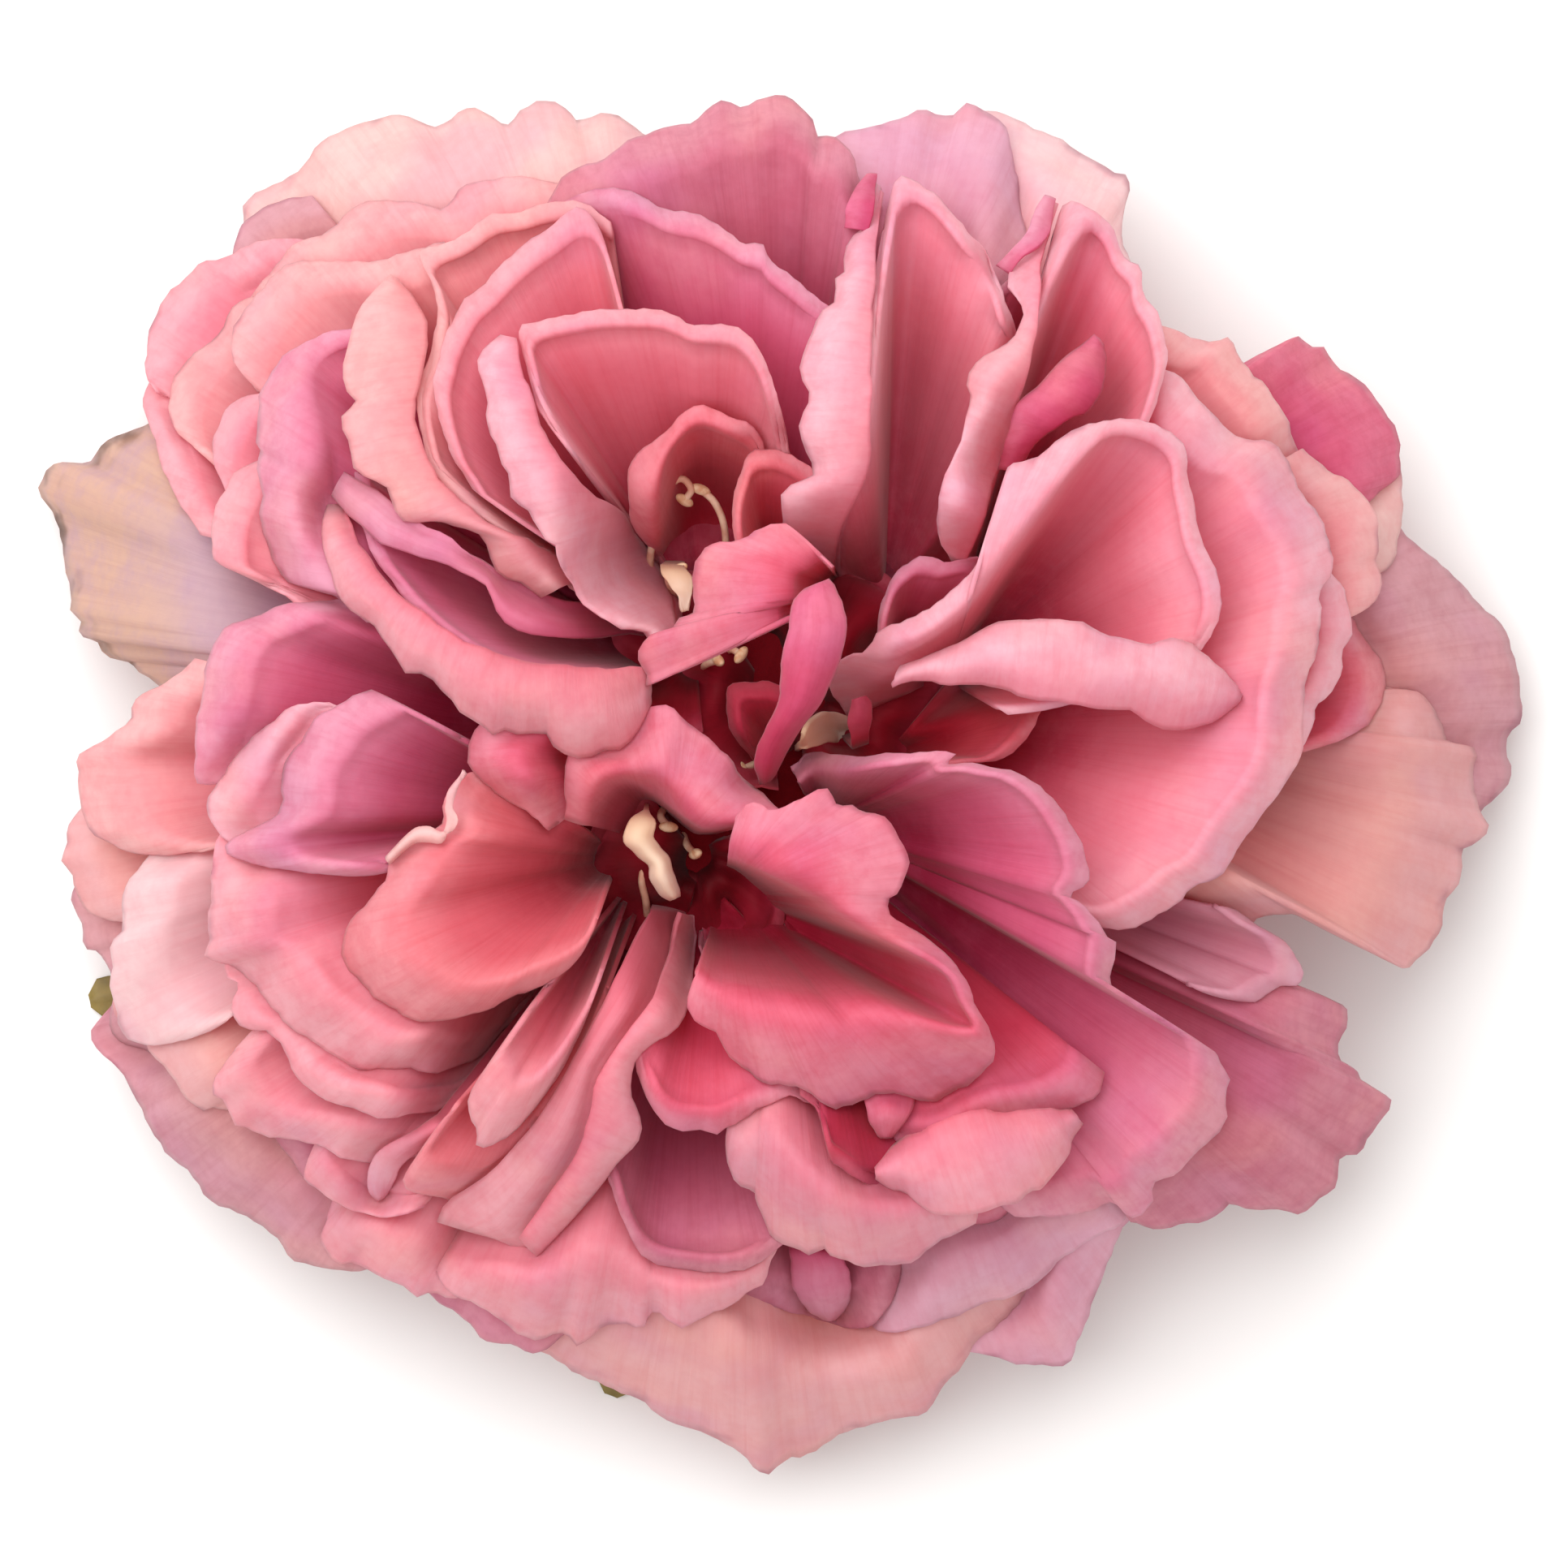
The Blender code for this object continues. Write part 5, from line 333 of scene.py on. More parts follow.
# %% The south-east quarter, on top
SOUTH_EAST_TOP = [
    scoop("south_mouth", root=(-1.6, -11.0), belly=2.2, crest=(-2.0, 0.0, 0.0, -1.0, -3.0, -3.0, -4.0),
          lip=(-3.0, -2.5, -2.0, -2.5, -7.0, -7.0, -7.0, -6.0),
          rim=[(-0.6, -5.6), (0.5, -4.4), (2.2, -4.8), (4.2, -4.0), (5.5, -3.3), (6.2, -3.6), (6.8, -4.4),
               (8.0, -4.4), (8.7, -4.8), (10.0, -5.0), (11.0, -6.2), (12.0, -8.0), (12.2, -8.8),
               (11.3, -10.6), (10.7, -11.0), (10.7, -12.2), (12.0, -12.8), (14.5, -14.2), (16.5, -16.3),
               (17.5, -18.0), (19.2, -21.0), (18.3, -23.3), (17.0, -24.3), (15.5, -25.1), (14.0, -25.1),
               (12.6, -24.7), (11.0, -25.1), (8.7, -26.0), (7.7, -25.9), (5.5, -24.8), (3.3, -24.8),
               (2.0, -24.0), (0.8, -23.3), (-0.1, -22.5), (-1.0, -21.3), (-2.3, -20.8), (-3.0, -19.8),
               (-3.1, -18.9)],
          fold=[(-1.9, -8.0), (0.0, -8.6), (2.0, -9.4), (4.0, -10.3), (6.0, -11.3), (8.0, -12.8),
                (10.0, -14.0), (12.0, -14.3), (13.8, -14.7), (15.0, -15.6), (17.0, -18.5), (18.5, -20.7),
                (17.0, -20.2), (14.5, -18.8), (12.0, -18.0), (9.0, -18.2), (6.0, -18.3), (3.0, -18.1),
                (0.0, -17.8), (-1.8, -17.2), (-2.4, -16.4)]),
    strip("south_tongue", root=(3.0, -10.5), arch=0.7, lift=(-7.0, -6.0, -8.0),
          left=[(8.0, -22.5), (8.7, -26.0), (9.5, -28.0), (10.2, -29.2)],
          right=[(12.4, -22.5), (12.6, -25.5), (12.5, -27.0), (11.0, -29.2)]),
    strip("south_east_shell", arch=1.5, lean=1.8, lift=(-5.4, -3.6, -2.8, -2.6, -2.8, -3.6, -5.0),
          left=[(25.2, -28.2), (24.4, -29.3), (24.0, -30.5), (23.3, -31.5), (22.0, -33.0), (21.2, -33.1),
                (20.3, -34.0), (19.3, -34.2), (18.0, -34.6), (16.5, -34.9), (15.0, -34.8), (13.5, -34.5),
                (12.5, -33.7), (11.8, -33.2), (10.6, -33.0), (9.9, -32.2)],
          right=[(24.4, -27.2), (22.5, -27.2), (21.0, -27.2), (19.5, -27.3), (17.5, -27.2), (16.0, -27.4),
                 (14.0, -28.2), (13.2, -28.9), (12.2, -29.1), (11.2, -29.8), (10.4, -30.8), (9.7, -31.6)]),
    scoop("south_east_shell_wall", root=(6.5, -8.5), belly=1.2, crest=-5.6, lip=-6.4, claw=2.0,
          rim=[(9.6, -26.0), (10.4, -28.6), (11.6, -30.4), (13.4, -30.2), (15.4, -29.4), (17.6, -28.8),
               (20.0, -28.8), (22.4, -28.8), (24.0, -28.2), (24.6, -26.6)]),
    scoop("south_red_cup", root=(4.5, -9.5), fold=0.93, crest=-4.0, lip=-4.6,
          rim=[(4.2, -26.0), (5.3, -27.4), (4.8, -28.3), (4.7, -29.0), (5.0, -30.0), (5.7, -31.2),
               (6.5, -32.2), (7.5, -33.0), (8.5, -33.2), (9.8, -33.2), (10.8, -33.3), (11.8, -32.4)]),
    scoop("south_small_rose", root=(-2.8, -10.0), fold=0.85, crest=-9.0, lip=-10.0, claw=2.0,
          rim=[(-3.3, -15.0), (-2.8, -17.5), (-2.5, -18.8), (-1.0, -19.4), (1.0, -19.0), (2.8, -17.6)]),
    scoop("south_east_sail", root=(5.6, -6.0), fold=0.9,
          crest=(-5.0, -1.0, 0.0, 0.0, -1.0, -2.0, -4.0, -7.0),
          lip=(-6.0, -2.0, -2.0, -3.0, -4.0, -6.0, -9.0, -12.0),
          pleats=((0.62, 0.05, 2.2), (0.86, 0.06, 1.2)),
          rim=[(3.5, -1.6), (4.5, -0.9), (6.0, -0.8), (9.0, -0.9), (12.0, -0.7), (14.5, -0.4), (15.4, -0.7),
               (14.7, -1.4), (17.0, -1.2), (18.5, -1.6), (20.0, -1.8), (21.5, -2.5), (22.7, -3.5),
               (23.5, -4.7), (24.8, -6.2), (25.4, -8.0), (25.4, -9.3), (24.3, -10.4), (25.2, -10.9),
               (26.3, -12.0), (27.3, -13.4), (28.0, -13.2), (27.9, -14.8), (27.6, -16.5), (28.8, -16.6),
               (30.0, -16.2), (32.5, -16.0), (34.0, -16.8), (35.5, -18.0), (36.0, -19.5), (36.5, -21.0),
               (37.5, -22.3), (37.3, -23.5), (37.5, -25.0), (37.2, -26.5), (36.0, -27.4), (34.2, -29.5),
               (33.0, -30.3), (33.0, -31.5), (32.3, -32.5), (31.5, -32.7), (30.5, -31.8), (28.0, -32.6),
               (25.5, -33.2), (23.0, -33.0), (21.0, -31.0)]),
]

# %% The north-east quarter
NORTH_EAST = [
    strip("east_band", arch=1.5, lean=0.6, lift=(-5.0, -2.5, -1.5, -2.0, -2.5, -4.0),
          left=[(11.6, 5.7), (12.6, 6.0), (15.7, 7.3), (17.5, 8.3), (19.0, 8.9), (21.5, 9.1), (23.0, 9.2),
                (24.8, 8.9), (26.2, 8.1), (28.0, 7.8), (30.0, 7.3), (31.5, 7.7), (34.0, 6.8), (36.3, 4.5),
                (37.0, 3.6)],
          right=[(11.0, 4.3), (12.2, 4.7), (15.0, 4.5), (17.5, 4.4), (20.0, 3.8), (22.0, 3.2), (24.0, 3.0),
                 (26.0, 2.7), (28.5, 2.4), (31.0, 1.2), (32.5, 1.1), (34.5, 1.6), (36.4, 2.9)]),
    scoop("north_east_cup", root=(15.0, 5.0), belly=0.85, claw=2.0,
          crest=(-6.0, -1.0, 1.0, 1.0, 0.0, 0.0, -2.0, -4.0),
          lip=(-8.0, -3.0, -0.6, 0.3, -0.7, -0.7, -2.8, -4.8),
          rim=[(7.6, 2.0), (6.5, 3.8), (6.6, 5.3), (7.6, 6.4), (9.0, 6.8), (10.2, 8.3), (12.0, 8.9),
               (14.0, 10.3), (16.0, 11.8), (17.2, 13.8), (17.2, 15.5), (16.9, 18.0), (17.3, 20.0),
               (18.5, 20.6), (20.7, 21.2), (22.5, 23.0), (25.0, 24.2), (27.0, 24.8), (29.5, 24.4),
               (31.5, 23.0), (31.8, 21.0), (32.0, 19.7), (32.5, 18.0), (33.0, 17.0), (33.5, 15.5),
               (34.3, 14.0), (34.8, 12.0), (34.5, 10.3), (33.5, 8.7), (32.0, 7.5), (29.5, 6.0), (25.0, 4.2),
               (20.0, 2.6)],
          fold=[(8.2, 3.2), (9.5, 4.4), (10.8, 5.4), (12.0, 6.9), (13.5, 7.9), (15.0, 9.0), (16.5, 10.5),
                (17.4, 12.0), (19.0, 14.2), (21.0, 17.0), (23.3, 20.6), (25.2, 23.8), (27.0, 24.4),
                (29.2, 24.0), (31.0, 22.7), (31.5, 20.0), (32.4, 17.2), (33.5, 14.5), (34.3, 12.0),
                (34.0, 10.3), (33.0, 8.9), (29.3, 6.4), (24.8, 4.5), (19.8, 2.9)]),
    scoop("north_small_mauve", root=(11.0, 6.0), fold=0.85, crest=-10.0, lip=-11.0, claw=2.0,
          rim=[(9.9, 7.6), (10.0, 8.8), (10.2, 10.5), (10.8, 12.3), (12.0, 13.5), (12.8, 13.9),
               (14.5, 13.9), (16.8, 14.3), (17.6, 12.6)]),
    strip("north_east_wing", arch=0.9, lift=(-8.0, -3.0, -0.5, -2.0),
          left=[(18.7, 20.2), (19.6, 22.8), (20.2, 25.0), (21.8, 26.4), (23.6, 28.4), (25.2, 29.6),
                (26.0, 30.3)],
          right=[(20.4, 20.4), (21.6, 22.3), (23.0, 23.3), (24.2, 24.1), (25.6, 24.8), (26.6, 26.8),
                 (26.6, 29.6)]),
    strip("north_east_roll", arch=0.4, lift=(-4.0, -1.0, -1.0, -3.0),
          left=[(18.8, 35.6), (20.0, 36.8), (21.0, 38.0), (21.8, 39.8), (22.4, 40.9)],
          right=[(19.8, 35.0), (20.8, 36.2), (22.0, 37.0), (22.8, 38.3), (23.2, 40.6)]),
    strip("north_east_fan_lip", arch=0.9, lean=1.6, lift=(-4.0, -1.0, 0.5, 0.8, 0.5, 0.0),
          left=[(15.7, 13.4), (14.6, 15.0), (14.2, 16.6), (14.4, 17.6), (14.6, 18.8), (14.9, 19.8),
                (15.6, 21.2), (16.1, 22.5), (16.4, 24.0), (16.8, 25.5), (16.6, 26.8), (17.0, 27.8),
                (17.9, 28.7), (19.0, 29.2), (20.0, 30.0), (20.6, 31.2), (20.8, 32.3), (20.2, 33.3),
                (19.6, 34.2), (19.8, 35.2), (20.8, 36.5), (22.0, 37.3), (22.6, 38.3), (22.8, 40.6)],
          right=[(16.3, 13.2), (17.0, 14.8), (17.6, 16.4), (17.9, 17.6), (18.3, 19.0), (19.0, 20.7),
                 (19.5, 22.0), (19.9, 24.0), (20.5, 26.0), (21.0, 28.0), (21.6, 30.5), (21.9, 33.0),
                 (22.2, 36.0), (22.8, 38.2), (23.4, 40.2)]),
    scoop("north_east_fan", root=(16.6, 11.6), belly=1.2, claw=2.0,
          crest=(-4.0, -1.0, 0.5, 0.6, 0.0, -1.0, -4.0), lip=(-4.6, -1.6, 0.0, 0.0, -0.6, -1.6, -4.6),
          rim=[(16.6, 16.6), (17.0, 18.8), (18.0, 21.0), (18.8, 24.0), (19.6, 27.0), (20.6, 31.2),
               (21.2, 35.0), (22.0, 38.3), (22.8, 40.8), (25.3, 39.6), (26.3, 38.3), (26.9, 37.0),
               (28.0, 36.0), (28.2, 34.3), (29.3, 33.0), (29.8, 31.8), (30.0, 29.0), (29.0, 25.0),
               (26.0, 19.0), (21.0, 13.0), (16.0, 9.0)],
          fold=[(16.8, 16.0), (17.2, 17.6), (18.2, 20.0), (19.0, 23.0), (19.8, 26.0), (20.8, 30.0),
                (21.4, 34.0), (22.2, 37.6), (22.9, 40.0), (25.2, 39.2), (26.6, 36.8), (27.8, 34.6),
                (29.2, 32.0), (29.6, 29.0), (28.6, 25.0), (25.7, 19.1), (20.8, 13.1), (15.9, 9.2)]),
    strip("north_roll", arch=0.4, lift=(-2.0, 0.0, -1.5),
          left=[(7.4, 38.2), (7.7, 39.8), (8.4, 41.4), (9.1, 42.3)],
          right=[(9.2, 38.0), (9.6, 39.4), (9.8, 40.8), (9.8, 42.3)]),
    strip("north_fan_lip", arch=1.1, lean=1.8, lift=(-8.0, -4.0, -1.0, 0.5, 0.8, 0.5, 0.0),
          left=[(5.2, 12.9), (3.8, 15.0), (2.7, 15.7), (3.0, 16.8), (2.9, 18.6), (4.0, 19.2), (5.2, 19.8),
                (4.8, 21.5), (4.2, 23.0), (4.2, 24.0), (4.9, 25.2), (5.0, 26.0), (4.4, 26.9), (4.2, 28.0),
                (5.2, 30.6), (5.9, 32.0), (6.8, 32.7), (6.7, 34.2), (7.6, 35.0), (7.5, 36.3), (8.0, 37.5),
                (9.0, 38.4), (9.1, 40.2), (9.8, 41.8)],
          right=[(6.6, 12.4), (6.9, 14.4), (7.4, 16.4), (8.4, 18.4), (9.1, 20.0), (9.3, 22.0), (9.4, 26.0),
                 (9.4, 30.0), (9.6, 34.0), (9.9, 38.0), (10.4, 41.2)]),
    scoop("north_fan", root=(10.4, 10.0), belly=1.25, claw=2.0,
          crest=(-9.0, -4.0, 0.0, 0.6, 0.6, 0.0, -2.0, -4.0, -8.0),
          lip=(-9.5, -4.6, -0.6, 0.0, 0.0, -0.6, -2.6, -4.6, -8.6),
          rim=[(6.2, 13.3), (6.4, 16.8), (7.6, 19.8), (8.2, 24.0), (8.3, 28.0), (8.6, 32.7), (9.0, 37.5),
               (9.4, 40.2), (9.9, 42.0), (12.0, 41.3), (13.5, 40.0), (15.0, 38.0), (16.0, 37.2),
               (17.0, 35.3), (17.9, 33.0), (19.2, 29.0), (19.3, 24.0), (18.0, 18.0), (15.5, 13.0),
               (12.5, 9.5)],
          fold=[(7.0, 13.0), (7.2, 15.2), (7.8, 17.6), (8.6, 20.0), (9.0, 23.0), (9.2, 27.0), (9.2, 31.0),
                (9.4, 35.0), (9.8, 39.0), (10.3, 41.2), (12.0, 40.9), (14.7, 37.8), (16.7, 35.0),
                (17.6, 32.6), (18.9, 29.0), (19.0, 24.0), (17.7, 18.1), (15.3, 13.1), (12.4, 9.7)]),
    scoop("north_dusky_fold", root=(9.0, 9.6), fold=0.94, crest=-3.0, lip=-4.0, claw=2.0,
          rim=[(16.6, 30.0), (16.9, 33.0), (17.0, 35.5), (18.0, 35.8), (19.5, 35.5), (20.5, 34.4),
               (21.0, 32.6), (20.8, 30.0)]),
]

# %% The north-west quarter
NORTH_WEST = [
    scoop("north_west_heart_flap", root=(2.0, 11.0), fold=0.9, crest=-8.0, lip=-8.5, claw=2.0,
          rim=[(-0.5, 14.0), (-0.8, 16.0), (-0.9, 18.0), (-0.6, 20.0), (-0.2, 21.4), (1.0, 21.5),
               (2.2, 21.6), (3.2, 21.3), (4.4, 20.3), (4.9, 18.0)]),
    scoop("north_west_heart", root=(-2.6, 10.6), belly=3.4, crest=(-10.0, -6.0, -5.0, -5.0, -8.0), claw=5.0,
          lip=(-12.0, -8.0, -6.0, -5.5, -9.0),
          rim=[(-6.6, 13.6), (-7.2, 14.8), (-8.2, 16.0), (-8.8, 18.5), (-8.8, 20.0), (-8.4, 21.0),
               (-7.0, 22.3), (-6.3, 23.2), (-5.3, 24.2), (-4.0, 24.9), (-3.0, 24.7), (-2.1, 24.2),
               (-0.7, 23.8), (0.0, 22.9), (0.5, 21.6), (0.8, 19.5)],
          fold=[(-6.3, 13.8), (-6.4, 15.2), (-6.4, 17.0), (-6.3, 19.0), (-6.3, 21.0), (-6.2, 22.3),
                (-5.6, 23.3), (-5.0, 23.9), (-4.0, 24.4), (-3.0, 24.2), (-2.2, 23.7), (-1.0, 23.2),
                (-0.4, 22.4), (0.0, 21.2), (0.3, 19.5)]),
    strip("north_west_cup_lip", arch=1.2, lean=1.8, lift=(-9.0, -4.5, -0.5, 0.8, 1.2, 1.2, 0.8),
          left=[(-6.7, 6.8), (-7.0, 7.5), (-7.5, 8.3), (-9.3, 8.6), (-10.8, 9.7), (-12.2, 10.6),
                (-12.8, 12.0), (-13.6, 13.6), (-13.6, 14.4), (-14.5, 15.0), (-15.4, 16.2), (-15.8, 17.0),
                (-17.0, 18.3), (-17.2, 19.7), (-18.0, 20.7), (-18.0, 21.5), (-18.6, 22.8), (-18.9, 24.0),
                (-18.8, 25.2), (-19.6, 27.5), (-19.3, 29.0), (-18.0, 30.2)],
          right=[(-5.4, 7.0), (-5.2, 9.0), (-5.4, 10.8), (-6.2, 12.6), (-7.0, 14.0), (-8.0, 15.6),
                 (-9.1, 17.0), (-10.8, 18.2), (-12.6, 19.7), (-13.8, 21.2), (-14.8, 23.1), (-15.6, 25.1),
                 (-16.3, 27.5), (-17.0, 29.8)]),
    scoop("north_west_cup", root=(-2.6, 9.0), belly=1.25,
          crest=(-9.0, -4.0, 0.0, 1.0, 1.0, 1.5, 1.5, 0.5, -2.0),
          lip=(-10.0, -4.8, -0.8, 0.4, 0.4, 1.0, 1.0, 0.0, -2.6),
          rim=[(-6.2, 7.2), (-6.0, 9.2), (-6.3, 11.1), (-7.1, 13.0), (-8.0, 14.5), (-9.0, 16.1),
               (-10.1, 17.5), (-11.7, 18.6), (-13.4, 20.1), (-14.6, 21.6), (-15.6, 23.4), (-16.4, 25.3),
               (-17.2, 27.8), (-17.9, 30.0), (-16.5, 30.4), (-14.5, 30.8), (-11.0, 31.6), (-9.5, 31.5),
               (-7.0, 31.3), (-5.8, 30.7), (-3.5, 30.9), (-2.0, 30.3), (-0.6, 29.0), (0.2, 27.0),
               (1.0, 25.0), (2.0, 22.0)],
          fold=[(-5.6, 7.2), (-5.5, 9.0), (-5.7, 10.8), (-6.5, 12.6), (-7.4, 14.0), (-8.4, 15.6),
                (-9.4, 17.0), (-11.0, 18.0), (-12.8, 19.5), (-14.0, 21.0), (-15.0, 23.0), (-15.8, 25.0),
                (-16.5, 27.5), (-17.2, 29.6), (-16.1, 30.1), (-14.4, 30.5), (-11.0, 31.3), (-9.5, 31.2),
                (-7.0, 31.0), (-5.8, 30.4), (-3.5, 30.6), (-2.1, 30.0), (-0.8, 28.7), (0.0, 26.8),
                (0.8, 24.8), (1.8, 21.9)]),
    scoop("north_west_second", root=(-4.6, 9.0), fold=0.93, crest=(-6.0, -2.0, 0.0, 0.5, 0.5, -1.0),
          lip=(-7.0, -3.0, -1.0, -0.5, -0.5, -2.0),
          rim=[(-12.0, 12.6), (-13.6, 14.4), (-15.0, 14.8), (-17.5, 15.7), (-20.0, 18.0), (-21.0, 19.5),
               (-22.2, 21.2), (-23.2, 23.5), (-23.7, 26.0), (-23.5, 28.5), (-22.7, 30.5), (-22.0, 32.0),
               (-20.0, 34.2), (-18.0, 36.5), (-16.0, 38.2), (-14.8, 38.9), (-13.4, 37.0), (-12.4, 33.0),
               (-12.0, 30.0)]),
    strip("north_west_third_lip", arch=1.0, lean=1.6, lift=(-6.0, -3.0, -0.4, 0.6, 0.9, 0.6),
          left=[(-15.0, 10.8), (-16.4, 12.0), (-18.0, 12.5), (-19.0, 14.5), (-20.0, 15.8), (-21.5, 16.2),
                (-23.0, 16.6), (-25.0, 16.3), (-26.0, 17.6), (-26.2, 19.0), (-28.2, 19.9), (-28.8, 20.5),
                (-29.2, 21.8), (-29.7, 23.4), (-29.6, 24.6), (-28.5, 25.2), (-29.4, 26.2), (-29.8, 28.0),
                (-29.2, 30.0), (-28.7, 32.0), (-27.5, 33.7), (-26.3, 34.9)],
          right=[(-12.4, 12.0), (-13.6, 13.7), (-15.4, 14.6), (-17.2, 15.4), (-19.2, 16.5), (-21.3, 18.2),
                 (-22.8, 20.1), (-23.8, 22.0), (-24.3, 24.5), (-24.1, 26.5), (-23.5, 29.0), (-23.5, 31.0),
                 (-24.7, 33.2), (-25.7, 34.5)]),
    scoop("north_west_third", root=(-5.6, 8.4), belly=1.3, crest=(-6.0, -3.0, 0.0, 1.0, 1.0, 0.0, -1.0),
          lip=(-7.0, -3.6, -0.6, 0.4, 0.4, -0.6, -1.6),
          rim=[(-13.0, 11.6), (-14.2, 13.3), (-15.9, 14.2), (-17.6, 14.9), (-19.8, 15.9), (-21.9, 17.7),
               (-23.5, 19.8), (-24.5, 22.0), (-25.1, 24.5), (-24.9, 26.5), (-24.3, 29.0), (-24.2, 31.0),
               (-25.2, 33.2), (-26.2, 34.9), (-24.0, 36.0), (-22.0, 37.6), (-20.0, 38.3), (-18.8, 38.8),
               (-17.0, 39.2), (-15.0, 39.2), (-13.5, 38.0)],
          fold=[(-12.6, 12.0), (-13.8, 13.6), (-15.6, 14.4), (-17.4, 15.2), (-19.4, 16.2), (-21.5, 18.0),
                (-23.0, 20.0), (-24.0, 22.0), (-24.5, 24.5), (-24.3, 26.5), (-23.7, 29.0), (-23.6, 31.0),
                (-24.8, 33.2), (-25.8, 34.4), (-23.8, 35.7), (-21.8, 37.3), (-19.9, 38.0), (-18.7, 38.5),
                (-17.0, 38.9), (-15.1, 38.9), (-13.6, 37.8)]),
    strip("north_west_edge", root=(-6.6, 9.6), arch=0.8, lift=(-9.0, -5.0, -2.0, -2.0, -3.0),
          left=[(-7.6, 9.6), (-10.0, 10.0), (-14.0, 10.8), (-18.0, 12.8), (-22.0, 15.2), (-26.0, 17.8),
                (-29.6, 20.2)],
          right=[(-7.3, 8.2), (-8.8, 8.3), (-12.0, 7.7), (-16.0, 8.3), (-17.9, 9.2), (-19.2, 12.0),
                 (-22.5, 13.4), (-25.0, 14.2), (-28.0, 15.8), (-30.6, 18.4)]),
    strip("west_lip", arch=1.8, lean=2.0, lift=(-7.4, -5.0, -2.6, -1.0, -0.4, -0.4, -0.8),
          left=[(-6.9, 2.9), (-7.5, 1.5), (-8.4, 0.2), (-9.3, -0.5), (-10.5, -0.6), (-11.7, -1.0),
                (-13.0, -0.8), (-13.8, -0.5), (-14.2, 0.3), (-15.0, 0.8), (-16.2, 0.7), (-17.8, 1.1),
                (-18.7, 0.6), (-19.6, 1.6), (-20.5, 2.0), (-21.5, 3.3), (-22.5, 4.3), (-23.5, 5.0),
                (-24.7, 5.2), (-25.3, 6.0), (-26.0, 7.0), (-27.5, 8.8), (-29.0, 10.0), (-30.2, 11.5),
                (-30.8, 13.5), (-31.2, 15.5), (-31.0, 17.6)],
          right=[(-7.0, 5.6), (-8.6, 5.6), (-10.5, 5.5), (-13.0, 5.6), (-16.0, 6.0), (-19.0, 6.8),
                 (-22.0, 8.4), (-24.8, 10.4), (-27.2, 12.8), (-28.5, 14.8), (-29.4, 17.6)]),
    scoop("west_lip_wall", root=(-6.4, 6.6), belly=1.2, crest=(-7.4, -5.0, -2.4, -1.0, -0.8, -1.6),
          lip=(-8.0, -5.6, -3.0, -1.6, -1.4, -2.2),
          rim=[(-7.2, 4.8), (-8.6, 4.4), (-10.5, 4.2), (-13.0, 4.3), (-16.0, 4.6), (-19.4, 5.5),
               (-22.5, 7.1), (-25.4, 9.3), (-28.0, 12.0), (-29.4, 14.4), (-30.2, 17.4)],
          fold=[(-7.2, 5.4), (-8.6, 5.2), (-10.5, 5.0), (-13.0, 5.1), (-16.0, 5.4), (-19.0, 6.2),
                (-22.0, 7.8), (-25.0, 10.0), (-27.6, 12.6), (-28.8, 14.8), (-29.6, 17.4)]),
    scoop("north_west_fourth", root=(-8.2, 7.6), crest=(-4.0, -1.0, 1.0, 1.0, -1.0),
          lip=(-6.0, -4.0, -2.0, -2.0, -3.0),
          rim=[(-28.0, 9.0), (-30.0, 10.6), (-31.0, 10.8), (-33.5, 10.9), (-34.0, 11.3), (-35.0, 12.5),
               (-35.7, 14.0), (-36.2, 15.7), (-36.3, 17.0), (-36.9, 18.5), (-36.8, 20.0), (-37.2, 20.6),
               (-37.2, 22.7), (-37.4, 24.0), (-36.5, 26.0), (-35.0, 27.1), (-33.0, 28.0), (-30.5, 28.4)],
          fold=[(-26.0, 11.0), (-28.0, 12.6), (-29.6, 14.2), (-30.4, 16.2), (-30.8, 18.4), (-31.4, 20.6),
                (-32.4, 22.6), (-33.6, 24.3), (-33.4, 26.0), (-32.0, 27.0), (-30.0, 27.4)]),
]

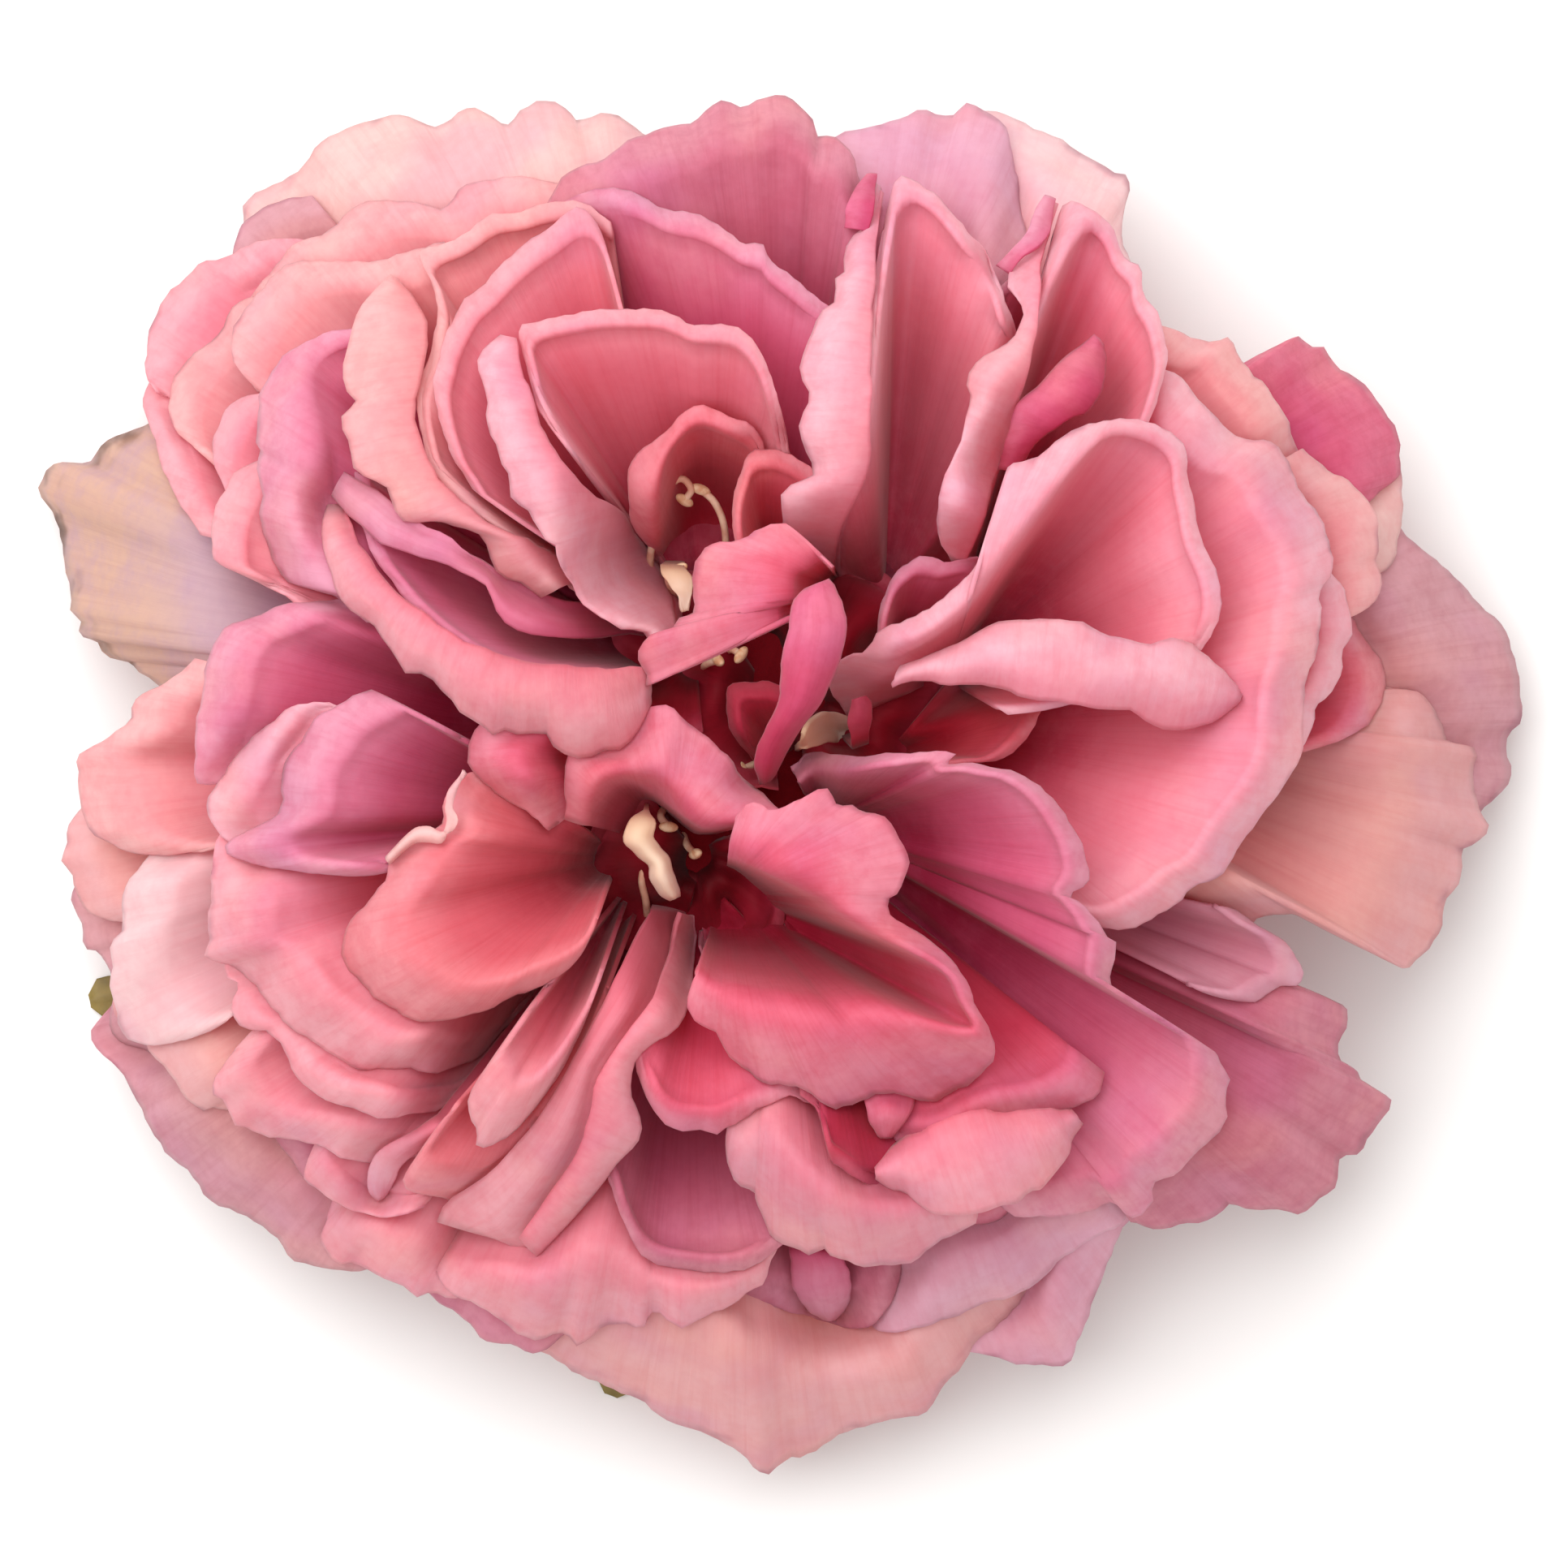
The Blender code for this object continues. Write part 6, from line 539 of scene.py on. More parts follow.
# %% The west quarter
WEST = [
    scoop("south_west_arch", root=(-5.6, -7.6), belly=2.6, crest=(-9.0, -6.0, -5.0, -5.0, -5.0, -4.0),
          lip=(-10.0, -8.0, -7.0, -7.0, -8.0, -6.0),
          rim=[(-13.2, -5.6), (-13.3, -3.0), (-12.8, -0.6), (-10.5, 1.2), (-7.6, 2.4), (-6.5, 2.8),
               (-5.0, 1.9), (-3.8, 1.0), (-2.5, -0.1), (-1.0, -1.6), (0.0, -2.4), (1.0, -2.9), (2.4, -4.2)],
          fold=[(-11.4, -6.4), (-11.3, -4.9), (-10.7, -3.4), (-9.9, -2.7), (-8.5, -2.7), (-7.0, -3.6),
                (-5.2, -4.7), (-3.6, -5.6), (-2.2, -6.1), (-0.8, -5.6), (0.2, -5.0), (1.4, -4.7)]),
    scoop("south_west_tip", root=(-8.6, -1.2), fold=0.6, crest=-4.0, lip=(-7.0, -8.0, -6.0, -5.0), claw=2.0,
          rim=[(-12.0, -4.4), (-12.5, -5.5), (-13.8, -6.9), (-15.0, -6.0), (-16.5, -5.0), (-18.0, -4.1),
               (-19.3, -3.4), (-20.4, -2.2), (-20.2, -0.8), (-19.0, 0.8), (-16.5, 2.4)]),
    scoop("south_west_heart", root=(-9.4, -8.4), fold=0.72, belly=0.45,
          crest=(-3.0, -2.0, -1.0, 0.0, 0.0, -2.0, -4.0), lip=(-4.0, -3.5, -3.0, -3.0, -4.0, -5.0, -7.0),
          rim=[(-15.5, -3.0), (-18.0, -2.0), (-20.2, -2.0), (-21.0, -2.5), (-21.5, -3.2), (-21.9, -4.2),
               (-22.1, -5.4), (-22.8, -6.0), (-24.8, -6.6), (-25.5, -7.3), (-26.2, -8.4), (-26.4, -9.3),
               (-28.0, -10.9), (-29.2, -12.0), (-30.0, -13.9), (-29.8, -15.0), (-29.3, -16.0),
               (-28.0, -17.5), (-26.5, -18.4), (-25.0, -19.2), (-24.0, -19.4), (-22.0, -19.2),
               (-20.0, -18.7), (-18.0, -17.8), (-15.6, -17.2), (-13.2, -15.6), (-11.8, -13.6)]),
    strip("south_fold_lip", arch=1.0, lean=1.6, lift=(-7.0, -5.4, -4.8, -5.0, -5.6, -6.4, -7.6),
          left=[(-3.6, -12.8), (-3.7, -16.0), (-3.9, -18.4), (-4.8, -20.9), (-6.8, -22.2), (-8.2, -23.8),
                (-8.2, -26.4), (-7.6, -29.0), (-9.5, -31.2), (-11.0, -33.3), (-13.0, -35.6),
                (-15.4, -38.2)],
          right=[(-4.8, -12.6), (-5.7, -16.0), (-6.8, -19.0), (-8.6, -21.5), (-10.6, -24.5), (-11.4, -27.5),
                 (-12.1, -30.0), (-14.0, -33.0), (-16.6, -36.6)]),
    strip("south_fold", root=(-5.8, -11.4), arch=1.3, lift=(-7.6, -6.2, -5.6, -5.6, -6.2, -7.4, -9.0),
          left=[(-7.0, -12.6), (-8.6, -15.5), (-9.9, -18.5), (-11.2, -21.0), (-12.8, -24.0), (-15.0, -27.6),
                (-16.9, -29.8), (-18.4, -31.5), (-20.4, -33.0), (-22.2, -34.2), (-22.8, -35.6)],
          right=[(-4.4, -12.6), (-5.3, -16.0), (-6.4, -19.0), (-8.2, -21.5), (-10.2, -24.5), (-11.0, -27.5),
                 (-11.9, -30.5), (-13.8, -34.0), (-16.0, -37.6), (-18.0, -37.0)]),
    scoop("south_west_lobe", root=(-8.4, -10.4), fold=0.72, crest=(-3.0, -1.0, -1.0, -2.0, -5.0),
          lip=(-5.0, -4.0, -4.0, -6.0, -8.0), claw=2.0,
          rim=[(-13.6, -16.6), (-15.5, -17.8), (-16.5, -19.0), (-17.5, -20.0), (-18.8, -21.5),
               (-20.2, -23.0), (-21.2, -24.0), (-21.1, -25.0), (-21.1, -26.5), (-20.7, -28.0),
               (-20.9, -29.2), (-19.4, -28.8), (-17.2, -26.8), (-15.2, -24.2), (-13.6, -21.6),
               (-12.0, -18.0)]),
    scoop("south_west_tongue", root=(-7.6, -11.2), fold=0.88, crest=(-2.0, -3.0, -3.0, -4.0, -8.0),
          lip=(-4.0, -6.0, -7.0, -7.0, -9.0), claw=2.0,
          rim=[(-22.5, -28.2), (-24.5, -30.3), (-25.3, -31.3), (-25.8, -32.3), (-25.2, -33.0),
               (-23.8, -33.2), (-22.0, -33.3), (-20.5, -32.5), (-19.0, -31.0), (-17.5, -29.0),
               (-16.0, -27.0), (-14.5, -24.8), (-13.3, -22.5), (-11.6, -18.6)]),
    strip("south_west_point", root=(-11.6, -14.4), arch=0.6, lift=(-6.0, -6.0, -7.0, -8.0),
          left=[(-22.6, -27.6), (-25.0, -29.2), (-27.3, -30.5), (-28.0, -32.5), (-27.4, -34.2)],
          right=[(-21.4, -28.4), (-23.5, -29.7), (-25.4, -31.2), (-26.0, -32.4), (-26.9, -33.9)]),
    scoop("west_mauve_upper", root=(-11.0, -5.4), fold=0.8, crest=(-3.0, -2.0, -1.0, 0.0, 0.0, 0.0),
          lip=(-5.0, -4.0, -3.0, -3.0, -3.0, -3.0),
          rim=[(-20.3, 0.2), (-21.3, 1.2), (-22.0, 1.8), (-23.0, 3.0), (-24.0, 3.8), (-25.0, 4.4),
               (-26.5, 4.7), (-28.0, 4.3), (-29.5, 3.5), (-31.0, 2.8), (-32.2, 1.6), (-33.6, 0.0),
               (-34.0, -1.5), (-33.8, -2.8), (-34.6, -3.8), (-36.2, -4.4), (-38.0, -5.0), (-38.4, -5.8),
               (-36.0, -6.8), (-32.0, -7.4), (-28.5, -7.8), (-26.6, -7.6)]),
    scoop("west_pale_lobe", root=(-11.6, -4.2), fold=0.86, crest=-1.0, lip=(-3.0, -4.0, -4.0, -3.0),
          rim=[(-30.6, 3.0), (-32.0, 3.2), (-33.8, 3.0), (-35.0, 2.2), (-36.5, 1.2), (-38.0, 0.0),
               (-39.0, -1.0), (-39.7, -2.3), (-39.5, -3.2), (-39.0, -4.0), (-38.2, -4.8), (-36.6, -5.4)]),
    scoop("west_mauve_top", root=(-14.0, 1.0), fold=0.84, crest=(-3.0, -1.0, 0.0, -1.0),
          lip=(-6.0, -4.0, -3.0, -4.0, -4.0),
          rim=[(-25.0, 11.4), (-28.0, 11.4), (-30.5, 10.9), (-32.0, 10.9), (-33.5, 11.0), (-35.0, 10.7),
               (-36.5, 10.3), (-38.0, 9.8), (-39.0, 8.5), (-39.8, 6.5), (-40.3, 4.5), (-40.6, 2.5),
               (-40.7, 1.0), (-40.9, -0.3), (-39.6, -0.3), (-38.0, 0.4), (-35.5, 1.2)]),
    scoop("south_west_shell", root=(-10.6, -7.2), fold=0.8, crest=(0.0, 0.0, -1.0, -2.0, -3.0),
          lip=(-2.0, -3.0, -4.0, -5.0, -6.0), pleats=((0.42, 0.05, 0.9),),
          rim=[(-33.0, -4.6), (-36.5, -4.9), (-38.3, -5.4), (-39.0, -6.6), (-39.4, -8.0), (-39.7, -10.0),
               (-39.8, -12.0), (-40.0, -13.7), (-40.5, -14.5), (-39.5, -15.0), (-38.0, -15.3),
               (-37.0, -16.5), (-36.0, -17.8), (-35.0, -18.9), (-34.0, -19.8), (-33.0, -20.7),
               (-31.8, -21.4), (-30.5, -22.2), (-29.5, -22.7), (-27.5, -22.8), (-26.3, -22.6),
               (-24.6, -23.2), (-22.5, -22.8), (-21.0, -22.0), (-19.5, -20.5), (-18.0, -19.4),
               (-16.0, -18.0)]),
    scoop("south_west_ring", root=(-10.0, -9.2), fold=0.88, crest=-1.5, lip=(-4.0, -4.0, -5.0, -5.0, -6.0),
          rim=[(-38.0, -14.0), (-38.6, -16.0), (-38.5, -17.0), (-37.8, -17.6), (-38.3, -18.5),
               (-38.0, -19.8), (-37.0, -20.4), (-36.0, -20.3), (-35.2, -21.0), (-34.7, -22.0),
               (-33.8, -23.5), (-32.5, -24.8), (-31.0, -25.5), (-29.0, -26.1), (-27.5, -26.3),
               (-26.0, -26.1), (-25.0, -26.2), (-24.0, -25.8), (-22.8, -25.0), (-22.2, -24.4),
               (-21.2, -24.0), (-19.6, -22.6)]),
    scoop("south_west_pale_ring", root=(-9.6, -9.9), fold=0.88, crest=-2.5, lip=(-6.0, -6.0, -7.0, -7.0),
          rim=[(-36.0, -20.6), (-38.5, -23.0), (-40.0, -25.0), (-39.3, -26.0), (-38.7, -27.3),
               (-37.8, -27.5), (-36.5, -28.0), (-35.0, -28.0), (-33.5, -28.5), (-32.3, -28.7),
               (-31.5, -29.3), (-30.0, -29.6), (-28.0, -29.7), (-27.0, -29.7), (-25.5, -29.0),
               (-24.3, -28.3), (-23.5, -27.5), (-22.0, -27.0), (-20.0, -25.6)]),
    scoop("south_west_coral", root=(-9.2, -10.4), fold=0.92, crest=-4.0, lip=-7.0, claw=2.0,
          rim=[(-31.0, -27.6), (-32.2, -29.0), (-32.8, -30.0), (-33.7, -31.5), (-32.0, -32.7),
               (-31.0, -33.2), (-29.5, -33.4), (-28.0, -33.4), (-26.6, -32.6)]),
    scoop("south_west_dusky", root=(-10.6, -9.0), fold=0.92, crest=-7.0, lip=-10.0, claw=2.0,
          rim=[(-36.0, -26.6), (-35.8, -28.4), (-35.0, -30.0), (-34.0, -31.0), (-33.0, -31.6),
               (-31.2, -31.4)]),
]

# %% Behind the north quarters
NORTH = [
    scoop("north_second_cup", root=(1.0, 10.6), fold=0.93, crest=(-1.0, 0.0, 1.0, 0.0, -3.0),
          lip=(-2.0, -1.0, 0.0, -1.0, -4.0),
          rim=[(-15.8, 36.0), (-14.8, 39.2), (-13.0, 40.6), (-11.0, 41.0), (-9.0, 40.4), (-7.5, 39.6),
               (-5.5, 39.0), (-3.0, 38.0), (-1.6, 36.7), (-0.8, 36.9), (-0.2, 36.5), (0.0, 35.8),
               (1.5, 34.8), (3.0, 33.5), (5.0, 32.0), (6.6, 29.4), (7.4, 26.0)]),
    scoop("north_mauve_back", root=(2.8, 10.8), fold=0.88, crest=(-2.0, 0.0, 0.0, 0.0, -1.0),
          lip=(-4.0, -3.0, -3.0, -3.0, -3.0), pleats=((0.55, 0.06, 1.0),),
          rim=[(-16.0, 38.0), (-14.8, 40.2), (-14.0, 41.8), (-12.5, 42.7), (-11.0, 43.5), (-9.5, 44.5),
               (-8.0, 45.2), (-7.0, 45.7), (-5.5, 46.1), (-4.5, 46.8), (-3.5, 47.6), (-2.0, 47.4),
               (-1.0, 48.0), (0.7, 48.3), (1.5, 47.5), (2.5, 46.7), (2.8, 45.6), (4.0, 45.3), (5.3, 44.0),
               (5.7, 42.3), (7.2, 41.0), (7.6, 38.5), (7.8, 34.0)]),
]

# %% The east
EAST = [
    scoop("east_coral_tongue", root=(10.4, -1.0), fold=0.93, crest=-10.0, lip=-11.0, claw=2.0,
          rim=[(12.0, -2.2), (17.0, -1.6), (19.3, -1.5), (20.8, -0.3), (21.8, 0.8), (22.6, 2.3),
               (22.0, 3.1), (20.0, 4.0), (16.5, 4.6)]),
    scoop("east_cup", root=(11.4, 1.0), fold=0.87, crest=(-2.0, -1.0, 0.0, -1.0, -2.0, -4.0),
          lip=(-4.0, -4.0, -4.0, -5.0, -7.0, -8.0), pleats=((0.3, 0.03, 0.5), (0.72, 0.04, 0.8)),
          rim=[(29.5, 28.3), (31.8, 27.7), (33.5, 25.7), (35.0, 24.3), (37.0, 23.1), (39.0, 22.9),
               (40.5, 20.5), (41.5, 19.0), (42.5, 17.5), (43.0, 15.5), (43.2, 14.0), (42.3, 12.6),
               (42.4, 11.0), (42.0, 8.5), (41.5, 6.0), (41.2, 1.0), (40.0, -1.5), (38.5, -3.5),
               (37.5, -4.8), (37.0, -6.3), (36.0, -7.8), (34.0, -8.6), (33.0, -9.8), (31.5, -11.0),
               (30.0, -11.9), (28.5, -11.9), (26.0, -11.0), (22.5, -9.0)]),
    scoop("east_low_lobe", root=(12.0, 3.0), fold=0.92, crest=-4.0, lip=-7.0,
          rim=[(42.3, 14.6), (43.8, 12.8), (44.6, 12.2), (45.0, 11.0), (45.0, 9.7), (44.3, 8.8),
               (44.2, 7.3), (43.5, 6.0), (42.5, 5.2), (42.2, 4.2), (41.5, 2.5), (40.6, 0.5)]),
    scoop("east_upper_lobe", root=(11.6, 5.0), fold=0.9, crest=-4.0, lip=-7.0,
          rim=[(41.6, 22.0), (43.5, 20.9), (44.8, 20.7), (45.5, 20.0), (46.5, 18.8), (46.9, 17.0),
               (46.6, 16.0), (46.8, 14.6), (46.0, 13.4), (44.5, 12.9), (42.6, 12.4)]),
    scoop("north_east_back", root=(10.8, 6.8), fold=0.9, crest=-3.0, lip=-6.0,
          rim=[(28.0, 30.6), (29.5, 31.5), (31.5, 31.1), (34.3, 30.8), (35.3, 31.3), (35.7, 30.2),
               (36.8, 29.0), (37.8, 28.5), (38.3, 27.2), (39.3, 26.0), (40.2, 24.3), (41.2, 24.0),
               (41.5, 22.5), (42.4, 21.0), (42.8, 18.6)]),
    scoop("east_small_coral", root=(12.4, 0.6), fold=0.92, crest=-9.0, lip=-12.0, claw=2.0,
          rim=[(42.0, -0.6), (46.0, 0.0), (47.0, 0.5), (48.1, 2.0), (47.8, 4.0), (46.4, 6.0), (45.2, 7.3),
               (44.3, 7.6), (42.6, 8.2)]),
]

# %% The south
SOUTH = [
    scoop("south_pocket", root=(-2.6, -11.2), fold=0.88, crest=-5.0, lip=-8.0, claw=2.0,
          rim=[(-8.2, -21.6), (-8.1, -23.2), (-7.9, -24.5), (-7.4, -26.0), (-6.9, -27.5), (-6.0, -28.3),
               (-4.8, -28.6), (-4.0, -28.3), (-3.0, -28.8), (-2.2, -28.5), (-1.2, -28.0), (0.5, -27.0),
               (2.0, -26.4), (3.5, -27.3), (5.0, -27.6), (6.5, -27.4), (7.6, -25.6)]),
    scoop("south_lip", root=(2.6, -10.6), crest=-4.0, lip=(-7.0, -8.0, -8.0, -8.0, -8.0),
          rim=[(-0.9, -26.0), (-1.2, -27.7), (-1.5, -29.0), (-1.6, -30.5), (-1.3, -32.0), (-0.5, -32.8),
               (0.1, -32.9), (0.1, -34.0), (0.5, -35.2), (1.0, -36.5), (1.8, -37.2), (2.8, -37.8),
               (3.5, -38.1), (4.3, -37.6), (4.8, -38.3), (5.8, -38.5), (6.3, -39.0), (7.5, -39.4),
               (9.0, -39.3), (10.2, -39.0), (11.5, -38.3), (13.0, -37.6), (14.3, -37.0), (14.6, -36.5),
               (14.3, -35.0), (13.8, -34.0)],
          fold=[(1.6, -25.4), (2.0, -27.0), (2.6, -28.5), (3.4, -30.3), (4.8, -32.0), (6.5, -33.6),
                (8.3, -34.2), (10.4, -34.2), (12.0, -34.2), (13.0, -33.6)]),
    scoop("south_east_sliver", root=(7.6, -8.4), fold=0.92, crest=-9.0, lip=-11.0, claw=2.0,
          rim=[(13.4, -33.6), (14.4, -35.0), (15.2, -35.7), (16.5, -36.1), (17.8, -35.7), (18.8, -35.1),
               (20.2, -34.4), (21.8, -33.4)]),
    scoop("south_cup", root=(-4.0, -11.6), fold=0.95, belly=2.0, crest=-7.0, lip=-7.5,
          rim=[(-10.8, -30.5), (-10.0, -33.0), (-9.7, -35.0), (-9.4, -36.3), (-8.8, -37.5), (-7.5, -38.6),
               (-6.5, -39.0), (-5.5, -39.2), (-3.0, -39.3), (-1.8, -39.1), (-0.5, -38.4), (1.0, -37.4),
               (2.6, -35.6)]),
    strip("south_small_pink", root=(3.6, -11.4), arch=1.0, lift=(-12.0, -13.0, -16.0),
          left=[(3.5, -37.4), (3.6, -40.0), (4.5, -41.8), (5.5, -42.7), (6.2, -43.2)],
          right=[(7.0, -37.8), (7.8, -39.6), (7.9, -41.0), (7.6, -42.2), (6.9, -43.1)]),
    scoop("south_frill", root=(-5.6, -11.2), crest=(-7.0, -6.0, -7.0, -8.0),
          lip=(-11.0, -12.0, -13.0, -12.0, -10.0),
          rim=[(-23.0, -39.4), (-22.3, -40.5), (-21.5, -41.3), (-20.0, -42.0), (-18.8, -42.6),
               (-17.8, -43.7), (-16.5, -44.2), (-15.2, -43.7), (-14.5, -44.0), (-14.0, -44.5),
               (-13.3, -44.0), (-12.5, -43.3), (-11.0, -43.1), (-9.6, -43.3), (-9.4, -42.6), (-8.8, -42.0),
               (-8.0, -42.8), (-7.2, -43.6), (-6.3, -43.2), (-5.0, -42.3), (-3.8, -42.0), (-2.8, -41.3),
               (-1.6, -40.7), (-1.3, -39.5), (-0.6, -38.0)],
          fold=[(-20.8, -38.6), (-19.5, -38.2), (-18.0, -38.1), (-16.0, -38.0), (-14.0, -37.0),
                (-12.0, -36.4), (-10.5, -37.0), (-9.0, -38.6), (-7.0, -39.6), (-5.0, -39.8), (-3.0, -39.6),
                (-2.0, -39.0), (-1.4, -37.6)]),
    scoop("south_dusky_inner", root=(0.8, -12.0), fold=0.9, crest=-12.0, lip=-15.0, claw=2.0,
          rim=[(-2.0, -39.0), (-1.6, -40.6), (0.0, -41.7), (2.0, -42.4), (4.0, -43.5), (5.9, -44.5),
               (7.2, -43.7), (8.0, -42.3), (8.6, -40.0)]),
]

# %% Below the south-east quarter
SOUTH_EAST_LOW = [
    scoop("south_east_flap", root=(10.0, -6.4), fold=0.93, crest=-7.0, lip=-9.0, claw=2.0,
          rim=[(36.6, -12.4), (38.5, -13.2), (40.0, -13.3), (41.5, -14.3), (42.2, -15.2), (41.9, -15.9),
               (40.6, -15.8), (39.6, -16.6), (38.6, -16.6), (37.4, -15.4), (36.0, -14.8)]),
    scoop("south_east_guard", root=(14.0, 4.0), fold=0.8, crest=(-6.0, -5.0, -6.0, -7.0, -8.0, -8.0),
          lip=(-9.0, -11.0, -13.5, -13.6, -12.0, -12.0),
          pleats=((0.3, 0.03, 0.8), (0.45, 0.03, 1.0), (0.6, 0.03, 0.7)),
          rim=[(27.6, -13.0), (30.0, -13.9), (33.0, -14.6), (35.0, -14.9), (37.2, -14.7), (37.8, -13.6),
               (40.0, -13.3), (41.7, -14.2), (43.0, -15.4), (44.3, -17.0), (45.4, -18.5), (47.3, -19.3),
               (48.5, -19.0), (49.5, -18.0), (50.5, -17.0), (51.2, -16.0), (51.5, -14.5), (52.3, -13.5),
               (52.7, -12.2), (53.0, -11.0), (54.0, -10.5), (55.0, -9.6), (54.3, -8.0), (54.2, -6.0),
               (54.2, -4.0), (52.6, -3.6), (51.8, -2.0), (50.5, 0.0), (48.5, 0.4), (46.0, 0.2),
               (43.0, 1.5)]),
    scoop("south_east_mauve", root=(8.6, -7.8), fold=0.75, crest=(-7.0, -6.0, -6.0, -7.0),
          lip=(-9.0, -10.0, -13.0, -13.0, -13.0),
          pleats=((0.3, 0.03, 0.9), (0.45, 0.03, 1.1), (0.6, 0.03, 0.9), (0.75, 0.03, 0.9)),
          rim=[(34.0, -14.0), (37.0, -15.0), (39.0, -16.6), (41.0, -16.8), (43.0, -17.0), (44.4, -17.2),
               (45.5, -18.5), (45.6, -19.8), (44.9, -21.3), (45.2, -22.1), (46.7, -22.4), (47.0, -23.2),
               (48.3, -23.7), (49.3, -23.8), (49.7, -24.4), (49.0, -25.6), (48.2, -27.0), (47.7, -28.0),
               (46.5, -28.4), (46.4, -29.8), (46.0, -30.5), (45.0, -31.3), (44.0, -32.2), (43.0, -32.0),
               (41.0, -32.0), (40.0, -31.8), (39.0, -31.5), (38.0, -32.2), (37.0, -32.8), (35.5, -33.2),
               (34.0, -33.6), (32.0, -33.0)]),
    scoop("south_south_east", root=(6.0, -10.4), fold=0.85, crest=(-9.0, -9.0, -8.0, -8.0),
          lip=(-13.0, -14.0, -13.0, -13.0), pleats=((0.35, 0.05, 0.8), (0.62, 0.04, 0.8)),
          rim=[(7.4, -39.5), (8.0, -42.0), (9.0, -43.5), (10.5, -44.3), (12.0, -43.8), (14.5, -43.0),
               (17.0, -42.3), (18.7, -41.8), (19.8, -41.2), (21.5, -40.0), (22.8, -39.0), (24.5, -38.0),
               (26.0, -37.6), (27.0, -37.0), (28.0, -36.4), (29.0, -36.1), (30.5, -35.3), (32.0, -35.0),
               (32.7, -34.3), (32.6, -32.0)]),
]

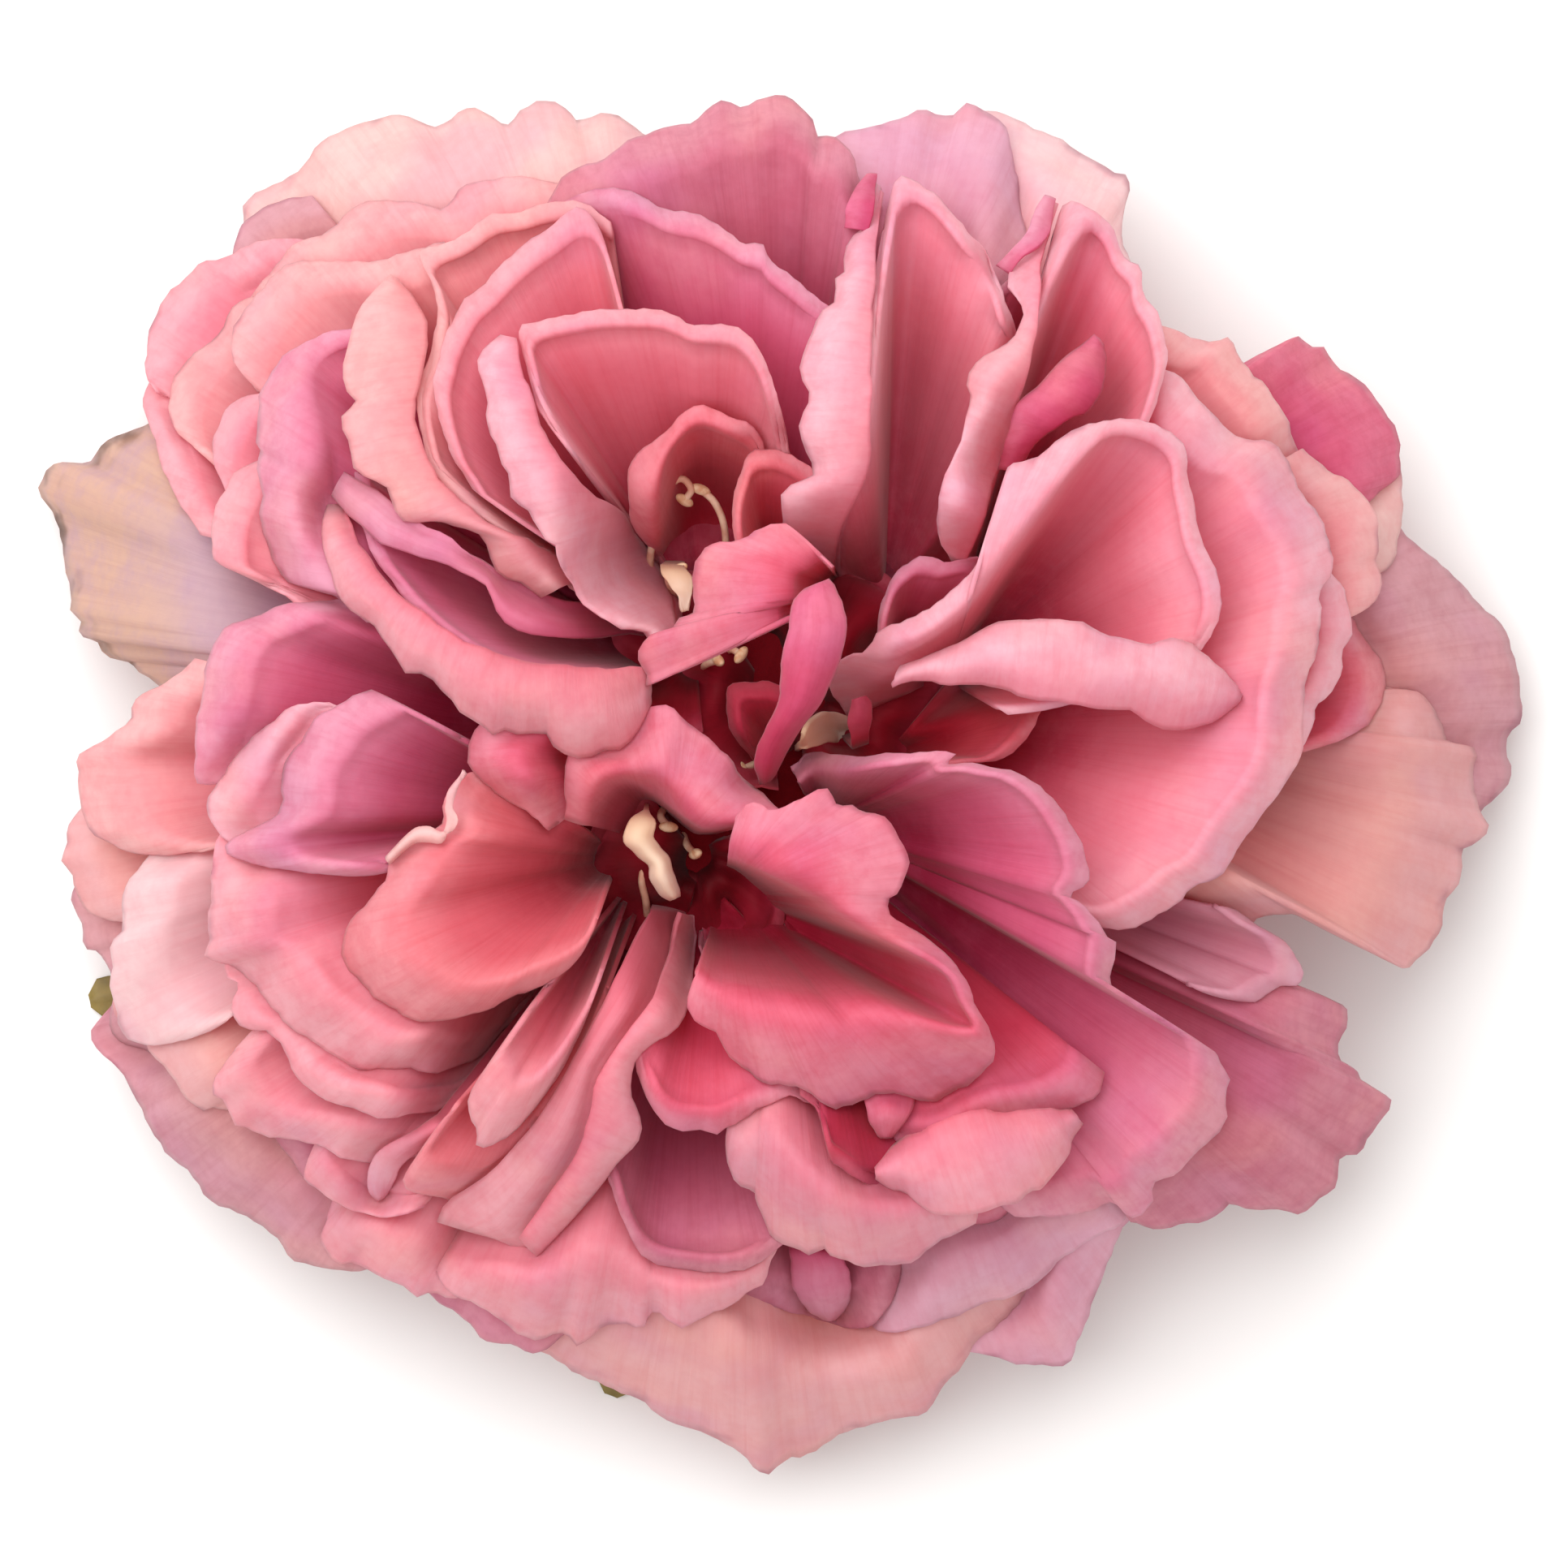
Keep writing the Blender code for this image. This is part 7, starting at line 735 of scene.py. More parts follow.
# %% The outermost petals
GUARDS = [
    scoop("west_second_lobe", root=(-10.4, 5.6), fold=0.9, crest=(-3.0, -1.0, -2.0), lip=(-6.0, -5.0, -5.0),
          rim=[(-32.6, 9.6), (-34.2, 10.8), (-36.0, 10.0), (-37.7, 9.9), (-39.0, 10.5), (-39.8, 11.8),
               (-40.2, 13.0), (-40.3, 15.0), (-39.5, 16.3), (-38.8, 17.7), (-36.6, 18.6)]),
    scoop("west_third_lobe", root=(-10.2, 6.8), fold=0.92, crest=-2.0, lip=-5.0, claw=2.0,
          rim=[(-37.0, 16.0), (-38.8, 18.0), (-39.5, 18.8), (-40.3, 20.0), (-40.6, 21.3), (-39.7, 22.8),
               (-38.0, 23.4), (-36.2, 23.6)]),
    scoop("north_west_salmon", root=(-7.8, 9.0), fold=0.9, crest=-2.0, lip=-4.0,
          rim=[(-36.4, 26.4), (-38.6, 28.4), (-38.9, 30.2), (-38.0, 31.8), (-37.0, 32.7), (-36.5, 33.8),
               (-35.5, 34.5), (-33.0, 34.2), (-31.0, 34.0), (-28.0, 34.6), (-25.6, 35.4)]),
    scoop("west_pale_fan", root=(-9.6, 7.8), fold=0.92, crest=-4.0, lip=-6.0,
          rim=[(-39.0, 20.4), (-41.2, 21.6), (-42.8, 22.3), (-43.7, 23.5), (-43.8, 25.0), (-43.2, 26.5),
               (-42.5, 27.5), (-41.3, 28.2), (-40.3, 30.2), (-38.0, 30.8), (-35.6, 30.6)]),
    scoop("north_west_back", root=(-5.8, 10.2), fold=0.9, crest=-3.0, lip=-5.0,
          rim=[(-37.4, 33.0), (-36.2, 34.5), (-34.7, 36.6), (-32.5, 37.3), (-30.9, 38.9), (-29.0, 39.6),
               (-26.5, 39.5), (-24.3, 38.8), (-23.0, 40.7), (-20.0, 41.1), (-17.0, 41.0), (-14.7, 40.5),
               (-12.0, 39.6)]),
    scoop("west_outer_upper", root=(-8.6, 9.6), fold=0.9, crest=-2.0, lip=-4.0,
          rim=[(-44.0, 26.4), (-45.2, 27.5), (-45.3, 29.0), (-45.6, 30.0), (-45.2, 31.2), (-44.5, 32.2),
               (-43.5, 33.0), (-42.5, 33.9), (-41.5, 34.0), (-40.0, 34.7), (-38.0, 35.0), (-36.0, 34.6)]),
    scoop("west_outer_lower", root=(-10.6, 7.6), fold=0.9, crest=-3.0, lip=-5.0,
          rim=[(-40.6, 15.6), (-42.4, 17.6), (-44.2, 19.8), (-45.6, 22.0), (-46.4, 23.3), (-46.2, 23.9),
               (-45.8, 25.0), (-45.7, 26.3), (-45.2, 27.5), (-43.6, 29.0)]),
    scoop("west_salmon_guard", root=(-12.6, -1.0), fold=0.86, crest=(-4.0, -5.0, -5.0),
          lip=(-8.0, -11.0, -12.0, -9.0),
          rim=[(-41.0, 6.4), (-42.7, 5.0), (-44.0, 4.6), (-45.5, 4.0), (-46.0, 2.7), (-47.5, 1.8),
               (-49.0, 1.4), (-50.0, 1.0), (-50.1, 0.0), (-49.9, -1.0), (-49.7, -2.5), (-49.1, -3.8),
               (-47.0, -4.8), (-44.0, -5.0), (-41.0, -4.6)]),
    scoop("west_white_lobe", root=(-12.6, -4.4), fold=0.86, crest=(-4.0, -3.0, -3.0),
          lip=(-7.0, -8.0, -9.0, -8.0), pleats=((0.45, 0.03, 0.8),),
          rim=[(-38.4, -4.4), (-40.5, -4.9), (-42.0, -4.8), (-43.5, -5.8), (-44.5, -7.0), (-45.5, -8.2),
               (-46.5, -9.3), (-46.8, -11.0), (-47.3, -12.2), (-48.0, -12.8), (-47.9, -14.0),
               (-48.3, -15.3), (-48.4, -16.5), (-48.2, -17.8), (-47.4, -19.0), (-45.0, -19.2),
               (-41.6, -18.0)]),
    scoop("south_west_peach", root=(-11.6, -7.2), fold=0.86, crest=(-4.0, -4.0, -4.0),
          lip=(-8.0, -9.0, -9.0), pleats=((0.35, 0.04, 0.7), (0.6, 0.04, 0.7)),
          rim=[(-46.6, -17.4), (-47.4, -18.8), (-47.0, -20.0), (-45.7, -20.7), (-45.0, -22.0),
               (-43.5, -23.5), (-42.3, -25.0), (-41.5, -25.4), (-41.0, -24.9), (-40.5, -25.2),
               (-39.4, -24.6), (-37.6, -23.0), (-35.6, -20.8)]),
    scoop("west_peach_guard", root=(-12.9, -2.8), fold=0.88, crest=-8.0, lip=(-11.0, -13.0, -12.0),
          rim=[(-46.6, -3.0), (-49.8, -3.9), (-51.0, -4.8), (-51.1, -5.8), (-51.4, -6.8), (-50.9, -7.4),
               (-50.9, -8.3), (-50.4, -9.4), (-48.0, -10.0), (-44.6, -9.4)]),
    scoop("west_brown_guard", root=(-12.4, -5.8), fold=0.88, crest=-10.0, lip=-13.0,
          rim=[(-48.6, -8.0), (-50.5, -10.0), (-51.1, -10.6), (-50.5, -11.5), (-50.1, -12.2),
               (-50.0, -13.4), (-49.2, -13.5), (-48.5, -14.4), (-48.4, -16.0), (-48.8, -17.0),
               (-48.6, -18.6), (-46.0, -19.6)]),
    scoop("south_west_mauve", root=(-8.6, -10.8), fold=0.86, crest=(-6.0, -6.0, -8.0),
          lip=(-10.0, -11.0, -12.0),
          rim=[(-30.6, -32.4), (-31.2, -34.3), (-31.8, -35.5), (-32.6, -36.3), (-32.2, -37.3),
               (-31.7, -38.0), (-30.5, -37.9), (-29.0, -38.4), (-28.0, -39.0), (-27.3, -39.2),
               (-27.0, -39.9), (-26.0, -39.7), (-24.7, -40.2), (-23.6, -39.4), (-22.2, -37.4)]),
    scoop("south_west_guard", root=(-11.0, -8.4), fold=0.8, crest=(-7.0, -6.0, -8.0),
          lip=(-11.0, -13.0, -13.8, -13.8, -13.0),
          rim=[(-47.0, -19.0), (-49.3, -21.0), (-49.0, -22.0), (-48.0, -23.2), (-47.0, -24.2),
               (-46.5, -25.3), (-45.7, -26.5), (-45.0, -28.0), (-44.5, -29.2), (-43.4, -30.0),
               (-42.6, -31.0), (-41.5, -32.3), (-40.0, -33.1), (-39.0, -33.6), (-38.0, -34.5),
               (-37.0, -35.3), (-36.6, -36.3), (-35.5, -36.8), (-34.0, -37.2), (-32.2, -37.4),
               (-30.0, -36.0)]),
    scoop("south_west_small_guard", root=(-7.4, -11.6), fold=0.9, crest=-9.0, lip=-14.0,
          rim=[(-25.6, -38.6), (-24.0, -40.8), (-23.0, -41.7), (-22.0, -43.0), (-21.3, -44.0),
               (-20.0, -44.1), (-19.0, -44.5), (-18.3, -44.6), (-17.0, -43.6), (-15.4, -42.0)]),
    scoop("north_west_brown", root=(-7.0, 10.4), fold=0.92, crest=-3.0, lip=-5.0, claw=2.0,
          rim=[(-40.4, 33.4), (-39.5, 35.0), (-39.5, 36.5), (-39.0, 37.5), (-37.7, 38.2), (-36.0, 38.0)]),
    scoop("north_west_guard", root=(-4.4, 11.8), fold=0.8, crest=(-7.0, -4.0, -4.0, -5.0),
          lip=(-5.0, -4.4, -6.0, -9.0, -10.0), pleats=((0.42, 0.03, 0.9), (0.62, 0.02, 0.5)),
          rim=[(-36.0, 35.0), (-37.0, 36.8), (-37.8, 38.3), (-38.4, 40.0), (-37.0, 41.0), (-35.0, 42.0),
               (-33.5, 43.8), (-31.5, 45.2), (-29.0, 46.0), (-27.0, 45.8), (-25.2, 45.2), (-23.5, 46.4),
               (-22.0, 46.1), (-20.4, 45.3), (-19.8, 46.2), (-18.5, 47.0), (-16.8, 46.8), (-15.7, 45.7),
               (-14.0, 46.4), (-12.5, 45.9), (-11.0, 45.0), (-9.4, 43.8)]),
    scoop("west_withered", root=(-12.4, 3.4), fold=0.62, crest=(-6.0, -8.0, -9.0),
          lip=(-7.0, -6.0, -9.0, -12.0, -14.0), pleats=((0.5, 0.03, 0.8), (0.7, 0.03, 0.8)),
          rim=[(-44.6, 24.2), (-46.4, 23.6), (-48.0, 23.0), (-49.2, 22.0), (-50.3, 22.1), (-51.7, 22.1),
               (-52.7, 20.6), (-51.8, 19.5), (-51.1, 18.0), (-50.5, 16.5), (-50.5, 15.3), (-50.2, 13.5),
               (-50.1, 12.5), (-49.3, 12.0), (-49.5, 11.0), (-48.3, 10.9), (-47.9, 10.0), (-47.2, 9.5),
               (-46.0, 9.7), (-45.0, 8.7), (-44.0, 8.0), (-43.3, 7.1), (-42.8, 5.3), (-41.0, 4.0)]),
    scoop("north_guard", root=(5.6, 11.6), fold=0.78, crest=(-7.0, -6.0, -6.0, -8.0),
          lip=(-12.0, -13.0, -14.0, -13.0), pleats=((0.45, 0.05, 0.8),),
          rim=[(1.6, 43.4), (5.0, 45.0), (7.5, 45.9), (10.0, 47.0), (11.5, 47.7), (13.0, 47.6),
               (14.0, 47.9), (14.3, 48.6), (15.0, 48.7), (16.0, 47.8), (17.1, 47.2), (17.4, 45.0),
               (17.8, 42.0), (18.2, 39.0), (18.0, 36.0)]),
    scoop("north_east_guard", root=(8.6, 10.4), fold=0.82, crest=-8.0, lip=(-14.0, -13.6, -13.0, -13.0),
          pleats=((0.4, 0.05, 0.6),),
          rim=[(14.6, 46.6), (17.0, 47.5), (18.2, 47.9), (20.0, 47.0), (22.0, 46.0), (24.0, 45.0),
               (25.5, 44.4), (26.3, 44.1), (26.2, 43.0), (25.7, 41.8), (25.4, 40.0), (26.4, 37.0)]),
    scoop("east_magenta_back", root=(11.2, 8.0), fold=0.8, crest=-6.0, lip=(-7.0, -7.0, -6.0, -5.0),
          rim=[(35.6, 27.4), (36.8, 29.0), (38.3, 30.4), (40.2, 31.6), (41.0, 31.6), (41.7, 31.0),
               (42.5, 31.0), (43.2, 30.0), (45.0, 29.4), (46.2, 28.3), (47.1, 27.0), (47.9, 25.6),
               (48.1, 24.3), (48.0, 23.5), (46.2, 22.3), (44.6, 20.8), (42.4, 19.6)]),
    scoop("east_cream_lobe", root=(12.2, 6.0), fold=0.88, crest=-7.0, lip=-9.0, claw=2.0,
          rim=[(46.4, 24.4), (48.1, 23.7), (48.7, 23.3), (48.7, 21.5), (48.4, 19.5), (48.0, 17.3),
               (47.0, 16.6), (45.4, 16.6)]),
    scoop("east_guard", root=(13.0, 1.8), fold=0.72, crest=(-8.0, -8.0, -8.0),
          lip=(-12.0, -9.0, -6.6, -8.0, -13.0), pleats=((0.75, 0.03, 0.9),),
          rim=[(46.0, 16.0), (48.0, 17.3), (49.5, 16.2), (51.0, 15.0), (53.0, 14.0), (55.0, 12.2),
               (56.5, 11.0), (57.4, 9.8), (58.1, 8.0), (58.4, 6.5), (58.4, 5.0), (57.5, 4.0), (57.5, 2.8),
               (58.1, 1.3), (57.5, 0.2), (56.0, -0.8), (55.0, -2.3), (54.3, -3.5), (53.0, -5.4),
               (50.6, -6.4)]),
    scoop("south_guard", root=(-0.8, -12.6), fold=0.72, crest=(-10.0, -9.0, -9.0, -10.0),
          lip=(-16.0, -16.0, -15.4, -16.0, -18.0, -18.0),
          pleats=((0.3, 0.03, 0.6), (0.5, 0.025, 0.9), (0.68, 0.03, 0.6)),
          rim=[(-18.6, -43.4), (-17.0, -44.1), (-16.3, -44.5), (-15.5, -45.2), (-14.0, -46.4),
               (-13.0, -47.1), (-11.0, -47.9), (-9.0, -48.9), (-8.0, -50.0), (-7.0, -50.5), (-5.8, -51.0),
               (-4.0, -52.0), (-3.0, -52.6), (-2.0, -53.4), (-1.3, -54.4), (-0.6, -54.9), (0.2, -54.5),
               (1.0, -54.0), (1.6, -54.0), (3.5, -52.8), (4.7, -52.3), (7.0, -51.7), (9.0, -51.3),
               (10.0, -51.3), (10.8, -51.0), (11.5, -50.0), (12.0, -49.0), (13.0, -48.0), (13.8, -47.0),
               (14.3, -46.3), (15.5, -45.6), (17.0, -44.2), (18.4, -42.0), (19.0, -39.4)]),
    scoop("south_east_point", root=(4.8, -12.2), fold=0.82, crest=-11.0, lip=(-17.0, -18.0, -18.6, -17.0),
          pleats=((0.5, 0.05, -1.2),),
          rim=[(13.6, -44.6), (15.5, -45.7), (17.0, -46.0), (18.2, -46.3), (19.0, -46.8), (20.2, -47.1),
               (21.2, -47.5), (22.2, -47.6), (22.8, -47.1), (23.0, -46.0), (23.4, -45.0), (23.9, -44.0),
               (24.2, -42.5), (24.7, -41.0), (25.3, -39.6), (26.0, -38.5), (27.0, -37.0), (28.6, -35.0)]),
]

# %% All of them, from the top down
OUTER = SOUTH_EAST_TOP + NORTH_EAST + NORTH_WEST + WEST + NORTH + EAST + SOUTH + SOUTH_EAST_LOW + GUARDS
PETALS = MIDDLE + PETALOIDS + INNER[:1] + OUTER + INNER[1:]
for number, petal in enumerate(MIDDLE + OUTER + PETALOIDS + INNER):
    petal["seed"] = number
print(len(PETALS), "petals")

# %% [markdown]
# ## From a drawing to a sheet
#
# A few drawn points become a smooth curve, and points at even shares of its length start the ribs.
# Each rib is a ray from the root, so ribs never cross. Its height rises from the receptacle to the crest
# and falls over the lip. A sheet is then a grid of points: across the petal by along it.

# %% Curves and ribs
LEAST_FAN = 0.12


def smooth_curve(points, steps=8):
    """Many points on a smooth curve through a few."""
    p = np.array(points, float)
    p = np.vstack([2 * p[0] - p[1], p, 2 * p[-1] - p[-2]])
    t = np.linspace(0.0, 1.0, steps, endpoint=False)[:, None]
    pieces = []
    for a, b, c, d in zip(p[:-3], p[1:-2], p[2:-1], p[3:]):
        pieces.append(0.5 * (2 * b + (c - a) * t + (2 * a - 5 * b + 4 * c - d) * t ** 2
                             + (3 * b - a - 3 * c + d) * t ** 3))
    return np.vstack(pieces + [p[-2:-1]])


def run_lengths(curve):
    """How far along a curve each of its points lies."""
    return np.concatenate([[0.0], np.cumsum(np.linalg.norm(np.diff(curve, axis=0), axis=1))])


def spaced(points, shares):
    """Points of the smooth curve at these shares of its length."""
    curve = smooth_curve(points)
    length = run_lengths(curve)
    return np.stack([np.interp(shares * length[-1], length, curve[:, k]) for k in (0, 1)], axis=1)


def values(given, count):
    """A number, or a few spread evenly, as one value for each of count places."""
    few = np.atleast_1d(np.array(given, float))
    if len(few) == 1:
        return np.full(count, few[0])
    return np.interp(np.linspace(0.0, 1.0, count), np.linspace(0.0, 1.0, len(few)), few)


def polar(points, root):
    """Each point's distance from the root, and its direction, which never turns back along the line."""
    offset = points - root
    angle = np.unwrap(np.arctan2(offset[:, 1], offset[:, 0]))
    sign = 1.0 if angle[-1] > angle[0] else -1.0
    angle = np.maximum.accumulate(sign * angle)
    angle = angle + np.linspace(0.0, LEAST_FAN, len(angle))
    return np.linalg.norm(offset, axis=1), angle, sign


def smoothed(grid, rounds, axis):
    """The grid with each inner value drawn to its neighbours along an axis."""
    last = grid.shape[axis] - 1
    for _ in range(rounds):
        inner = 0.25 * np.take(grid, range(0, last - 1), axis)
        inner = inner + 0.5 * np.take(grid, range(1, last), axis)
        inner = inner + 0.25 * np.take(grid, range(2, last + 1), axis)
        grid = np.concatenate([np.take(grid, [0], axis), inner, np.take(grid, [last], axis)], axis)
    return grid


# %% [markdown]
# ## Waves that no two rims share
#
# A petal's lip isn't smooth: it waves in long swells and in short ripples, and its very edge is slightly
# nibbled. Sums of sines with phases from a fixed seed for each petal give that. They grow from nothing just
# before the fold to their full size at the rim, while the wall gets long, low swells of its own.

# %% Swells, ripples and nibbles
SEED = 41
SWELLS = ((15.0, 0.60), (8.3, 0.42), (4.9, 0.14), (2.6, 0.04))
NIBBLES = ((6.1, 0.12), (3.3, 0.07), (1.5, 0.05))
WALL_SWELLS = ((23.0, 0.70), (12.0, 0.40), (7.0, 0.15))


def waves(distance, kinds, chance):
    """A sum of sines along a distance in millimetres, each (wavelength, height) with its own phase."""
    total = np.zeros_like(distance)
    for wavelength, height in kinds:
        phase, stretch = chance.uniform(0, 2 * np.pi), chance.uniform(0.8, 1.25)
        total = total + height * np.sin(2 * np.pi * distance / wavelength * stretch + phase)
    return total


# %% An ordinary petal
WALL_ROWS, LIP_ROWS = 20, 16
ALL_ROWS = WALL_ROWS + LIP_ROWS
COLUMN_STEP = 0.62
FEWEST_COLUMNS, MOST_COLUMNS = 30, 120
LEAST_WALL, NARROWEST_LIP = 0.5, 1.4
FOLD_LINE_ROUNDS, FOLD_ROUNDS = 3, 10
LIP_STEEPNESS, LIP_CURVE = 1.2, 1.7
RUFFLED_LIP, RUFFLE_ROWS, RUFFLE_CURVE = 4.0, 4, 1.3
WALL_SWELL_SHARE = 0.6
SIDE_TUCK = 1.6


def fold_distance(petal, root, inner, reach, angle):
    """How far from the root each rib turns over: a share of its length, or where the drawn fold is."""
    if isinstance(petal["fold"], float):
        fold = inner + (reach - inner) * petal["fold"]
    else:
        drawn, drawn_angle, _ = polar(smooth_curve(petal["fold"]), root)
        shift = 2 * np.pi * np.round((angle.mean() - drawn_angle.mean()) / (2 * np.pi))
        fold = np.interp(angle, drawn_angle + shift, drawn)
    fold = np.clip(fold, inner + LEAST_WALL, np.maximum(reach - NARROWEST_LIP, inner + 2 * LEAST_WALL))
    return smoothed(fold[:, None], FOLD_LINE_ROUNDS, 0)[:, 0]


def waved(height, pleats, lip, along_rim, chance):
    """The heights with the petal's pleats, its ruffled lip, its swelling wall and its tucked sides."""
    across = np.linspace(0.0, 1.0, len(height))[:, None]
    along = np.linspace(0.0, 1.0, ALL_ROWS + 1)[None, :]
    for place, width, depth in pleats:
        height = height - depth * np.exp(-((across - place) / width) ** 2) * along ** 2
    ruffle = waves(along_rim, SWELLS, chance)[:, None] * np.minimum(1.0, lip / RUFFLED_LIP)[:, None]
    past_fold = (along * ALL_ROWS - WALL_ROWS + RUFFLE_ROWS) / (LIP_ROWS + RUFFLE_ROWS)
    swell = waves(along_rim, WALL_SWELLS, chance)[:, None] * np.sin(np.pi * along ** 1.5)
    tuck = SIDE_TUCK * np.abs(2 * across - 1) ** 6 * np.sin(np.pi * along ** 0.8)
    height = height + ruffle * np.clip(past_fold, 0.0, 1.0) ** RUFFLE_CURVE
    return height + swell * WALL_SWELL_SHARE - tuck


def scoop_sheet(petal, chance):
    """The petal's points, across by along, from its root to its rim, and the length of the rim."""
    length = run_lengths(smooth_curve(petal["rim"]))[-1]
    count = int(np.clip(length / COLUMN_STEP, FEWEST_COLUMNS, MOST_COLUMNS)) + 1
    root = np.array(petal["root"], float)
    reach, angle, sign = polar(spaced(petal["rim"], np.linspace(0.0, 1.0, count)), root)
    ray = np.stack([np.cos(sign * angle), np.sin(sign * angle)], axis=1)
    along_rim = np.linspace(0.0, length, count)
    reach = reach + waves(along_rim, NIBBLES, chance)
    inner = petal["claw"] / 2
    turned = fold_distance(petal, root, inner, reach, angle)
    claw, fold, rim = (root + ray * r[:, None] for r in (np.full(count, inner), turned, reach))
    foot = dome_height(root) - ROOT_DEPTH
    crest_height = bloom_height(fold) + values(petal["crest"], count)
    rim_height = np.maximum(bloom_height(rim) + values(petal["lip"], count),
                            crest_height - LIP_STEEPNESS * (reach - turned))
    rise = np.linspace(0.0, 1.0, WALL_ROWS + 1)[None, :, None]
    drop = np.linspace(0.0, 1.0, LIP_ROWS + 1)[None, 1:, None]
    plan = np.concatenate([claw[:, None] * (1 - rise) + fold[:, None] * rise,
                           fold[:, None] * (1 - drop) + rim[:, None] * drop], axis=1)
    wall = foot + (crest_height[:, None] - foot) * rise[..., 0] ** petal["belly"]
    lip = crest_height[:, None] + (rim_height - crest_height)[:, None] * drop[..., 0] ** LIP_CURVE
    height = smoothed(np.concatenate([wall, lip], axis=1), FOLD_ROUNDS, 1)
    return np.dstack([plan, waved(height, petal["pleats"], reach - turned, along_rim, chance)]), length


# %% A narrow curled petal
STALK_ROWS = 10
STALK_WIDTH, STALK_CURVE = 0.7, 1.6
STRIP_STEP = 0.45
FEWEST_ACROSS, MOST_ACROSS = 16, 60
STRIP_NIBBLE, STRIP_SWELL = 0.6, 0.7
STRIP_ROUNDS = 2


def strip_blade(petal, rows, chance):
    """The plan and heights between the two margins, across by along, with the length and the width."""
    shares = np.linspace(0.0, 1.0, rows)
    left, right = spaced(petal["left"], shares), spaced(petal["right"], shares)
    length = run_lengths(left)[-1]
    left = left + waves(shares * length, NIBBLES, chance)[:, None] * STRIP_NIBBLE
    right = right + waves(shares * length, NIBBLES, chance)[:, None] * STRIP_NIBBLE
    width = np.linalg.norm(left - right, axis=1).max()
    count = int(np.clip(width / STRIP_STEP, FEWEST_ACROSS, MOST_ACROSS)) + 1
    across = np.linspace(0.0, 1.0, count)[:, None]
    side = 2 * across - 1
    plan = left[None] * (1 - across[..., None]) + right[None] * across[..., None]
    middle = 0.5 * (left + right)
    height = (bloom_height(middle) + values(petal["lift"], rows))[None, :] + petal["arch"] * (1 - side ** 2)
    height = height - petal["lean"] * (1 - across)
    swell = STRIP_SWELL * waves(shares * length, SWELLS, chance)[None, :] * np.abs(side) ** 2
    return plan, height + swell, middle, length, width


def strip_sheet(petal, chance):
    """The same for a narrow petal: a stalk, unless it is a rolled lip, then its length."""
    if petal["root"] is None:
        plan, height, _, length, _ = strip_blade(petal, ALL_ROWS + 1, chance)
        sheet = np.dstack([plan, smoothed(height, STRIP_ROUNDS, 1)])
        return sheet.transpose(1, 0, 2)[:, ::-1], length
    plan, height, middle, _, width = strip_blade(petal, ALL_ROWS + 1 - STALK_ROWS, chance)
    root = np.array(petal["root"], float)
    start = plan[:, :1]
    claw = root + (start - middle[0]) * STALK_WIDTH
    rise = np.linspace(0.0, 1.0, STALK_ROWS, endpoint=False)[None, :, None]
    foot = dome_height(root) - ROOT_DEPTH
    stalk_height = foot + (height[:, :1] - foot) * rise[..., 0] ** STALK_CURVE
    plan = np.concatenate([claw * (1 - rise) + start * rise, plan], axis=1)
    height = smoothed(np.concatenate([stalk_height, height], axis=1), STRIP_ROUNDS, 1)
    return np.dstack([plan, height]), width


# %% Every petal's sheet
sheets, widths = [], []
for petal in PETALS:
    shaped = scoop_sheet if petal["kind"] == "scoop" else strip_sheet
    sheet, width = shaped(petal, np.random.default_rng(SEED + petal["seed"]))
    sheets.append(sheet)
    widths.append(width)
print(len(sheets), "sheets,", sum(s.shape[0] * s.shape[1] for s in sheets), "points")

# %% [markdown]
# ## Laying the petals below each other
#
# Where two petals overlap in plan, the one that comes first in the list lies on top. A height map of the
# lowest petal so far is kept over the plan, like a ceiling that sinks, and each new petal is pressed down
# until it clears that ceiling. The claws that are sunk in the receptacle don't count. A press spreads
# sideways with a slope that a petal can take, so it bends rather than steps. The five sepals and the
# surface below give each place a floor as well.

# %% The sepals' lines, and the floor that they make
SEPAL_REACHES = ((201.0, 53.2), (258.0, 50.3), (330.0, 44.0), (42.0, 43.6), (122.0, 45.0))
SEPAL_START, SEPAL_CURL = 3.0, 3.0
SEPAL_WIDTH, SEPAL_TIP = 8.5, 0.5
SEPAL_THICKNESS = 0.9
SEPAL_FALL, SEPAL_FALL_CURVE = 7.0, 3.2
SEPAL_ROOM, SEPAL_GAP = 2.6, 0.6
SEPAL_STOPS = 80
CELL = 0.4
FIELD = 66.0


def sepal_lines(rows=9):
    """Each sepal's middle line, half widths and heights, from the hip to its tip on the surface."""
    lines = []
    share = np.linspace(0.0, 1.0, rows)
    for angle, reach in SEPAL_REACHES:
        turn = np.radians(angle + SEPAL_CURL * np.sin(share * 3.0))
        distance = SEPAL_START + (reach - SEPAL_START) * share
        middle = np.stack([distance * np.cos(turn), distance * np.sin(turn)], axis=1)
        width = 0.5 * SEPAL_WIDTH * (0.35 + 0.65 * np.sin(np.pi * np.minimum(1.0, share * 0.92 + 0.16)))
        width[-1] = SEPAL_TIP
        height = SEPAL_THICKNESS / 2 + SEPAL_FALL * (1.0 - share) ** SEPAL_FALL_CURVE
        lines.append((middle, width, height))
    return lines


def cells(xy):
    """The cells of the plan that these points lie over."""
    index = ((xy + FIELD) / CELL).astype(int)
    return index[..., 0], index[..., 1]


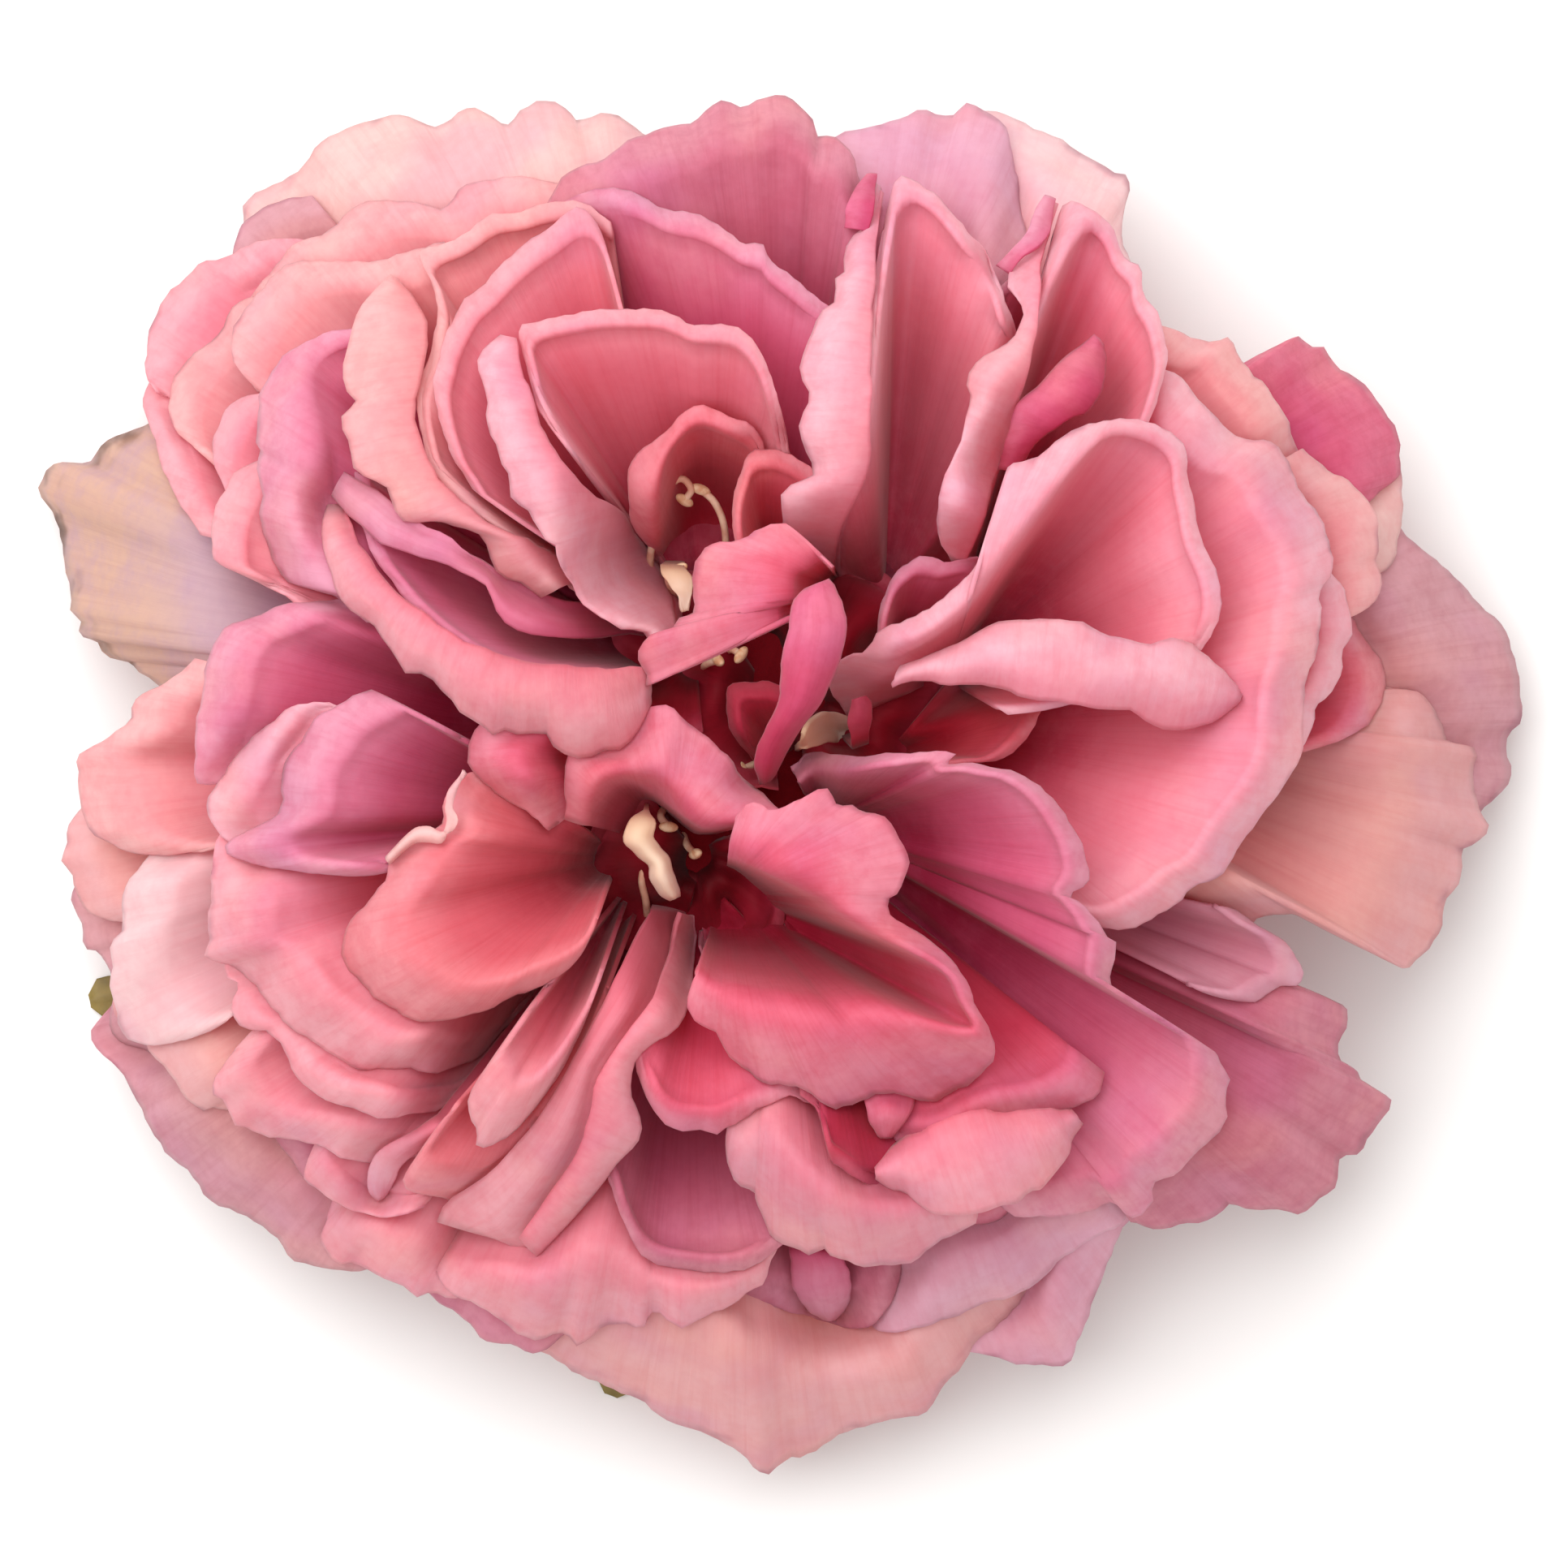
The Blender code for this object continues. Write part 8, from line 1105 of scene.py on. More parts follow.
def sepal_floor():
    """The lowest that the petals may lie: on the surface, and clear above the sepals."""
    size = int(2 * FIELD / CELL) + 1
    axis = (np.arange(size) + 0.5) * CELL - FIELD
    x, y = np.meshgrid(axis, axis, indexing="ij")
    ground = np.zeros((size, size))
    for middle, width, height in sepal_lines():
        places = range(len(middle))
        for at in np.linspace(0.0, 1.0, SEPAL_STOPS) * (len(middle) - 1):
            centre = [np.interp(at, places, middle[:, k]) for k in (0, 1)]
            room = np.interp(at, places, width) + SEPAL_ROOM
            top = np.interp(at, places, height) + SEPAL_THICKNESS / 2 + SEPAL_GAP
            near = np.hypot(x - centre[0], y - centre[1]) / room
            ground = np.maximum(ground, top * np.clip((1.6 - near) / 0.6, 0.0, 1.0))
    return ground


# %% Ceiling and pressing
CLEARANCE = 0.55
SURFACE_GAP = 0.25
CLAW_HIDDEN = 0.3
NO_CEILING = 200.0
SLOPE_OF_PRESS = 3.0
SPREAD_ROUNDS = 30
PRESS_ROUNDS, LAST_ROUNDS = 4, 2


def lowest_around(field):
    """Each cell's lowest value among its neighbours and itself."""
    out = field.copy()
    for axis in (0, 1):
        for shift in (-1, 1):
            out = np.minimum(out, np.roll(out, shift, axis))
    return out


def halved(grid):
    """The grid with a point added between each two, both ways."""
    for axis in (0, 1):
        grid = np.moveaxis(grid, axis, 0)
        out = np.empty((2 * len(grid) - 1,) + grid.shape[1:])
        out[::2] = grid
        out[1::2] = 0.5 * (grid[:-1] + grid[1:])
        grid = np.moveaxis(out, 0, axis)
    return grid


def spread_down(sink, plan):
    """How far each point is pressed, so that a press fades off sideways no steeper than a petal bends."""
    step_across = np.linalg.norm(np.diff(plan, axis=0), axis=2) * SLOPE_OF_PRESS
    step_along = np.linalg.norm(np.diff(plan, axis=1), axis=2) * SLOPE_OF_PRESS
    for _ in range(SPREAD_ROUNDS):
        sink[1:] = np.maximum(sink[1:], sink[:-1] - step_across)
        sink[:-1] = np.maximum(sink[:-1], sink[1:] - step_across)
        sink[:, 1:] = np.maximum(sink[:, 1:], sink[:, :-1] - step_along)
        sink[:, :-1] = np.maximum(sink[:, :-1], sink[:, 1:] - step_along)
    return sink


def laid(sheets, ground):
    """Each sheet pressed below all that come before it, but not into the surface that the bloom lies on."""
    ceiling = np.full(ground.shape, NO_CEILING)
    out = []
    for sheet in sheets:
        plan = sheet[..., :2]
        where = cells(plan)
        roof = lowest_around(ceiling)[where] - CLEARANCE
        roof = np.maximum(roof, dome_height(plan) - ROOT_DEPTH)
        height = sheet[..., 2] - spread_down(np.maximum(0.0, sheet[..., 2] - roof), plan)
        height = smoothed(smoothed(height, PRESS_ROUNDS, 0), PRESS_ROUNDS, 1)
        height = np.minimum(height, roof)
        height = smoothed(smoothed(height, LAST_ROUNDS, 0), LAST_ROUNDS, 1)
        height = np.maximum(height, ground[where] + SURFACE_GAP)
        sheet = np.dstack([plan, height])
        fine = halved(halved(sheet))
        seen = fine[..., 2] > dome_height(fine[..., :2]) + CLAW_HIDDEN
        np.minimum.at(ceiling, cells(fine[..., :2]), np.where(seen, fine[..., 2], NO_CEILING))
        out.append(sheet)
    return out


settled = laid(sheets, sepal_floor())
highest, lowest = max(s[..., 2].max() for s in settled), min(s[..., 2].min() for s in settled)
print("laid from", round(highest, 1), "mm down to", round(lowest, 1), "mm")

# %% [markdown]
# ## From a sheet to a petal
#
# A sheet has no thickness, and a real petal has about a third of a millimetre, thinner at its rim. So each
# sheet gets a front and a back, half a thickness to either side along its normals, closed round the edge. A
# UV map keeps where each point lies on the petal: across it (one unit for every 30 mm of rim) and along it
# from root to rim. The petal's finish follows that map.

# %% Blades
PETAL_THICKNESS = 0.36
RIM_THICKNESS = 0.16
RIM_UNIT = 30.0
ROLLED_FROM = 0.5


def sheet_normals(sheet):
    """The unit normal at each point of a sheet."""
    across, along = np.gradient(sheet, axis=0), np.gradient(sheet, axis=1)
    normal = np.cross(across, along)
    normal = normal / np.maximum(np.linalg.norm(normal, axis=2, keepdims=True), 1e-9)
    return normal * np.sign(normal[..., 2].mean() + 1e-12)


def blade_faces(columns, rows):
    """The corners of a blade's front, back and edge faces."""
    number = np.arange(columns * rows).reshape(columns, rows)
    a, b = number[:-1, :-1].ravel(), number[1:, :-1].ravel()
    c, d = number[1:, 1:].ravel(), number[:-1, 1:].ravel()
    back = columns * rows
    ring = np.concatenate([number[:, 0], number[-1, 1:], number[-2::-1, -1], number[0, -2:0:-1]])
    after = np.roll(ring, -1)
    return np.vstack([np.stack([a, b, c, d], axis=1), np.stack([a, d, c, b], axis=1) + back,
                      np.stack([ring, ring + back, after + back, after], axis=1)])


def faces_outward(mesh):
    """Turns the mesh's faces to look out of it."""
    turned = bmesh.new()
    turned.from_mesh(mesh)
    bmesh.ops.recalc_face_normals(turned, faces=turned.faces)
    turned.to_mesh(mesh)
    turned.free()


def blade(name, sheet, width, finish, start=0.0):
    """A closed thin blade round a sheet, with its UV map (from start to 1 along it) and finish."""
    columns, rows = sheet.shape[:2]
    v = np.linspace(start, 1.0, rows)
    half = 0.5 * (PETAL_THICKNESS + (RIM_THICKNESS - PETAL_THICKNESS) * v ** 6)[None, :, None]
    offset = sheet_normals(sheet) * half
    points = np.vstack([(sheet + offset).reshape(-1, 3), (sheet - offset).reshape(-1, 3)]) * MM
    faces = blade_faces(columns, rows)
    mesh = bpy.data.meshes.new(name)
    mesh.from_pydata(points.tolist(), [], faces.tolist())
    u = np.repeat(np.linspace(0.0, width / RIM_UNIT, columns)[:, None], rows, axis=1)
    uv = np.stack([u, np.repeat(v[None], columns, axis=0)], axis=2).reshape(-1, 2)
    uv = np.vstack([uv, uv])
    layer = mesh.uv_layers.new(name="petal")
    layer.data.foreach_set("uv", uv[faces.ravel()].astype(np.float32).ravel())
    mesh.materials.append(finish)
    faces_outward(mesh)
    mesh.shade_smooth()
    return linked(name, mesh)


# %% [markdown]
# ## The petals' finish
#
# A rose petal is a thin skin of velvety cells over water and air: it scatters light, lets some of it
# through, and has hardly any gloss. Its colour runs from dark at the root to pale at the rim: partly the
# petal's own deeper base, partly painted shade in the hollow and painted light on the lip. Fine veins fan
# out from the root, blotches a few millimetres across make it uneven, and the very rim is a little bruised.
# One recipe makes every finish, and each petal wears the one whose colours it shows.

# %% The recipe
GLOW = 0.42
WARM = (250, 186, 172)
COOL = (206, 112, 176)
# Where the colours sit from root (0) to rim (1): the dark root and hollow are partly painted shade, the pale
# lip and edge partly painted light.
COLOUR_PLACES = (0.0, 0.16, 0.40, 0.61, 0.86)
VEINS_ACROSS, VEINS_ALONG = 46.0, 3.0


def petal_finish(name, root, hollow, wall, lip, edge, bruise=(176, 70, 110), blotch=0.34, warm=0.24,
                 cool=0.22, worn=0.42):
    """A petal's material from its colours, from root to rim, with warm and cool clouds further out."""
    made, tree = new_material(name)
    place = node(tree, "ShaderNodeUVMap", uv_map="petal")
    parts = node(tree, "ShaderNodeSeparateXYZ", {"Vector": place.outputs["UV"]})
    across, along = parts.outputs["X"], parts.outputs["Y"]
    body = node(tree, "ShaderNodeTexCoord").outputs["Object"]
    fan = node(tree, "ShaderNodeCombineXYZ", {"X": reckoned(tree, "MULTIPLY", across, VEINS_ACROSS),
                                              "Y": reckoned(tree, "MULTIPLY", along, VEINS_ALONG)})
    veins = noise(tree, 1.0, 4.0, fan.outputs["Vector"], Roughness=0.6, Distortion=0.3)["Fac"]
    blotches = noise(tree, 260.0, 5.0, body, Roughness=0.65)["Fac"]
    speckle = noise(tree, 1150.0, 2.0, body)["Fac"]
    clouds = node(tree, "ShaderNodeSeparateColor", {"Color": noise(tree, 88.0, 3.0, body)["Color"]}).outputs
    drift = reckoned(tree, "MULTIPLY_ADD", noise(tree, 62.0, 2.0, body)["Fac"], 0.30, -0.15)
    # The ramp from root to rim paints shade into the hollow and light onto the lip, over the petal's own
    # tone.
    stops = list(zip(COLOUR_PLACES, (root, hollow, wall, lip, edge)))
    colour = ramp(tree, reckoned(tree, "ADD", along, drift), stops)
    outer = eased(tree, along, 0.25, 0.7, 1.0)
    for tint, channel, most in ((WARM, "Red", warm), (COOL, "Green", cool)):
        share = reckoned(tree, "MULTIPLY", outer, eased(tree, clouds[channel], 0.46, 0.70, most))
        colour = mixed(tree, share, colour, shade(*tint))
    colour = mixed(tree, eased(tree, veins, 0.40, 0.76, 0.20), colour, shade(*wall), "MULTIPLY")
    colour = mixed(tree, eased(tree, blotches, 0.40, 0.68, blotch), colour, shade(*wall))
    colour = mixed(tree, eased(tree, speckle, 0.35, 0.75, 0.09), colour, shade(*hollow))
    patches = eased(tree, noise(tree, 330.0, 2.0, body)["Fac"], 0.48, 0.72, 1.0)
    rim = reckoned(tree, "MULTIPLY", eased(tree, along, 0.94, 1.0, worn), patches)
    colour = mixed(tree, rim, colour, shade(*bruise))
    normal = relief(tree, reckoned(tree, "MULTIPLY_ADD", speckle, 0.35, veins), 0.24, 0.00022)
    skin = node(tree, "ShaderNodeBsdfPrincipled", {
        "Base Color": colour, "Roughness": 0.6, "Specular IOR Level": 0.25, "Sheen Weight": 0.22,
        "Sheen Roughness": 0.4, "Normal": normal})
    glow = node(tree, "ShaderNodeBsdfTranslucent", {"Color": colour, "Normal": normal})
    both = node(tree, "ShaderNodeMixShader")
    fed(tree, both.inputs, (GLOW, skin.outputs[0], glow.outputs[0]))
    surface(tree, both)
    return made


# %% The finishes, named for how they look
# In each finish the root and hollow colours are partly painted shade, and the lip and edge colours partly
# painted light.
FINISHES = {
    "rose": dict(root=(156, 14, 40), hollow=(200, 36, 70), wall=(226, 74, 106), lip=(236, 118, 144),
                 edge=(244, 158, 178)),
    "coral": dict(root=(152, 12, 32), hollow=(202, 38, 62), wall=(230, 82, 102), lip=(239, 126, 142),
                  edge=(246, 168, 180)),
    "heart": dict(root=(180, 40, 62), hollow=(212, 76, 94), wall=(233, 112, 126), lip=(241, 142, 152),
                  edge=(246, 170, 178), warm=0.12),
    "blush": dict(root=(170, 30, 60), hollow=(214, 72, 102), wall=(238, 128, 148), lip=(245, 164, 178),
                  edge=(248, 188, 198)),
    "pink": dict(root=(170, 24, 58), hollow=(220, 82, 112), wall=(241, 140, 160), lip=(247, 176, 192),
                 edge=(250, 202, 214)),
    "salmon": dict(root=(170, 34, 54), hollow=(214, 84, 102), wall=(238, 144, 154), lip=(245, 176, 180),
                   edge=(248, 198, 198)),
    "mauve": dict(root=(146, 18, 54), hollow=(196, 54, 96), wall=(224, 104, 142), lip=(232, 142, 172),
                  edge=(240, 174, 198)),
    "dusky": dict(root=(124, 14, 40), hollow=(168, 44, 76), wall=(204, 92, 122), lip=(218, 128, 152),
                  edge=(230, 156, 174)),
    "magenta": dict(root=(130, 10, 46), hollow=(178, 32, 78), wall=(212, 62, 106), lip=(224, 92, 132),
                    edge=(236, 128, 160)),
    "red": dict(root=(96, 4, 14), hollow=(150, 16, 38), wall=(196, 40, 66), lip=(214, 66, 92),
                edge=(226, 100, 120)),
    # The inner finish is dark red painted shade for the low petals deep in the hollows.
    "inner": dict(root=(84, 6, 14), hollow=(140, 14, 32), wall=(190, 32, 56), lip=(214, 62, 88),
                  edge=(226, 96, 118), warm=0.1, cool=0.1),
    "pale": dict(root=(196, 96, 112), hollow=(230, 150, 162), wall=(242, 186, 194), lip=(247, 208, 212),
                 edge=(249, 220, 222)),
    "beige": dict(root=(186, 84, 92), hollow=(218, 130, 136), wall=(236, 164, 164), lip=(243, 188, 182),
                  edge=(243, 194, 196)),
    "faded": dict(root=(140, 50, 56), hollow=(178, 94, 100), wall=(206, 134, 142), lip=(224, 164, 168),
                  edge=(228, 176, 186)),
    "peach": dict(root=(188, 86, 92), hollow=(222, 134, 138), wall=(238, 172, 174), lip=(245, 206, 202),
                  edge=(246, 212, 208), warm=0.12),
    "lilac": dict(root=(164, 60, 96), hollow=(206, 112, 142), wall=(228, 152, 174), lip=(236, 178, 196),
                  edge=(242, 194, 212)),
    "withered": dict(root=(150, 100, 130), hollow=(184, 142, 170), wall=(204, 168, 190), lip=(214, 182, 192),
                     edge=(226, 188, 168), bruise=(126, 72, 42), blotch=0.5, warm=0.0, cool=0.0, worn=0.95),
    "cream": dict(root=(214, 130, 110), hollow=(240, 196, 160), wall=(248, 222, 190), lip=(250, 230, 206),
                  edge=(250, 232, 214), bruise=(226, 176, 140), warm=0.1, cool=0.0),
}
finishes = {name: petal_finish("petal_" + name, **colours) for name, colours in FINISHES.items()}
print(len(finishes), "finishes")

# %% Which petal wears which finish
FINISH_OF = {
    "rose": "south_east_shell_wall centre_scoop south_mouth south_tongue south_small_rose south_pocket"
            " south_east_sliver south_west_arch south_west_tip",
    "heart": "south_west_heart south_west_tongue",
    "coral": "north_west_heart_flap north_west_heart east_coral_tongue east_small_coral",
    "blush": "north_west_cup west_lip south_fold south_fold_lip north_west_second south_lip"
             " south_west_lobe south_west_ring south_west_pale_ring south_west_shell south_frill"
             " south_west_coral south_east_shell south_west_mauve west_second_lobe west_third_lobe"
             " west_outer_upper west_outer_lower",
    "pink": "east_band north_fan_lip north_east_fan_lip north_east_cup north_east_fan north_fan east_cup"
            " north_west_cup_lip east_low_lobe west_pale_lobe south_west_point",
    "salmon": "north_west_third north_west_third_lip west_salmon_guard north_west_salmon north_west_back"
              " east_upper_lobe north_east_back west_pale_fan",
    "mauve": "west_lip_wall south_east_sail north_small_mauve north_east_roll north_west_edge"
             " west_mauve_upper west_mauve_top north_west_fourth south_small_pink north_second_cup",
    "dusky": "north_dusky_fold south_west_dusky south_cup south_dusky_inner south_west_small_guard"
             " north_mauve_back south_east_mauve",
    "magenta": "centre_curl north_roll north_east_wing east_magenta_back",
    "red": "centre_sliver south_red_cup",
    "inner": "inner_flap inner_south inner_south_east inner_east inner_north inner_west inner_middle",
    "pale": "west_white_lobe north_east_guard",
    "beige": "south_east_guard south_guard west_peach_guard south_west_peach",
    "faded": "east_guard south_west_guard west_brown_guard north_west_brown",
    "peach": "cream_edge north_west_guard east_cream_lobe",
    "lilac": "south_east_flap south_south_east south_east_point north_guard",
    "withered": "west_withered",
    "cream": "cream_east cream_north cream_south",
}
finish_of = {petal: finish for finish, names in FINISH_OF.items() for petal in names.split()}

petal_pieces = []
for petal, sheet, width in zip(PETALS, settled, widths):
    rolled = petal["kind"] == "strip" and petal["root"] is None
    finish = finishes[finish_of[petal["name"]]]
    piece = blade(petal["name"], sheet, width, finish, ROLLED_FROM if rolled else 0.0)
    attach(piece, "root")
    petal_pieces.append(piece)
print(len(petal_pieces), "petals,", sum(2 * len(p.data.polygons) for p in petal_pieces), "triangles")

# %% [markdown]
# ## The receptacle
#
# Deep in the hollows one sees what the petals grow from: a domed cushion with the crowded claws of petals
# on it, painted dark red on top as the shade of the hollows, and paler and greenish lower down. From below
# it shows as a short cone that runs down into the hip, ribbed by the claws of the outermost petals. A turned
# form with ribs pressed into it gives both. It stays just inside the solid that it stands for.

# %% A turned and ribbed cushion
CORE_SIDES, CORE_RINGS = 144, 12
CORE_FOOT_RADIUS, CORE_FOOT_HEIGHT = 6.0, 9.6
CORE_INSET = 0.7
CORE_CONE = [(CORE_FOOT_RADIUS - CORE_INSET, CORE_FOOT_HEIGHT), (9.5, 10.2), (14.0, 11.6), (18.0, 12.9)]
CLAW_RIBS, CLAW_DEPTH = 19, 0.9
FULL_RIB_RADIUS = 8.0


def turned_form(name, profile, middle, sides, ribs, rib_depth, finish):
    """A closed form turned about an upright axis, from a profile of radii and heights, with upright ribs."""
    angle = np.arange(sides) / sides * 2 * np.pi
    points, faces = [(middle[0], middle[1], profile[0][1])], []
    for radius, height in profile:
        rib = np.cos(angle * ribs + 0.3 * np.sin(3 * angle))
        r = radius - np.maximum(0.0, rib_depth * np.minimum(1.0, radius / FULL_RIB_RADIUS) * rib)
        points += zip(middle[0] + r * np.cos(angle), middle[1] + r * np.sin(angle), np.full(sides, height))
    points.append((middle[0], middle[1], profile[-1][1]))
    top = 1 + (len(profile) - 1) * sides
    for side in range(sides):
        after = (side + 1) % sides
        faces.append((0, 1 + after, 1 + side))
        for ring in range(len(profile) - 1):
            a, b = 1 + ring * sides + side, 1 + ring * sides + after
            faces.append((a, b, b + sides, a + sides))
        faces.append((top + side, top + after, len(points) - 1))
    mesh = bpy.data.meshes.new(name)
    mesh.from_pydata([tuple(np.array(p) * MM) for p in points], [], faces)
    mesh.materials.append(finish)
    mesh.shade_smooth()
    return linked(name, mesh)


core_finish, tree = new_material("claws_and_receptacle")
body = node(tree, "ShaderNodeTexCoord").outputs["Object"]
height = node(tree, "ShaderNodeSeparateXYZ", {"Vector": body}).outputs["Z"]
grain = noise(tree, 900.0, 4.0, body)["Fac"]
level = reckoned(tree, "MULTIPLY_ADD", height, 1.0 / 0.013, -0.0095 / 0.013)
level = reckoned(tree, "ADD", level, reckoned(tree, "MULTIPLY_ADD", grain, 0.2, -0.1))
# Darker red higher up: painted shade for the top of the cushion, which shows only deep in the hollows.
stops = [(0.0, (150, 150, 84)), (0.3, (206, 120, 120)), (0.55, (156, 24, 44)), (0.9, (110, 12, 22))]
surface(tree, node(tree, "ShaderNodeBsdfPrincipled", {
    "Base Color": ramp(tree, level, stops), "Roughness": 0.9, "Specular IOR Level": 0.08,
    "Normal": relief(tree, grain, 0.6, 0.0005)}))

rising = np.linspace(0.0, np.pi / 2, CORE_RINGS)[:-1]
core_dome = [((DOME_RADIUS - CORE_INSET) * np.cos(a), DOME_BASE + (DOME_RISE - CORE_INSET) * np.sin(a))
             for a in rising]
receptacle = turned_form("receptacle", CORE_CONE + core_dome, DOME_MIDDLE, CORE_SIDES, CLAW_RIBS, CLAW_DEPTH,
                         core_finish)
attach(receptacle, "root")
print("receptacle", len(receptacle.data.polygons), "faces")

# %% [markdown]
# ## Stamens
#
# A very double rose keeps only a few stamens, curled among the innermost petals: a cream thread as thick as
# a pin that ends in an anther. They follow paths, so Geometry Nodes makes them: it sweeps a round profile
# along each path and sets an anther on its end, turned along it. The tree has named inputs and a fixed
# seed.

# %% Paths of the threads
PATH_POINTS = 24
STAMEN_PATHS = (
    ((-7.0, 12.0, 20.5), (-6.9, 14.5, 24.0), (-6.0, 17.0, 26.5), (-5.6, 19.0, 27.5), (-4.6, 19.7, 27.6),
     (-3.9, 18.9, 27.2), (-4.4, 18.1, 26.8)),
    ((-2.2, 12.4, 20.5), (-1.4, 14.4, 23.5), (-1.5, 16.4, 25.5), (-2.2, 18.0, 26.6), (-3.2, 18.9, 26.9)),
    ((-4.6, 11.0, 21.0), (-5.4, 11.6, 24.5), (-5.6, 12.6, 26.5), (-4.8, 13.0, 27.0)),
    ((-7.2, -13.2, 19.5), (-7.3, -11.8, 22.0), (-7.6, -10.2, 23.5), (-7.3, -8.8, 24.3)),
    ((-4.6, -6.6, 21.0), (-4.2, -7.6, 23.0), (-3.6, -8.2, 24.5)),
    ((-3.4, 5.4, 21.5), (-2.8, 5.9, 25.5), (-1.9, 6.2, 27.0)),
    ((-1.6, 6.6, 21.5), (-0.9, 7.0, 25.5), (-0.2, 6.6, 26.6)),
    ((-5.8, -4.6, 21.0), (-6.2, -5.4, 23.5), (-5.6, -6.2, 24.5)),
    ((1.0, -1.0, 21.5), (0.6, -1.6, 23.5), (-0.2, -1.8, 24.4)),
)

paths = bpy.data.curves.new("stamen_paths", "CURVE")
paths.dimensions = "3D"
for corners in STAMEN_PATHS:
    points = np.array(corners)
    last = len(points) - 1
    share = np.linspace(0, last, PATH_POINTS)
    flat = smooth_curve(points[:, :2])
    x, y = (np.interp(share, np.linspace(0, last, len(flat)), flat[:, k]) for k in (0, 1))
    z = np.interp(share, range(last + 1), points[:, 2])
    spline = paths.splines.new("POLY")
    spline.points.add(PATH_POINTS - 1)
    for spot, place in zip(spline.points, zip(x, y, z)):
        spot.co = (place[0] * MM, place[1] * MM, place[2] * MM, 1.0)
print(len(STAMEN_PATHS), "stamens")


# %% Finishes of thread and anther
def grained_finish(name, stops, scale, roughness, strength, distance):
    """A material with a colour ramp over a fine grain, and that grain as its relief."""
    made, tree = new_material(name)
    grain = noise(tree, scale, 3.0)["Fac"]
    surface(tree, node(tree, "ShaderNodeBsdfPrincipled", {
        "Base Color": ramp(tree, grain, stops), "Roughness": roughness,
        "Normal": relief(tree, grain, strength, distance)}))
    return made


thread_stops = [(0.35, (232, 180, 150)), (0.65, (248, 222, 192))]
anther_stops = [(0.35, (226, 176, 130)), (0.65, (248, 224, 184))]
thread_finish = grained_finish("stamen_thread", thread_stops, 700.0, 0.55, 0.4, 0.0001)
anther_finish = grained_finish("anther_pollen", anther_stops, 1800.0, 0.55, 0.4, 0.0001)

# %% The Geometry Nodes tree and its inputs
THREAD_RADIUS, ANTHER_LENGTH, ANTHER_WIDTH = 0.00028, 0.0008, 0.0004
ANTHER_SEED = 5
LEAST_LEAN, MOST_LEAN = (-0.4, -0.4, 0.0), (0.4, 0.4, 6.28)

stamen_tree = bpy.data.node_groups.new("stamens_on_paths", "GeometryNodeTree")
for title, way, kind, value in (
        ("Geometry", "OUTPUT", "Geometry", None), ("Geometry", "INPUT", "Geometry", None),
        ("Thread radius", "INPUT", "Float", THREAD_RADIUS),
        ("Anther length", "INPUT", "Float", ANTHER_LENGTH),
        ("Anther width", "INPUT", "Float", ANTHER_WIDTH),
        ("Seed", "INPUT", "Int", ANTHER_SEED)):
    socket = stamen_tree.interface.new_socket(title, in_out=way, socket_type="NodeSocket" + kind)
    if value is not None:
        socket.default_value = value
print("inputs", [s.name for s in stamen_tree.interface.items_tree if s.in_out == "INPUT"])


def step(kind, links=(), **values):
    """The outputs of a new node of the stamens' tree."""
    return node(stamen_tree, kind, links, **values).outputs


# %% Threads along the paths, an anther on each end
given = step("NodeGroupInput")
ring = step("GeometryNodeCurvePrimitiveCircle", {"Resolution": 8, "Radius": given["Thread radius"]})
swept = step("GeometryNodeCurveToMesh", {"Curve": given["Geometry"], "Profile Curve": ring["Curve"],
                                         "Fill Caps": True})
threads = step("GeometryNodeSetMaterial", {"Geometry": swept["Mesh"], "Material": thread_finish})
size = step("ShaderNodeCombineXYZ", {"X": given["Anther width"], "Y": given["Anther width"],
                                     "Z": given["Anther length"]})
ball = step("GeometryNodeMeshIcoSphere", {"Radius": 1.0, "Subdivisions": 3})
lobe = step("GeometryNodeTransform", {"Geometry": ball["Mesh"], "Scale": size["Vector"]})
end = step("GeometryNodeCurveEndpointSelection", {"Start Size": 0, "End Size": 1})
tangent = step("GeometryNodeInputTangent")
aim = step("FunctionNodeAlignRotationToVector", {"Vector": tangent["Tangent"]}, axis="Z")
lean = node(stamen_tree, "FunctionNodeRandomValue", {"Seed": given["Seed"]}, data_type="FLOAT_VECTOR")
fed(stamen_tree, lean.inputs, (LEAST_LEAN, MOST_LEAN))
turned = step("FunctionNodeRotateRotation", {"Rotation": aim["Rotation"], "Rotate By": lean.outputs[0]})
placed = step("GeometryNodeInstanceOnPoints", {
    "Points": given["Geometry"], "Selection": end["Selection"], "Instance": lobe["Geometry"],
    "Rotation": turned["Rotation"]})
real = step("GeometryNodeRealizeInstances", {"Geometry": placed["Instances"]})
anthers = step("GeometryNodeSetMaterial", {"Geometry": real["Geometry"], "Material": anther_finish})
whole = node(stamen_tree, "GeometryNodeJoinGeometry")
for part in (threads, anthers):
    stamen_tree.links.new(part["Geometry"], whole.inputs["Geometry"])
smooth = step("GeometryNodeSetShadeSmooth", {"Geometry": whole.outputs["Geometry"]})
node(stamen_tree, "NodeGroupOutput", {"Geometry": smooth["Geometry"]})


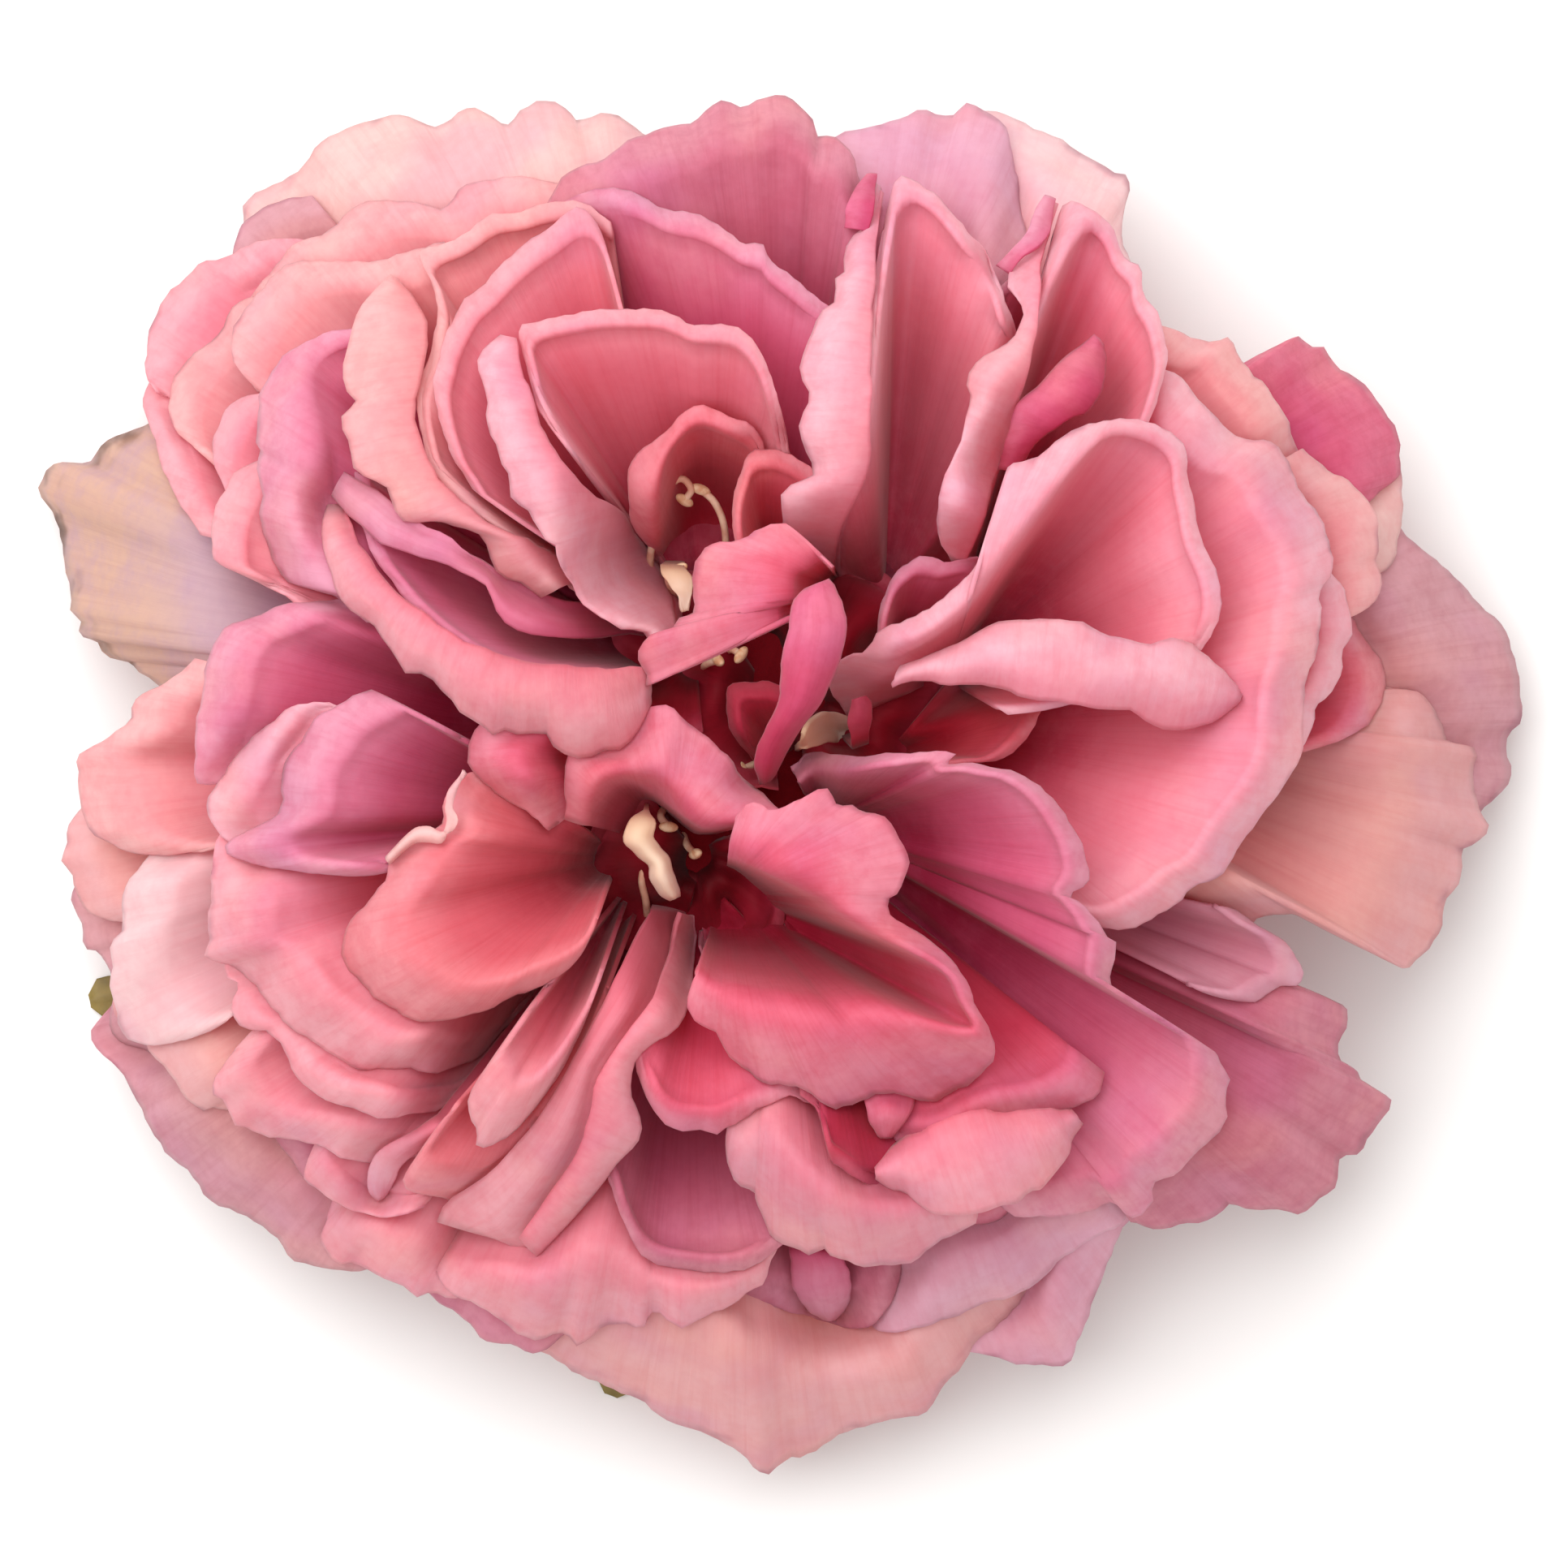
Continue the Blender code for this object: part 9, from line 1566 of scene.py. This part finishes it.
# %% The stamens as a plain mesh
def made_plain(source, tree, name, inputs):
    """The mesh that a tree makes from an object, as a plain object of its own."""
    modifier = source.modifiers.new("nodes", "NODES")
    modifier.node_group = tree
    sockets = {s.name: s.identifier for s in tree.interface.items_tree if s.in_out == "INPUT"}
    for title, value in inputs.items():
        modifier[sockets[title]] = value
    bpy.context.view_layer.update()
    evaluated = source.evaluated_get(bpy.context.evaluated_depsgraph_get())
    mesh = bpy.data.meshes.new_from_object(evaluated)
    mesh.name = name
    source.modifiers.remove(modifier)
    print(name, len(mesh.polygons), "faces, finishes", [m.name for m in mesh.materials if m])
    return linked(name, mesh)


path_object = linked("stamen_paths", paths)
chosen = {"Thread radius": THREAD_RADIUS, "Seed": ANTHER_SEED}
stamens = made_plain(path_object, stamen_tree, "stamens", chosen)
bpy.data.objects.remove(path_object)
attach(stamens, "root")

# %% [markdown]
# ## Hip and sepals
#
# Below the petals sits the hip, the swollen green tube that the stem was broken from, and the five sepals,
# turned back and lying out along the surface. Only two brownish tips show from above. Each sepal is arched,
# thickened along its midrib and drawn out to a thin tip. The short gland-tipped hairs of a real calyx are
# left out.

# %% The green of the calyx
calyx_finish, tree = new_material("calyx_green")
cloud, fine = noise(tree, 140.0, 4.0)["Fac"], noise(tree, 1300.0, 3.0)["Fac"]
stops = [(0.30, (112, 98, 48)), (0.50, (150, 130, 66)), (0.70, (170, 138, 82))]
colour = mixed(tree, reckoned(tree, "MULTIPLY", fine, 0.4), ramp(tree, cloud, stops), shade(86, 60, 40))
surface(tree, node(tree, "ShaderNodeBsdfPrincipled", {
    "Base Color": colour, "Roughness": 0.6, "Normal": relief(tree, fine, 0.5, 0.0002)}))

# %% One closed form for the hip, one for each sepal
HIP_PROFILE = ((0.9, 0.35), (2.0, 0.0), (2.6, 0.15), (2.9, 0.8), (4.0, 1.9), (5.2, 3.2), (5.6, 4.6),
               (5.5, 6.2), (5.1, 7.6), (4.5, 9.1))
HIP_SIDES, HIP_STEPS = 72, 6
HIP_RIBS, HIP_RIB_DEPTH = 5, 0.12
SEPAL_ROWS, SEPAL_COLUMNS = 60, 12
SEPAL_UV_WIDTH = 10.0
FRAYS, FRAY_SHARE = ((3.0, 1.0), (1.4, 0.8)), 0.05
SEPAL_ARCH = 0.25
MIDRIB_HEIGHT, MIDRIB_WIDTH = 0.12, 0.18


def sepal_sheet(middle, width, height):
    """A sepal's points, across by along: arched, with a raised midrib and a slightly frayed margin."""
    along = np.gradient(middle, axis=0)
    side = np.stack([-along[:, 1], along[:, 0]], axis=1) / np.linalg.norm(along, axis=1)[:, None]
    chance = np.random.default_rng(int(1000 * width.sum()))
    fray = 1.0 + FRAY_SHARE * waves(run_lengths(middle), FRAYS, chance)
    across = np.linspace(-1.0, 1.0, SEPAL_COLUMNS + 1)[:, None]
    plan = middle[None] + side[None] * (width * fray)[None, :, None] * across[..., None]
    level = height[None, :] - SEPAL_ARCH * across ** 2 * np.minimum(1.0, height[None, :])
    level = level + MIDRIB_HEIGHT * np.exp(-(across / MIDRIB_WIDTH) ** 2)
    return np.dstack([plan, level])


hip_curve = [tuple(p) for p in smooth_curve(HIP_PROFILE, HIP_STEPS)]
shells = [turned_form("hip", hip_curve, (0.0, 0.0), HIP_SIDES, HIP_RIBS, HIP_RIB_DEPTH, calyx_finish)]
for number, lines in enumerate(sepal_lines(SEPAL_ROWS)):
    shells.append(blade("sepal_%d" % number, sepal_sheet(*lines), SEPAL_UV_WIDTH, calyx_finish))
print(len(shells), "closed forms")

# %% The calyx as one piece
joined = bmesh.new()
for shell in shells:
    joined.from_mesh(shell.data)
    bpy.data.objects.remove(shell)
calyx_mesh = bpy.data.meshes.new("hip_and_sepals_fine")
joined.to_mesh(calyx_mesh)
joined.free()
calyx_mesh.materials.append(calyx_finish)
calyx_mesh.shade_smooth()
calyx = linked("hip_and_sepals_fine", calyx_mesh)
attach(calyx, "root")
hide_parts("hip_and_sepals")
for piece in petal_pieces + [receptacle, stamens]:
    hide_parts("petals_and_stamens")
print("calyx", len(calyx_mesh.polygons), "faces")
